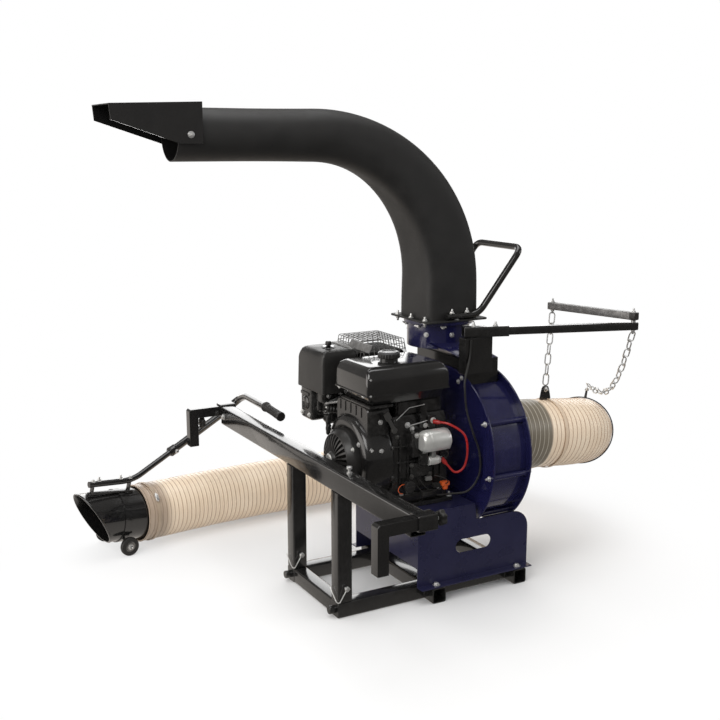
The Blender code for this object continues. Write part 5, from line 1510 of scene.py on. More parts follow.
@dataclass
class Hose(Assembly):
    """The wire-wound hose with its collar, hoop and clamps."""

    pitch: float = 0.0178
    depth: float = 0.003
    wall: float = 0.0055
    columns: int = 56
    rows_per_turn: int = 8
    helix_width: float = 0.12
    film_height: float = 0.42
    wave: float = 0.0007
    collar_place: Point = (0.59594, 0.00112, 0.43025)
    collar_along: Point = (0.99398, 0.03124, -0.10499)
    collar_radius: float = 0.12241
    ear_height: float = 0.05
    ear_sheet: float = 0.006
    hoop_place: Point = (0.83444, 0.08354, 0.38859)
    hoop_up: Point = (0.26831, 0.09179, 0.95895)
    hoop_along: Point = (0.61713, 0.74799, -0.24427)
    hoop_radius: float = 0.12131
    hoop_wire: float = 0.0023

    def build(self) -> None:
        """Build the hose and its fittings."""
        self.build_hose()
        self.build_collar()
        self.build_hoop()
        self.build_clamp(
            "inlet_clamp", (0.38474, 0.0, 0.44682), (0.99994, 0.0, 0.01092), 0.1225,
            (-0.01092, 0.0, 0.99994), Look.BAND_GREY,
        )
        self.build_clamp(
            "nozzle_clamp", (-0.65131, 0.75893, 0.11317), (-0.9733, -0.22487, 0.04607), 0.106,
            (-0.11672, 0.65768, 0.7442), Look.BAND_TAN,
        )

    def build_hose(self) -> None:
        """Build the helix-wound wall.

        At length s and turn a the phase is s / pitch + a / full turn. The helix is a narrow bump
        exp(-(d / width)^2) of the distance d to the nearest whole phase, and the film between two
        turns bulges as a flat curve of the fourth power. The radius is the ridge radius less the
        depth, plus the depth times the higher of the two. Slow waves of less than a millimetre
        make the film uneven.
        """
        line = smooth_line(HOSE_ROUTE, 24)
        rows = int(length_of(line) / self.pitch * self.rows_per_turn)
        line = even_line(line, rows)
        path, radius = line[:, :3], line[:, 3]
        s = np.linspace(0, length_of(line), rows)[:, None]
        turn = np.arange(self.columns)[None] / self.columns
        phase = s / self.pitch + turn
        far = np.abs(phase - np.round(phase))
        helix = np.exp(-((far / self.helix_width) ** 2))
        film = self.film_height * (1 - (1 - 2 * far) ** 4)
        ends = np.clip(np.minimum(s, s[-1] - s) / 0.012, 0, 1)
        a = turn * TAU
        waves = self.wave * np.sin(5 * a + s * 23) * np.sin(s * 61 + 1.3 * np.cos(a))
        shape = self.depth * (np.maximum(helix, film) - 1) * (0.35 + 0.65 * ends)
        outer_radius = radius[:, None] + shape - np.abs(waves) * ends
        first, second, _ = cross_axes(path, UP)
        spokes = np.cos(a)[..., None] * first[:, None] + np.sin(a)[..., None] * second[:, None]
        outer = path[:, None] + outer_radius[..., None] * spokes
        picks = np.unique(np.append(np.arange(0, rows, self.rows_per_turn), rows - 1))[::-1]
        inner = path[picks, None] + (radius[picks, None, None] - self.wall) * spokes[picks]
        lengths = np.repeat(np.concatenate([s, s[picks]]), self.columns, 1)
        ribs = np.concatenate([helix, np.zeros((len(picks), self.columns))])
        shell = Shell().sweep(np.concatenate([outer, inner]), closed=True, rib=ribs, length=lengths)
        self.add("hose_wall", shell, Look.HOSE_FILM, replaces=["hose"], sharp=80)

    def band(
        self, place: Sequence, along: Sequence, radius: float, width: float, thick: float
    ) -> Shell:
        """Build a flat band with rounded rims round the hose."""
        r = radius + 2 * GAP
        rim = rounded([(0, r), (0, r + thick), (width, r + thick), (width, r)], thick * 0.45, 3)
        start = np.asarray(place) - np.asarray(along) * width / 2
        return Shell().hollow(start, along, rim, 96)

    def build_collar(self) -> None:
        """Build the hanger band and its ear with a shackle bolt."""
        place = np.asarray(self.collar_place)
        band = self.band(place, self.collar_along, self.collar_radius, 0.012, 0.0026)
        self.add("collar_band", band, Look.BAND_FILM, replaces=["hose_collar"])
        x, y, low = place + (0, 0, self.collar_radius - 0.001)
        tip = low + 0.001 + self.ear_height
        half = self.ear_sheet / 2
        corners = [(x - 0.025, low), (x + 0.025, low), (x + 0.0165, tip - 0.013), (x + 0.011, tip)]
        corners += [(x - 0.011, tip), (x - 0.0165, tip - 0.013)]
        ear = Shell().plate(corners, 0.007, 1, y - half, y + half, 0.001)
        self.add("collar_ear", ear, Look.FRAME_PAINT)
        hole = np.array([x, y, tip - 0.012])
        bolts = STUD.heads(Shell(), hole + (0, half, 0), FAR)
        STUD.heads(bolts, hole - (0, half, 0), NEAR)
        self.add("collar_bolt", bolts, Look.ZINC)

    def build_hoop(self) -> None:
        """Build the wire hoop, its stem and the wing nut."""
        place, u, t = (np.asarray(v) for v in (self.hoop_place, self.hoop_up, self.hoop_along))
        ring = self.hoop_radius + self.hoop_wire + 2 * GAP
        turn = np.arange(96)[:, None] * TAU / 96
        out = np.cos(turn) * u + np.sin(turn) * np.cross(t, u)
        wire = circle(self.hoop_wire, 12)
        rings = place + out[:, None] * (ring + wire[None, :, 0:1]) + t * wire[None, :, 1:2]
        shell = Shell().sweep(rings[:, ::-1], closed=True)
        stem = [(0, 0.0058), (0.006, 0.0046), (0.022, 0.0042), (0.03, 0.0036)]
        shell.turned(place + u * (self.hoop_radius + 0.004), u, stem, 20)
        self.add("hoop_wire", shell, Look.BLACK_PLASTIC, replaces=["hose_hoop"])
        hub = place + u * (self.hoop_radius + 0.03)
        foot = [(0, 0.0075), (0.002, 0.0082), (0.01, 0.006), (0.0115, 0.0045)]
        nut = Shell().turned(hub, u, foot, 20)
        share = np.linspace(0, 1, 10)[:, None]
        wide = 0.0068 * np.sqrt(np.clip(1 - (2 * share - 1.0) ** 4, 0.15, 1))
        section = rectangle(1.0, 0.3, 0.1)[None] * wide[:, None] * 1.5
        for side in (-1, 1):
            path = hub + u * 0.006 + side * t * (0.004 + 0.021 * share) + u * 0.007 * share**2
            nut.sweep(carry(path, section, u))
        self.add("hoop_wing_nut", nut, Look.ZINC, Body.HOOP_KNOB, ["hoop_knob"])

    def build_clamp(
        self, node: str, place: Sequence, along: Sequence, radius: float, up: Sequence, look: Look
    ) -> None:
        """Build a worm clamp: slotted band, raised housing and screw.

        Args:
            node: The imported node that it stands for.
            place: The band's middle.
            along: The hose's direction there.
            radius: The hose's radius there.
            up: A direction across the hose.
            look: The band's finish.
        """
        place, t, u = (np.asarray(v, float) for v in (place, along, up))
        out = u * 0.55 - np.array([0, 0.84, 0])
        out = unit(out - t * (out @ t))
        run = np.cross(t, out)
        middle = place + out * (radius + 0.0052)
        box = rectangle(0.0085, 0.0125, 0.003)
        worm = Shell().bar(middle - run * 0.013, middle + run * 0.011, box, out, 0.001)
        axis = middle + out * 0.001
        worm.turned(axis + run * 0.009, run, peg(0.004, 0.007, 0.0075, 0.0034), 6)
        worm.turned(axis - run * 0.016, run, [(0, 0.0028), (0.005, 0.003)], 12)
        self.add(f"{node}_worm", worm, Look.ZINC)
        side = np.cross(t, u)
        turn = math.atan2(float(out @ side), float(out @ u)) + np.radians(np.linspace(14, 70, 12))
        shell = self.band(place, t, radius, 0.013, 0.0016)
        slot = rectangle(0.0012, 0.0022, 0.0004)
        for spot in np.cos(turn)[:, None] * u + np.sin(turn)[:, None] * side:
            low = place + spot * (radius + 0.002)
            shell.bar(low - t * 0.004, low + t * 0.004, slot, spot, 0.0003)
        self.add(f"{node}_band", shell, look, replaces=[node])


NOZZLE_BACK = np.array([-0.625, 0.7635, 0.1105])
NOZZLE_FRONT = np.array([-0.862, 0.7136, 0.136])
NOZZLE_AXIS = unit(NOZZLE_BACK - NOZZLE_FRONT)
NOZZLE_RADIUS = 0.093


@dataclass
class Nozzle(Assembly):
    """The slant-mouthed nozzle on its two wheels."""

    sheet: float = 0.003
    slant: float = 0.62
    slant_end: float = 0.7
    wheel_radius: float = 0.034
    wheel_width: float = 0.02
    wheel_reach: float = 0.083

    def build(self) -> None:
        """Build tube, bracket and wheels."""
        self.build_tube()
        self.dress("axle_bracket", Look.FRAME_PAINT, 0.0008)
        self.build_wheels()

    def build_tube(self) -> None:
        """Build the sheet tube: rings lean by the slant at the mouth and stand upright behind.

        A ring at share s is moved along the axis by -slant (1 - s / slant_end) times its height.
        """
        across = unit(np.cross(NOZZLE_AXIS, UP))
        up = np.cross(across, NOZZLE_AXIS)
        r = NOZZLE_RADIUS
        bore = r - self.sheet
        stations = [(0.0, r), (0.012, r + 0.0018), (0.024, r + 0.0018), (0.034, r), (0.35, r)]
        stations += [(0.7, r), (0.74, r + 0.0012), (1.0, r + 0.0012)]
        stations += [(1.0, bore), (0.35, bore), (0.0, bore)]
        s, radius = np.array(stations).T[..., None]
        middle = NOZZLE_FRONT + (NOZZLE_BACK - NOZZLE_FRONT) * s
        lean = self.slant * np.clip(1 - s / self.slant_end, 0, 1)
        turn = np.arange(96) * TAU / 96
        height, width = (radius * np.cos(turn))[..., None], (radius * np.sin(turn))[..., None]
        rings = middle[:, None] + height * up + width * across - lean[..., None] * height * NOZZLE_AXIS
        shell = Shell().sweep(rings, closed=True)
        self.add("nozzle_tube", shell, Look.FRAME_PAINT, replaces=["nozzle"])

    def build_wheels(self) -> None:
        """Build tyres with a rounded tread, hubs and axle nuts."""
        under = NOZZLE_FRONT * 0.6 + NOZZLE_BACK * 0.4
        level = unit(np.cross(UP, NOZZLE_AXIS))
        near = level if level[1] < 0 else -level
        w, r = self.wheel_width, self.wheel_radius
        hub = np.array([under[0], under[1], r + 0.0002])
        bead, low, high = 0.019, 0.0005, w - 0.0005
        side = r - 0.002
        corners = [(low, bead), (low, side), (0.005, r), (w - 0.005, r), (high, side), (high, bead)]
        tread = rounded(corners, 0.004, 4)
        disc = [(0.003, 0.006), (0.003, 0.0186), (w - 0.003, 0.0188), (w - 0.004, 0.015)]
        disc += [(w - 0.001, 0.014), (w - 0.0004, 0.0125), (w - 0.0012, 0.006)]
        for name, way in (("near_wheel", near), ("far_wheel", -near)):
            start = hub + way * self.wheel_reach
            tyre = Shell().hollow(start, way, tread, 64)
            self.add(f"{name}_tyre", tyre, Look.RUBBER, Body(name), [name])
            self.add(f"{name}_hub", Shell().hollow(start, way, disc, 48), Look.LINK_ZINC, Body(name))
            nut = STUD.heads(Shell(), start + way * (w - 0.0012), way)
            self.add(f"{name}_nut", nut, Look.ZINC, Body(name))


@dataclass
class Boom(Assembly):
    """The steering boom: a thin lower tube in a wider upper tube, with a ribbed grip."""

    start: Point = (-0.872, 0.685, 0.272)
    bend: Point = (-0.706, 0.715, 0.255)
    top: Point = (-0.286, 0.905, 0.404)
    low_radius: float = 0.011
    high_radius: float = 0.015
    foot_shares: Span = (0.09, 0.93)
    stud_shares: Span = (0.24, 0.73)
    rib_depth: float = 0.0007
    rib_pitch: float = 0.0058

    def build(self) -> None:
        """Build the boom."""
        bend, top = np.asarray(self.bend), np.asarray(self.top)
        step = bend * 0.6 + top * 0.4
        t = unit(step - bend)
        self.build_lower(t, step)
        self.build_upper(t, step, top)
        self.build_grip()

    def build_lower(self, t: np.ndarray, step: np.ndarray) -> None:
        """Build the nozzle bar, its two feet, the rail under them and their bolts."""
        start, bend = np.asarray(self.start), np.asarray(self.bend)
        path = rounded([start, bend, step + t * 0.13], 0.045, 10)
        shell = Shell().rod(path, self.low_radius, 24)
        skin = self.low_radius - 0.0005
        bolts, ends = Shell(), []
        for share in self.foot_shares:
            head = start + (bend - start) * share
            middle = NOZZLE_FRONT + NOZZLE_AXIS * ((head - NOZZLE_FRONT) @ NOZZLE_AXIS)
            out = unit(head - middle)
            foot = middle + out * (NOZZLE_RADIUS + GAP)
            shell.bar(foot, head, rectangle(0.006, 0.02, 0.0015), NOZZLE_AXIS, 0.0008)
            pad = middle + out * (NOZZLE_RADIUS + 0.0016)
            along = NOZZLE_AXIS * 0.016
            shell.bar(pad - along, pad + along, rectangle(0.003, 0.026, 0.001), out, 0.0006)
            ends.append(middle + out * (NOZZLE_RADIUS + 0.0062))
            SMALL_BOLT.heads(bolts, head + out * skin, out)
        for share in self.stud_shares:
            STUD.heads(bolts, start + (bend - start) * share + (0, 0, skin), UP)
        rail = unit(ends[1] - ends[0])
        out = np.cross(NOZZLE_AXIS, np.cross(start - NOZZLE_FRONT, NOZZLE_AXIS))
        flat = rectangle(0.0065, 0.02, 0.002)
        shell.bar(ends[0] - rail * 0.012, ends[1] + rail * 0.016, flat, out)
        self.add("boom_lower_tube", shell, Look.FRAME_PAINT, replaces=["boom_lower"])
        self.add("boom_foot_bolts", bolts, Look.ZINC)

    def build_upper(self, t: np.ndarray, step: np.ndarray, top: np.ndarray) -> None:
        """Build the upper tube with its bends, its clamp collar and the clamp screw."""
        corners = [step, top + t * 0.012, (-0.206, 0.899, 0.462), (-0.214, 0.815, 0.492)]
        path = rounded(corners + [(-0.25, 0.548, 0.511)], 0.03, 8)
        shell = Shell().rod(path, self.high_radius, 28)
        rim = self.high_radius + 0.004
        collar = rounded([(0, rim - 0.003), (0, rim), (0.026, rim), (0.026, rim - 0.003)], 0.0015, 3)
        shell.turned(step + t * 0.004, t, collar, 40)
        shell.rod([(-0.25, 0.56, 0.511), (-0.252, 0.425, 0.504)], 0.0105, 20)
        out = unit(np.cross(t, UP))
        stub = step + t * 0.017 + out * 0.012
        shell.turned(stub, out, [(0, 0.006), (0.008, 0.006), (0.009, 0.0045), (0.0175, 0.0045)], 20)
        self.add("boom_upper_tube", shell, Look.FRAME_PAINT, Body.BOOM_UPPER, ["boom_upper"])
        nut = SMALL_BOLT.heads(Shell(), stub + out * 0.0105, out)
        self.add("boom_screw", nut, Look.ZINC, Body.BOOM_UPPER)

    def build_grip(self) -> None:
        """Build the rubber grip: a waisted sleeve with a flange, ringed by fine ribs."""
        a, b = np.array([-0.25, 0.545, 0.51]), np.array([-0.2523, 0.404, 0.5027])
        along = unit(b - a)
        s = np.linspace(0.0, 0.138, 120)
        stations = [0.0, 0.0055, 0.0085, 0.07, 0.126, 0.134, 0.138]
        radii = [0.0183, 0.0185, 0.0155, 0.015, 0.016, 0.0172, 0.015]
        radius = np.interp(s, stations, radii)
        ribs = (s > 0.014) & (s < 0.122)
        radius = radius - self.rib_depth * ribs * (0.5 + 0.5 * np.cos(s * TAU / self.rib_pitch))
        shell = Shell().turned(a, along, np.stack([s, radius], axis=1), 40)
        self.add("grip_sleeve", shell, Look.RUBBER, Body.BOOM_UPPER, ["handle_grip"], sharp=60)


# Engine.
@dataclass
class EngineCore(Assembly):
    """Crankcase, head, fan shroud, recoil starter and oil filler."""

    deck: float = 0.3003
    crank_z: float = 0.458
    shroud_x: float = -0.1153
    recoil_x: float = -0.2091
    vanes: int = 26
    fins: int = 9
    fin_pitch: float = 0.0062
    fin_sheet: float = 0.0022
    filler: Point = (-0.062, -0.1285, 0.375)

    def build(self) -> None:
        """Build the engine's core."""
        self.build_block()
        self.build_head()
        self.build_shroud()
        self.build_recoil()
        self.build_handle()
        self.build_filler()

    def build_block(self) -> None:
        """Dress the crankcase and add its ribs, side plates, bosses and bolts."""
        self.dress("engine_block", Look.ENGINE_PAINT, 0.0025, 30)
        shell = Shell()
        for x in (-0.09, -0.06, 0.04, 0.064):
            shell.box((x - 0.002, -0.1345, 0.385), (x + 0.002, -0.1275, 0.545), 0.001)
        shell.boxes(
            ((-0.112, -0.1345, 0.452), (0.078, -0.1275, 0.457), 0.001),
            ((-0.112, -0.1345, 0.505), (0.01, -0.1275, 0.509), 0.001),
            ((-0.052, -0.136, 0.398), (0.026, -0.1275, 0.446), 0.002, 0.008),
            ((-0.1, -0.125, 0.318), (0.08, -0.116, 0.344), 0.002, 0.003),
            ((-0.085, -0.112, 0.604), (0.078, -0.1035, 0.646), 0.002, 0.006),
        )
        for x in (-0.094, -0.056, -0.018, 0.02, 0.058):
            shell.box((x - 0.002, 0.1285, 0.381), (x + 0.002, 0.1345, 0.484), 0.001)
        shell.boxes(
            ((-0.112, 0.1285, 0.427), (0.086, 0.1335, 0.431), 0.001),
            ((-0.1, 0.116, 0.318), (0.08, 0.124, 0.346), 0.002, 0.003),
        )
        shell.turned_each(
            ((0.039, 0.129, 0.404), FAR, peg(0.013, 0.006, 0.008, 0.01), 28),
            ((-0.006, -0.122, 0.52), NEAR, [(0, 0.03), (0.012, 0.029), (0.014, 0.026)], 40),
            ((0.06, -0.121, 0.35), NEAR, peg(0.012, 0.008, 0.01, 0.008), 24),
        )
        self.add("crankcase_ribs", shell, Look.ENGINE_PAINT)
        near = [(x, -0.136, z) for z in (0.403, 0.441) for x in (-0.048, 0.021)]
        near += [(0.066, -0.128, 0.36), (-0.098, -0.128, 0.54)]
        dark = SMALL_BOLT.heads(Shell(), near, NEAR)
        far = [(0.039, 0.1365, 0.404), (0.07, 0.1235, 0.332), (-0.09, 0.1235, 0.332)]
        SMALL_BOLT.heads(dark, far, FAR)
        self.add("crankcase_screws", dark, Look.DARK_CASTING)
        spots = places_round((0.109, 0, 0.446), 0.088, np.arange(0, 360, 45) + 18)
        bolts = SMALL_BOLT.heads(Shell(), spots, RIGHT)
        feet = [(x, y, self.deck + 0.014) for x in (-0.122, 0.1005) for y in (-0.13, 0.13)]
        STUD.heads(bolts, feet, UP)
        SMALL_BOLT.heads(bolts, [(0.06, -0.131, 0.35)], NEAR)
        self.add("crankcase_bolts", bolts, Look.ZINC)

    def build_head(self) -> None:
        """Build the finned head, its valve cover, and the plug with its lead."""
        shell = Shell().box((-0.084, 0.1305, 0.491), (0.084, 0.186, 0.654), 0.002, 0.004)
        corners = [(-0.1, 0.4825), (0.0975, 0.4825), (0.0975, 0.6635), (-0.1, 0.6635)]
        for k in range(self.fins):
            y = 0.1385 + self.fin_pitch * k
            shell.plate(corners, 0.01 + 0.004 * (k % 2), 1, y, y + self.fin_sheet, 0.0004, 3)
        self.add("head_fins", shell, Look.DARK_CASTING, replaces=["cylinder_head"])
        cover = Shell().box((-0.052, 0.1865, 0.515), (0.058, 0.2045, 0.632), 0.005, 0.014)
        cover.box((-0.03, 0.203, 0.54), (0.036, 0.2075, 0.606), 0.002, 0.01)
        self.add("valve_cover", cover, Look.ENGINE_PAINT)
        screws = [(x, 0.2045, z) for x in (-0.044, 0.05) for z in (0.523, 0.624)]
        self.add("valve_cover_bolts", SMALL_BOLT.heads(Shell(), screws, FAR), Look.ZINC)
        plug, way = np.array([0.03, 0.19, 0.64]), unit([0.25, 0.55, 0.45])
        boot = [(0.0, 0.0085), (0.004, 0.0125), (0.02, 0.012), (0.024, 0.009), (0.04, 0.0078)]
        lead = Shell().turned(plug, way, boot, 24)
        end = plug + way * 0.036
        line = [end, end + (0.012, 0.012, 0.006), (0.075, 0.222, 0.63), (0.1, 0.18, 0.6)]
        line += [(0.101, 0.134, 0.58), (0.094, 0.11, 0.56)]
        lead.rod(smooth_line(line, 8), 0.0036, 12)
        self.add("plug_lead", lead, Look.RUBBER)

    def build_shroud(self) -> None:
        """Build the fan shroud: a pressed drum, the duct over it, ribs, screws, the tank's tray."""
        x, z = self.shroud_x, self.crank_z
        corners = [(0, 0.138), (0.004, 0.143), (0.07, 0.143), (0.092, 0.134), (0.1, 0.12)]
        drum = rounded(corners + [(0.1, 0.0985), (0.0937, 0.098)], 0.008, 4)
        profile = np.vstack([drum, [[0.0937, 0.0006], [0.0, 0.0006]]])
        shell = Shell().hollow((x, 0, z), LEFT, profile, 96)
        duct = [(-0.112, z), (0.095, z), (0.095, 0.64), (-0.112, 0.64)]
        shell.plate(duct, 0.026, 0, x - 0.08, x, 0.004, 6)
        for y in (-0.07, -0.035, 0.0, 0.035, 0.068):
            shell.box((x - 0.0825, y - 0.002, 0.602), (x - 0.078, y + 0.002, 0.634), 0.001)
        base = places_round((x - GAP, 0, z), 0.1405, [-160, -125, -90, -55, -20, 20, 160])
        keep = (base[:, 2] > self.deck + 0.012) & (np.abs(base[:, 1]) < 0.136)
        shell.turned(base[keep], LEFT, peg(0.0085, 0.006, 0.0075, 0.007), 20)
        self.add("shroud_drum", shell, Look.ENGINE_PAINT, replaces=["fan_shroud"])
        spots = places_round((x - 0.1, 0, z), 0.1095, [35, 145, 205, 270, 335])
        bolts = SMALL_BOLT.heads(Shell(), spots, LEFT)
        side = [(-0.19, -0.1275, 0.507), (-0.16, -0.135, 0.503), (-0.15, -0.112, 0.59)]
        SMALL_BOLT.heads(bolts, side, NEAR)
        STUD.heads(bolts, [(self.recoil_x, -0.022, 0.365)], LEFT)
        self.add("shroud_bolts", bolts, Look.ZINC)
        tray = Shell().box((-0.205, -0.14, 0.642), (-0.118, 0.05, 0.6515), 0.003, 0.006)
        self.add("tank_tray", tray, Look.ENGINE_PAINT)

    def build_recoil(self) -> None:
        """Build the recoil cover: outer drum, radial vanes over a dark fan, hub and cup.

        The vanes lie on the cone between the drum's inner rim and the hub's rim.
        """
        x, z = self.recoil_x, self.crank_z
        middle = (x, 0, z)
        corners = [(0.0, 0.0965), (0.022, 0.0965), (0.04, 0.0845), (0.0445, 0.08)]
        rim = rounded(corners + [(0.0435, 0.077), (0.03, 0.076)], 0.006, 4)
        shell = Shell().hollow(middle, LEFT, np.vstack([rim, [[0.0, 0.076]]]), 96)
        hub = [(0.046, 0.0262), (0.0555, 0.0262), (0.058, 0.0235), (0.0655, 0.0205)]
        shell.turned(middle, LEFT, rounded(hub + [(0.066, 0.006)], 0.002, 3), 48)
        self.add_vanes(shell)
        self.add("recoil_grille", shell, Look.BLACK_PLASTIC, replaces=["recoil_cover"])
        fan = Shell().turned(middle, LEFT, [(0.002, 0.074), (0.022, 0.074), (0.024, 0.06)], 48)
        self.add("recoil_fan", fan, Look.RUBBER)
        cup = [(0.06, 0.018), (0.064, 0.0195), (0.067, 0.019), (0.069, 0.0165)]
        cup += [(0.069, 0.012), (0.0675, 0.0105), (0.067, 0.003)]
        metal = Shell().turned(middle, LEFT, cup, 32)
        SMALL_BOLT.heads(metal, places_round((x - 0.0225, 0, z), 0.0925, [30, 150, 270]), LEFT)
        self.add("recoil_cup", metal, Look.BRIGHT_CASTING)

    def add_vanes(self, shell: Shell) -> None:
        """Add the radial vanes of the recoil cover to a shell.

        Each row of the table is a section of a vane: its distance from the axis, its rise over
        the cover's foot, half its width and its depth.
        """
        reach, rise, half, deep = np.array([
            (0.0785, 0.042, 0.0034, 0.007),
            (0.066, 0.049, 0.0031, 0.008),
            (0.054, 0.0525, 0.0026, 0.0085),
            (0.0425, 0.0545, 0.0022, 0.0085),
            (0.025, 0.056, 0.0017, 0.008),
        ]).T
        turn = np.arange(self.vanes)[:, None] * TAU / self.vanes
        c, s = np.cos(turn), np.sin(turn)
        path = np.broadcast_arrays(self.recoil_x - rise[None], reach * c, self.crank_z + reach * s)
        path = np.stack(path, axis=-1)
        wide = np.stack([0 * c, -s, c], axis=-1) * half[:, None]
        low = path + np.array(RIGHT) * deep[:, None]
        rings = np.stack([path - wide, path + wide, low + wide, low - wide], axis=2)
        shell.sweep(rings[:, :, ::-1])

    def build_handle(self) -> None:
        """Build the pull handle: a waisted bar with finger ridges and a rope collar."""
        x = self.recoil_x - 0.0135
        s = np.linspace(0, 1, 30)
        wide = 0.0074 + 0.0006 * np.cos(s * 3 * TAU)
        wide = wide * np.sqrt(np.clip(1 - (2 * s - 1) ** 10, 0.25, 1))
        path = np.stack([np.full(30, x), np.full(30, 0.104), 0.508 + 0.065 * s], axis=1)
        section = rectangle(2.1, 1.85, 0.7, 4)[None] * wide[:, None, None]
        shell = Shell().sweep(carry(path, section, RIGHT))
        shell.turned((x, 0.0975, 0.5405), NEAR, peg(0.006, 0.003, 0.007, 0.0048), 20)
        self.add("pull_grip", shell, Look.RUBBER, Body.RECOIL_HANDLE, ["recoil_handle"])

    def build_filler(self) -> None:
        """Build the oil filler: threaded neck and a lobed cap with a grip bar."""
        shell = Shell().turned(self.filler, NEAR, peg(0.014, 0.012, 0.0145, 0.017), 32)
        cap = rounded([(0.0145, 0.016), (0.015, 0.019), (0.0255, 0.019), (0.0262, 0.016)], 0.0015, 3)
        shell.sweep(stand(spin(cap, 72, 12, 0.045), self.filler, NEAR))
        x, y, z = self.filler
        shell.box((x - 0.0135, y - 0.029, z - 0.0028), (x + 0.0135, y - 0.025, z + 0.0028), 0.001)
        self.add("filler_cap", shell, Look.BLACK_PLASTIC, Body.OIL_FILLER, ["oil_filler"])


# Each level's insets from the tank's four sides, its height over the seam and its corner radius.
TANK_LEVELS = (
    (0.034, 0.026, 0.03, 0.022, -0.0358, 0.012),
    (0.026, 0.018, 0.022, 0.014, -0.034, 0.013),
    (0.012, 0.01, 0.01, 0.008, -0.0055, 0.013),
    (-0.002, -0.002, -0.002, -0.002, -0.0042, 0.014),
    (-0.003, -0.003, -0.003, -0.003, -0.0034, 0.014),
    (-0.003, -0.003, -0.003, -0.003, -0.0008, 0.014),
    (-0.002, -0.002, -0.002, -0.002, -0.0001, 0.014),
    (0.0005, 0.0005, 0.0005, 0.0005, 0.0004, 0.013),
    (0.0, 0.0, 0.0, 0.0, 0.004, 0.013),
    (0.002, 0.002, 0.002, 0.002, 0.05, 0.013),
    (0.003, 0.004, 0.0032, 0.0032, 0.056, 0.013),
    (0.0075, 0.018, 0.011, 0.011, 0.0725, 0.013),
    (0.01, 0.022, 0.015, 0.015, 0.0765, 0.013),
    (0.02, 0.034, 0.026, 0.026, 0.083, 0.012),
    (0.026, 0.04, 0.032, 0.032, 0.084, 0.012),
)


@dataclass
class Tank(Assembly):
    """The fuel tank and its cap."""

    x: Span = (-0.218, 0.087)
    y: Span = (-0.15, 0.068)
    seam: float = 0.688
    cap: Point = (-0.084, -0.05, 0.7803)

    def build(self) -> None:
        """Build the tank as soft-cornered levels with a seam flange and a neck, and its bolts."""
        (x0, x1), (y0, y1), z = self.x, self.y, self.seam
        rows = [(x0 + a, x1 - b, y0 + c, y1 - d, z + e, r) for a, b, c, d, e, r in TANK_LEVELS]
        shell = Shell().levels(rows, 6)
        cx, cy, cz = self.cap
        neck = [(0.0, 0.033), (0.0055, 0.031), (0.006, 0.029), (0.0165, 0.029), (0.0168, 0.027)]
        shell.turned((cx, cy, cz - 0.017), UP, neck, 48)
        self.add("tank_shell", shell, Look.TANK_PAINT, replaces=["fuel_tank"], sharp=32)
        corners = [(x, y) for x in (x0 + 0.004, x1 - 0.004) for y in (y0 + 0.03, y1 - 0.03)]
        bolts = SMALL_BOLT.heads(Shell(), np.insert(corners, 2, z - 0.004, axis=1), DOWN)
        dome = [(0.0, 0.0036), (0.0012, 0.0034), (0.0022, 0.002)]
        spots = [(x0 + 0.012, y0 + 0.002, z + 0.05), (x0 + 0.01, y0 - 0.002, z)]
        bolts.turned(spots, NEAR, dome, 12)
        self.add("tank_bolts", bolts, Look.ZINC)
        self.build_cap()

    def build_cap(self) -> None:
        """Build the cap: fluted black skirt under a dished grey top."""
        skirt = rounded([(0.0, 0.0325), (0.0015, 0.0348), (0.0135, 0.0348), (0.015, 0.0335)], 0.001, 2)
        shell = Shell().sweep(stand(spin(skirt, 144, 24, 0.028), self.cap, UP))
        self.add("cap_skirt", shell, Look.BLACK_PLASTIC, Body.FUEL_CAP, ["fuel_cap"])
        dish = [(0.014, 0.0345), (0.0152, 0.0355), (0.0172, 0.035), (0.0205, 0.03)]
        dish += [(0.021, 0.024), (0.0188, 0.02), (0.0186, 0.002)]
        top = Shell().turned(self.cap, UP, rounded(dish, 0.002, 4), 72)
        self.add("cap_top", top, Look.CAP_GREY, Body.FUEL_CAP)


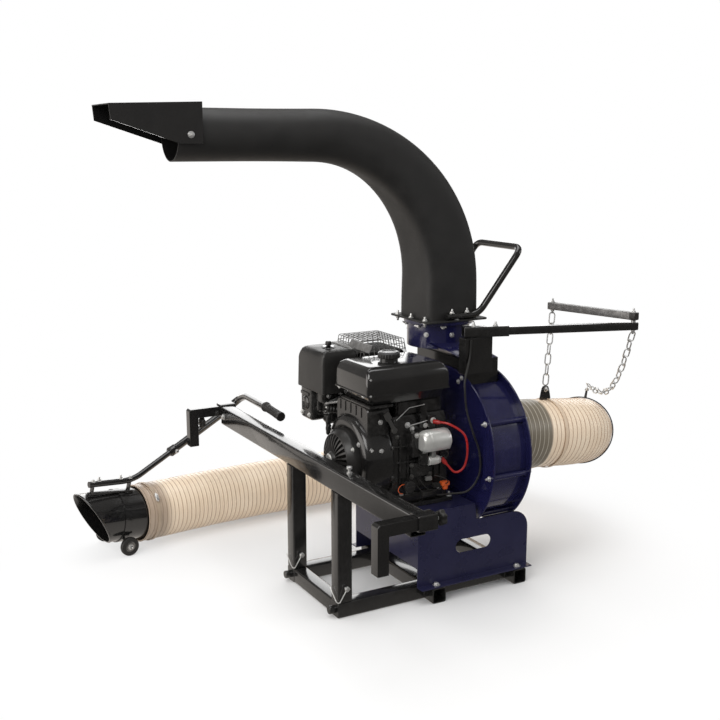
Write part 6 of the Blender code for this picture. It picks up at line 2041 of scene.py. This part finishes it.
@dataclass
class AirSide(Assembly):
    """Air cleaner, carburettor with its duct, breather hose and links, heat shield, throttle."""

    knob: Point = (-0.178, 0.186, 0.7863)
    breather_radius: float = 0.0118
    breather_rib: float = 0.0022
    breather_ribs: int = 11
    coils: int = 16
    coil_radius: float = 0.0036
    coil_share: float = 0.32

    def build(self) -> None:
        """Build the air side."""
        self.build_cleaner()
        self.build_carburettor()
        self.build_screws()
        self.build_breather()
        self.build_links()
        self.build_shield()
        self.build_throttle()

    def build_cleaner(self) -> None:
        """Build the air cleaner's base and hood with a dished ring, a washer and the wing knob."""
        base = [
            (-0.226, -0.12, 0.122, 0.28, 0.6405, 0.012),
            (-0.232, -0.114, 0.114, 0.288, 0.646, 0.012),
            (-0.232, -0.114, 0.114, 0.288, 0.652, 0.012),
        ]
        hood = [
            (-0.2405, -0.1075, 0.1075, 0.2945, 0.6425, 0.009),
            (-0.242, -0.106, 0.106, 0.296, 0.644, 0.01),
            (-0.24, -0.108, 0.108, 0.294, 0.74, 0.01),
            (-0.239, -0.1085, 0.1085, 0.292, 0.75, 0.01),
            (-0.238, -0.109, 0.1095, 0.282, 0.764, 0.01),
            (-0.236, -0.11, 0.1115, 0.272, 0.7745, 0.011),
            (-0.232, -0.113, 0.115, 0.264, 0.78, 0.012),
            (-0.225, -0.119, 0.121, 0.256, 0.7825, 0.012),
            (-0.199, -0.155, 0.164, 0.21, 0.783, 0.012),
        ]
        shell = Shell().levels(base, 5).levels(hood, 5)
        dish = [(0.0002, 0.026), (0.0012, 0.025), (0.0004, 0.0225), (0.0002, 0.012)]
        shell.turned((self.knob[0], self.knob[1], 0.7828), UP, dish, 48)
        self.add("cleaner_case", shell, Look.BLACK_PLASTIC, replaces=["air_cleaner"], sharp=32)
        disc = Shell().turned(self.knob, UP, [(0.0002, 0.02), (0.0012, 0.02), (0.0014, 0.018)], 40)
        self.add("cleaner_washer", disc, Look.TANK_PAINT)
        corners = [(0.0016, 0.0055), (0.004, 0.0088), (0.0135, 0.009), (0.0175, 0.007)]
        lobed = spin(rounded(corners + [(0.018, 0.001)], 0.003, 4), 72, 3, 0.32)
        wing = Shell().sweep(stand(lobed, self.knob, UP))
        self.add("cleaner_wing", wing, Look.BLACK_PLASTIC, Body.AIR_CLEANER_KNOB, ["air_cleaner_knob"])

    def build_carburettor(self) -> None:
        """Build the carburettor's body with its throat and bowl, and the intake duct."""
        throat = [(0, 0.023), (0.06, 0.023), (0.066, 0.026), (0.078, 0.0265), (0.082, 0.024)]
        bowl = [(0.0, 0.032), (0.004, 0.0345), (0.009, 0.033), (0.03, 0.03), (0.039, 0.023)]
        body = Shell().boxes(
            ((-0.22, 0.152, 0.602), (-0.1185, 0.262, 0.64), 0.003, 0.012),
            ((-0.124, 0.15, 0.556), (-0.1182, 0.24, 0.606), 0.002, 0.01),
            ((-0.218, 0.186, 0.566), (-0.19, 0.262, 0.606), 0.004, 0.01),
        )
        body.turned_each(
            ((-0.123, 0.19, 0.588), LEFT, throat, 40),
            ((-0.168, 0.186, 0.566), DOWN, rounded(bowl + [(0.042, 0.009)], 0.003, 4), 48),
            ((-0.168, 0.168, 0.6), NEAR, peg(0.013, 0.012, 0.0165, 0.0105), 28),
            ((-0.196, 0.205, 0.6), (-0.9, -0.44, 0), peg(0.0105, 0.016, 0.019, 0.0085), 24),
        )
        body.box((-0.206, 0.16, 0.588), (-0.15, 0.176, 0.612), 0.002, 0.004)
        self.add("carburettor_body", body, Look.ENGINE_PAINT, replaces=["carburettor"])
        duct = Shell().box((-0.236, 0.2, 0.534), (-0.184, 0.284, 0.644), 0.005, 0.014)
        duct.turned((-0.204, 0.203, 0.572), NEAR, peg(0.019, 0.006, 0.009, 0.015), 32)
        duct.turned((-0.233, 0.24, 0.59), LEFT, peg(0.023, 0.005, 0.008, 0.019), 32)
        duct.box((-0.24, 0.216, 0.616), (-0.234, 0.276, 0.628), 0.002, 0.004)
        self.add("intake_duct", duct, Look.ENGINE_PAINT)

    def build_screws(self) -> None:
        """Build the carburettor's bright screws, the bowl's nut and the choke's link."""
        knobs = [(-0.204, 0.1535, 0.588), (-0.181, 0.1515, 0.606)]
        knobs += [(-0.139, 0.149, 0.612), (-0.136, 0.149, 0.596)]
        bright = Shell().turned(knobs, NEAR, peg(0.004, 0.006, 0.0075, 0.0026), 14)
        bright.turned((-0.168, 0.186, 0.525), DOWN, [(0, 0.005), (0.004, 0.005)], 6)
        SMALL_BOLT.heads(bright, [(-0.236, 0.268, 0.552), (-0.236, 0.216, 0.552)], LEFT)
        flat = rectangle(0.004, 0.0016, 0.0006)
        bright.bar((-0.208, 0.156, 0.574), (-0.186, 0.156, 0.58), flat, UP, 0.0003)
        self.add("carburettor_screws", bright, Look.BRIGHT_CASTING)

    def build_breather(self) -> None:
        """Build the ribbed breather hose, its radius a row of half waves along its length."""
        corners = [(-0.206, 0.146, 0.586), (-0.18, 0.135, 0.582), (-0.152, 0.128, 0.578)]
        line = smooth_line(corners + [(-0.128, 0.122, 0.58), (-0.108, 0.11, 0.586)], 12)
        s = np.linspace(0, 1, 90)
        waves = np.abs(np.sin(s * self.breather_ribs * math.pi))
        radius = self.breather_radius + self.breather_rib * waves
        section = circle(1.0, 28)[None] * radius[:, None, None]
        self.add("breather_hose", Shell().sweep(carry(even_line(line, 90), section, UP)), Look.RUBBER)

    def build_links(self) -> None:
        """Build the choke plate, its screws, and the governor's spring on its wire."""
        screws = [(-0.196, 0.152, 0.626), (-0.15, 0.152, 0.63)]
        metal = SMALL_BOLT.heads(Shell(), screws, NEAR)
        flat = rectangle(0.009, 0.0016, 0.0007)
        metal.bar((-0.214, 0.143, 0.6), (-0.15, 0.143, 0.622), flat, UP, 0.0004)
        start, stop = np.array([-0.214, 0.139, 0.606]), np.array([-0.132, -0.02, 0.648])
        along = unit(stop - start)
        first = unit(np.cross(along, UP))
        turns = np.linspace(0, self.coils * TAU, 260)
        coil = start + np.outer(turns / turns[-1] * self.coil_share, stop - start)
        across = np.outer(np.cos(turns), first) + np.outer(np.sin(turns), np.cross(along, first))
        metal.rod(coil + self.coil_radius * across, 0.0007, 6, up=along * 0.2 + first)
        metal.rod([start + (stop - start) * share for share in (0.0, self.coil_share, 0.66)], 0.0009, 8)
        self.add("carburettor_links", metal, Look.ZINC)

    def build_shield(self) -> None:
        """Build the heat shield: a folded lip and a thin sloped plate."""
        lip = [(-0.128, 0.752), (-0.086, 0.774), (-0.084, 0.786), (-0.128, 0.786)]
        sloped = [(-0.113, 0.783), (-0.101, 0.8065), (-0.0975, 0.8065), (-0.1095, 0.783)]
        shell = Shell().plate(lip, 0.006, 1, 0.118, 0.262, 0.001)
        shell.plate(sloped, 0.001, 1, 0.028, 0.168, 0.0004, 3)
        self.add("heat_shield", shell, Look.SHIELD_GREY)

    def build_throttle(self) -> None:
        """Dress the throttle lever and build its plate and the governor rods."""
        self.dress("throttle_lever", Look.DARK_CASTING, 0.0006)
        wide = [(-0.126, 0.548), (-0.05, 0.54), (-0.03, 0.566), (-0.052, 0.602), (-0.11, 0.6)]
        tall = [(-0.02, 0.56), (0.004, 0.556), (0.012, 0.64), (-0.004, 0.642)]
        plate = Shell().plate(wide, 0.01, 1, -0.13, -0.128, 0.0005)
        plate.plate(tall, 0.006, 1, -0.134, -0.13, 0.0006)
        self.add("throttle_plate", plate, Look.ENGINE_PAINT)
        metal = STUD.heads(Shell(), [(-0.062, -0.13, 0.574)], NEAR)
        SMALL_BOLT.heads(metal, [(-0.045, -0.13, 0.56), (0.003, -0.134, 0.566)], NEAR)
        metal.rod([(-0.066, -0.14, 0.574), (-0.03, -0.146, 0.58), (0.004, -0.142, 0.584)], 0.0016, 8)
        y = -0.137
        metal.rod([(-0.108, y, 0.596), (-0.06, y, 0.632), (-0.002, y, 0.636)], 0.0012, 8)
        self.add("governor_rods", metal, Look.ZINC)


@dataclass
class Exhaust(Assembly):
    """The muffler under its wire guard."""

    x: Span = (-0.092, 0.077)
    y: Span = (0.0945, 0.274)
    overhang: Span = (0.012, 0.008)
    z: Span = (0.752, 0.808)
    wire: float = 0.0011
    shoulder: float = 0.012
    lean: float = 0.6
    case_x: Span = (-0.0895, 0.0735)
    case_y: Span = (0.0965, 0.2715)

    def build(self) -> None:
        """Build the muffler as a pressed box with a rolled seam, and the guard.

        Each row of the table is a level: its inset from the case's sides, height and corner.
        """
        (x0, x1), (y0, y1) = self.case_x, self.case_y
        table = (
            (0.0155, 0.6722, 0.02), (0.0055, 0.6765, 0.022), (0.0015, 0.684, 0.024),
            (0.0015, 0.714, 0.024), (0.0, 0.715, 0.025), (0.0, 0.719, 0.025),
            (0.0015, 0.72, 0.024), (0.0015, 0.758, 0.024), (0.0055, 0.7655, 0.022),
            (0.0155, 0.7698, 0.02),
        )
        shell = Shell().levels([(x0 + e, x1 - e, y0 + e, y1 - e, z, r) for e, z, r in table], 6)
        shell.box((-0.03, 0.15, 0.6647), (0.03, 0.19, 0.68), 0.002)
        shell.turned((0.04, 0.26, 0.738), (0.35, 0.93, 0), [(0, 0.011), (0.017, 0.011)], 24)
        self.add("muffler_case", shell, Look.HEAT_PAINT, replaces=["muffler"], sharp=32)
        self.build_guard()

    def build_guard(self) -> None:
        """Build the welded wire guard from three families of bent wires.

        Every wire rises from the foot to the shoulder, crosses the top and comes down again. The
        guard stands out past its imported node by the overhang, to the left and to the far side.
        """
        (x0, x1), (y0, y1), (low, high) = self.x, self.y, self.z
        x0, y1 = x0 - self.overhang[0], y1 + self.overhang[1]
        shell = Shell()
        top, e = high - self.wire, self.shoulder
        for y in np.linspace(y0 + 0.01, y1 - 0.01, 10):
            line = [(x0, y, low), (x0 + e, y, top), (x1 - e, y, top), (x1, y, low)]
            shell.rod(rounded(line, 0.006, 3), self.wire, 6)
        under, e = top - 1.6 * self.wire, self.shoulder * self.lean
        for x in np.linspace(x0 + 0.012, x1 - 0.012, 9):
            line = [(x, y0, low), (x, y0 + e, under), (x, y1 - e, under), (x, y1, low)]
            shell.rod(rounded(line, 0.006, 3), self.wire, 6)
        for rise, inset, thick in ((0.0022, 0.0, 1.5), (0.02, 0.004, 1.0), (0.038, 0.008, 1.0)):
            a, b, e = x0 + inset, x1 - inset, inset * self.lean
            ring = [(a, y0 + e), (b, y0 + e), (b, y1 - e), (a, y1 - e)]
            line = np.insert(rounded(ring, 0.01, 4, closed=True), 2, low + rise, axis=1)
            shell.rod(np.vstack([line, line[:1]]), self.wire * thick, 6, up=UP)
        self.add("guard_wires", shell, Look.LINK_ZINC, replaces=["muffler_guard"])


# Points of each small wire under the starter.
SMALL_WIRES = (
    ((0.04, -0.148, 0.332), (0.01, -0.152, 0.345), (-0.014, -0.146, 0.352), (-0.03, -0.138, 0.372)),
    ((0.06, -0.15, 0.358), (0.03, -0.156, 0.352), (0.0, -0.15, 0.362), (-0.02, -0.14, 0.39)),
    ((0.03, -0.15, 0.4), (0.05, -0.172, 0.395), (0.066, -0.176, 0.38), (0.06, -0.158, 0.366)),
    ((0.048, -0.164, 0.45), (0.064, -0.176, 0.47), (0.052, -0.18, 0.486), (0.03, -0.15, 0.498)),
)


@dataclass
class Electrics(Assembly):
    """Starter motor, solenoid, cables, boots and connectors."""

    axis: Span = (-0.17, 0.525)
    solenoid: Span = (-0.164, 0.457)
    loom_up: Point = (0.3, -0.9, 0.1)

    def build(self) -> None:
        """Build the electrics."""
        self.build_starter()
        self.build_cables()
        self.build_small_parts()

    def build_starter(self) -> None:
        """Build the starter: drawn can, nose, solenoid, brackets and the battery terminal."""
        y, z = self.axis
        sy, sz = self.solenoid
        can = [(0, 0.034), (0.002, 0.0355), (0.066, 0.0355), (0.068, 0.034), (0.074, 0.0335)]
        can += [(0.0755, 0.029), (0.0765, 0.013), (0.079, 0.012), (0.08, 0.002)]
        coil = [(0, 0.014), (0.001, 0.015), (0.036, 0.015), (0.038, 0.0138), (0.044, 0.012)]
        nose = [(0, 0.026), (0.004, 0.03), (0.014, 0.0345), (0.024, 0.035)]
        shell = Shell().turned_each(
            ((-0.014, y, z), RIGHT, rounded(can, 0.0016, 3), 64),
            ((-0.0058, sy, sz), RIGHT, rounded(coil + [(0.0445, 0.002)], 0.001, 3), 40),
            ((-0.038, y, z), RIGHT, rounded(nose, 0.003, 4), 48),
        )
        self.add("starter_can", shell, Look.BRIGHT_CASTING, replaces=["starter_motor"])
        cast = Shell().boxes(
            ((-0.06, -0.16, 0.473), (-0.032, -0.1286, 0.555), 0.003, 0.004),
            ((-0.034, -0.172, 0.446), (-0.008, -0.146, 0.5), 0.003, 0.006),
        )
        self.add("starter_bracket", cast, Look.ENGINE_PAINT)
        ear = Shell().boxes(
            ((0.004, -0.174, 0.463), (0.02, -0.156, 0.5), 0.002, 0.003),
            ((-0.03, -0.1745, 0.486), (-0.01, -0.15, 0.5), 0.002, 0.003),
        )
        self.add("starter_ear", ear, Look.CAST_GREY)
        studs = SMALL_BOLT.heads(Shell(), places_round((0.06, y, z), 0.0275, [60, 240]), RIGHT)
        STUD.heads(studs, [(0.03, -0.133, 0.58)], NEAR)
        SMALL_BOLT.heads(studs, [(-0.045, -0.16, 0.545)], NEAR)
        for rise in (0.006, -0.007):
            studs.turned((0.0386, sy, sz + rise), RIGHT, [(0, 0.0022), (0.01, 0.0022)], 10)
        self.add("starter_studs", studs, Look.ZINC)
        bracket = Shell().box((0.012, -0.136, 0.552), (0.042, -0.128, 0.598), 0.002, 0.006)
        self.add("terminal_bracket", bracket, Look.ENGINE_PAINT)
        eye = [(0.0, 0.01), (0.002, 0.01), (0.0022, 0.007), (0.006, 0.007)]
        eye += [(0.0062, 0.0036), (0.011, 0.0036)]
        terminal = Shell().turned((0.03, -0.1362, 0.58), NEAR, eye, 24)
        self.add("terminal_eye", terminal, Look.BRIGHT_CASTING)

    def build_cables(self) -> None:
        """Build the battery cable with a boot at each end, and the loom with its ties."""
        route = np.array([
            (0.03, -0.148, 0.578), (0.058, -0.19, 0.575), (0.1, -0.214, 0.54),
            (0.112, -0.214, 0.48), (0.104, -0.206, 0.43), (0.078, -0.196, 0.416),
            (0.06, -0.178, 0.438), (0.0488, -0.167, 0.454),
        ])
        cable = Shell().rod(smooth_line(route, 14), 0.0036, 20)
        boot = [(-0.006, 0.003), (-0.005, 0.0072), (0.01, 0.0068), (0.02, 0.0048)]
        sleeve = [(-0.006, 0.004), (-0.005, 0.008), (0.009, 0.0074), (0.018, 0.005)]
        for end, after, profile in ((route[0], route[1], boot), (route[-1], route[-2], sleeve)):
            cable.turned(end, unit(after - end), rounded(profile, 0.002, 3), 24)
        self.add("cable_lead", cable, Look.RED_WIRE, replaces=["battery_cable"])
        line = smooth_line([
            (0.169, -0.1427, 0.828), (0.163, -0.1437, 0.77), (0.132, -0.166, 0.712),
            (0.124, -0.176, 0.68), (0.126, -0.186, 0.61), (0.142, -0.2, 0.54),
            (0.16, -0.214, 0.47), (0.16, -0.2145, 0.4), (0.13, -0.196, 0.345),
            (0.078, -0.166, 0.334), (0.04, -0.152, 0.332),
        ], 12)
        loom = Shell().rod(line, 0.0033, 16, up=self.loom_up)
        loom.rod(line[8:90] + (0.004, 0.003, 0.0), 0.0016, 10, up=self.loom_up)
        spots = even_line(line, 9)
        ways = unit(np.gradient(spots, axis=0))
        tie = [(-0.0015, 0.004), (-0.001, 0.0044), (0.001, 0.0044), (0.0015, 0.004)]
        loom.turned(spots[1:-1], ways[1:-1], tie, 16)
        self.add("loom_lead", loom, Look.RUBBER, replaces=["cable_loom"])

    def build_small_parts(self) -> None:
        """Build the small wires, connectors and plugs under the starter."""
        dark = Shell()
        for line in SMALL_WIRES:
            dark.rod(smooth_line(line, 10), 0.0017, 10)
        dark.boxes(
            ((-0.016, -0.158, 0.336), (0.02, -0.142, 0.35), 0.002, 0.003),
            ((0.02, -0.166, 0.362), (0.044, -0.148, 0.376), 0.002, 0.003),
        )
        self.add("harness_wires", dark, Look.RUBBER)
        turn = np.linspace(-0.6, 4.6, 40)
        x, y, z = 0.019 * np.cos(turn), -0.008 * np.sin(turn / 2), 0.015 * np.sin(turn)
        loop = np.stack([-0.082 + x, -0.134 + y, 0.368 + z], axis=1)
        self.add("sensor_wire", Shell().rod(loop, 0.0014, 10), Look.ORANGE_PLUG)
        pale = Shell().boxes(
            ((-0.07, -0.146, 0.354), (-0.05, -0.136, 0.364), 0.0015),
            ((-0.092, -0.14, 0.346), (-0.08, -0.132, 0.353), 0.0012),
            ((0.0, -0.15, 0.384), (0.022, -0.138, 0.398), 0.002),
        )
        self.add("wire_joints", pale, Look.CAST_GREY)
        plug = Shell().boxes(
            ((0.05, -0.166, 0.362), (0.08, -0.148, 0.378), 0.003, 0.003),
            ((0.058, -0.164, 0.35), (0.074, -0.15, 0.366), 0.002, 0.003),
        )
        self.add("fuse_plug", plug, Look.ORANGE_PLUG)


# Studio.
@dataclass
class Studio:
    """Camera, white surroundings, soft light and a pale floor that fades to white."""

    place: Point = (-1.76, -2.866, 1.436)
    azimuth: float = 29.154
    tilt: float = 11.451
    lens: float = 52.5
    sensor: float = 36.0
    clip: float = 60.0
    world: float = 0.66
    mirrored: float = 0.2
    middle: Point = (0.1, 0.05, 0.55)
    fade: Span = (0.45, 1.45)
    floor_glow: float = 0.4
    mirror_tint: Colour = (1.0, 0.93, 0.86)
    floor_half: float = 30.0
    floor_grey: float = 0.86
    mirrored_floor: Span = (0.09, 0.62)
    mirrored_span: Span = (-0.6, 0.5)
    sky_tint: Colour = (1.0, 0.96, 0.92)

    def build(self) -> None:
        """Build the studio."""
        self.build_camera()
        self.build_world()
        self.build_lights()
        self.build_floor()

    def build_camera(self) -> None:
        """Place the camera and make it the scene's own."""
        data = bpy.data.cameras.new("camera")
        data.lens = self.lens
        data.sensor_width = self.sensor
        data.clip_end = self.clip
        camera = bpy.data.objects.new("camera", data)
        turn, tilt = math.radians(self.azimuth), math.radians(self.tilt)
        level = math.cos(tilt)
        look = Vector((math.sin(turn) * level, math.cos(turn) * level, -math.sin(tilt)))
        camera.location = self.place
        camera.rotation_euler = look.to_track_quat("-Z", "Y").to_euler()
        show(camera)
        bpy.context.scene.camera = camera

    def build_world(self) -> None:
        """Make the world white to the eye, with a softer level for the light it gives."""
        scene = bpy.context.scene
        scene.view_settings.view_transform = "Standard"
        world = bpy.data.worlds.new("surroundings")
        world.use_nodes = True
        scene.world = world
        graph = Graph(world.node_tree)
        sky = world.node_tree.nodes["Background"]
        rays = graph.node("ShaderNodeLightPath").outputs
        seen = graph.math("MAXIMUM", rays["Is Camera Ray"], rays["Is Transmission Ray"])
        fall = self.mirrored - self.world
        level = graph.math("MULTIPLY_ADD", rays["Is Glossy Ray"], fall, self.world)
        rest = graph.math("MULTIPLY", graph.math("SUBTRACT", 1.0, seen), level)
        graph.feed(sky.inputs["Strength"], graph.math("ADD", seen, rest))
        graph.feed(sky.inputs["Color"], graph.blend(rays["Is Glossy Ray"], WHITE, self.sky_tint))

    def build_lights(self) -> None:
        """Hang a key on the left, a weak fill on the right, and broad cards above and behind.

        The cards are what gloss surfaces mirror: the one behind whitens level faces.
        """
        rows = (
            ("key", (-3.2, -2.0, 3.2), (2.4, 2.4), 80.0, (1.0, 0.985, 0.965)),
            ("fill", (3.6, -2.6, 2.2), (1.6, 1.6), 16.0, (0.96, 0.975, 1.0)),
            ("top", (0.0, 0.4, 4.4), (3.2, 3.2), 70.0, WHITE),
            ("left_card", (-4.6, 1.2, 1.3), (4.6, 2.8), 84.0, (1.0, 0.955, 0.915)),
            ("back_card", (2.6, 5.2, 1.7), (8.0, 3.2), 170.0, WHITE),
        )
        for name, place, (wide, high), power, colour in rows:
            data = bpy.data.lights.new(name, "AREA")
            data.shape = "RECTANGLE"
            data.size = wide
            data.size_y = high
            data.energy = power
            data.color = colour
            lamp = bpy.data.objects.new(name, data)
            lamp.visible_camera = False
            lamp.location = place
            aim = Vector(self.middle) - Vector(place)
            lamp.rotation_euler = aim.to_track_quat("-Z", "Y").to_euler()
            show(lamp)

    def build_floor(self) -> None:
        """Make the floor white to the eye but for the object's own shadow.

        Near the object the floor is diffuse; with distance it gives way to plain white.
        """
        made = bpy.data.materials.new("pale_floor")
        made.use_nodes = True
        graph = Graph(made.node_tree)
        shader = made.node_tree.nodes["Principled BSDF"]
        shader.inputs["Base Color"].default_value = (*[self.floor_grey] * 3, 1.0)
        shader.inputs["Roughness"].default_value = 0.9
        shader.inputs["Specular IOR Level"].default_value = 0.1
        place = graph.node("ShaderNodeTexCoord").outputs["Object"]
        flat = graph.node("ShaderNodeVectorMath", operation="MULTIPLY")
        graph.feed(flat.inputs[0], place)
        flat.inputs[1].default_value = (1.0, 1.0, 0.0)
        reach = graph.node("ShaderNodeVectorMath", operation="LENGTH")
        graph.feed(reach.inputs[0], flat.outputs[0])
        rays = graph.node("ShaderNodeLightPath").outputs
        mirrored = rays["Is Glossy Ray"]
        share = graph.math("MAXIMUM", graph.span(reach.outputs["Value"], *self.fade), mirrored)
        parts = graph.node("ShaderNodeSeparateXYZ")
        graph.feed(parts.inputs[0], place)
        behind = graph.span(parts.outputs[1], *self.mirrored_span, *self.mirrored_floor)
        glow = graph.node("ShaderNodeEmission")
        graph.feed(glow.inputs["Color"], graph.blend(mirrored, WHITE, self.mirror_tint))
        lit = graph.math("MULTIPLY_ADD", rays["Is Camera Ray"], 1.0 - self.floor_glow, self.floor_glow)
        level = graph.node("ShaderNodeMix", data_type="FLOAT")
        for socket, value in zip(level.inputs[:1] + level.inputs[2:4], (mirrored, lit, behind)):
            graph.feed(socket, value)
        graph.feed(glow.inputs["Strength"], level.outputs[0])
        mixed = graph.node("ShaderNodeMixShader")
        graph.feed(mixed.inputs[0], share)
        graph.feed(mixed.inputs[1], shader.outputs[0])
        graph.feed(mixed.inputs[2], glow.outputs[0])
        graph.feed(made.node_tree.nodes["Material Output"].inputs["Surface"], mixed.outputs[0])
        mesh = bpy.data.meshes.new("floor")
        r = self.floor_half
        mesh.from_pydata([(-r, -r, 0), (r, -r, 0), (r, r, 0), (-r, r, 0)], [], [(0, 1, 2, 3)])
        mesh.materials.append(made)
        floor = bpy.data.objects.new("floor", mesh)
        show(floor)


def main() -> None:
    """Build the whole look and log the pieces."""
    logging.basicConfig(level=logging.INFO, format="%(message)s")
    for part in (
        BaseFrame(), Hooks(), Stand(), Blower(), Outlet(), Chute(), Hanger(), Hose(), Nozzle(), Boom(),
        EngineCore(), Tank(), AirSide(), Exhaust(), Electrics(), Studio(),
    ):
        part.build()


if __name__ == "__main__":
    main()
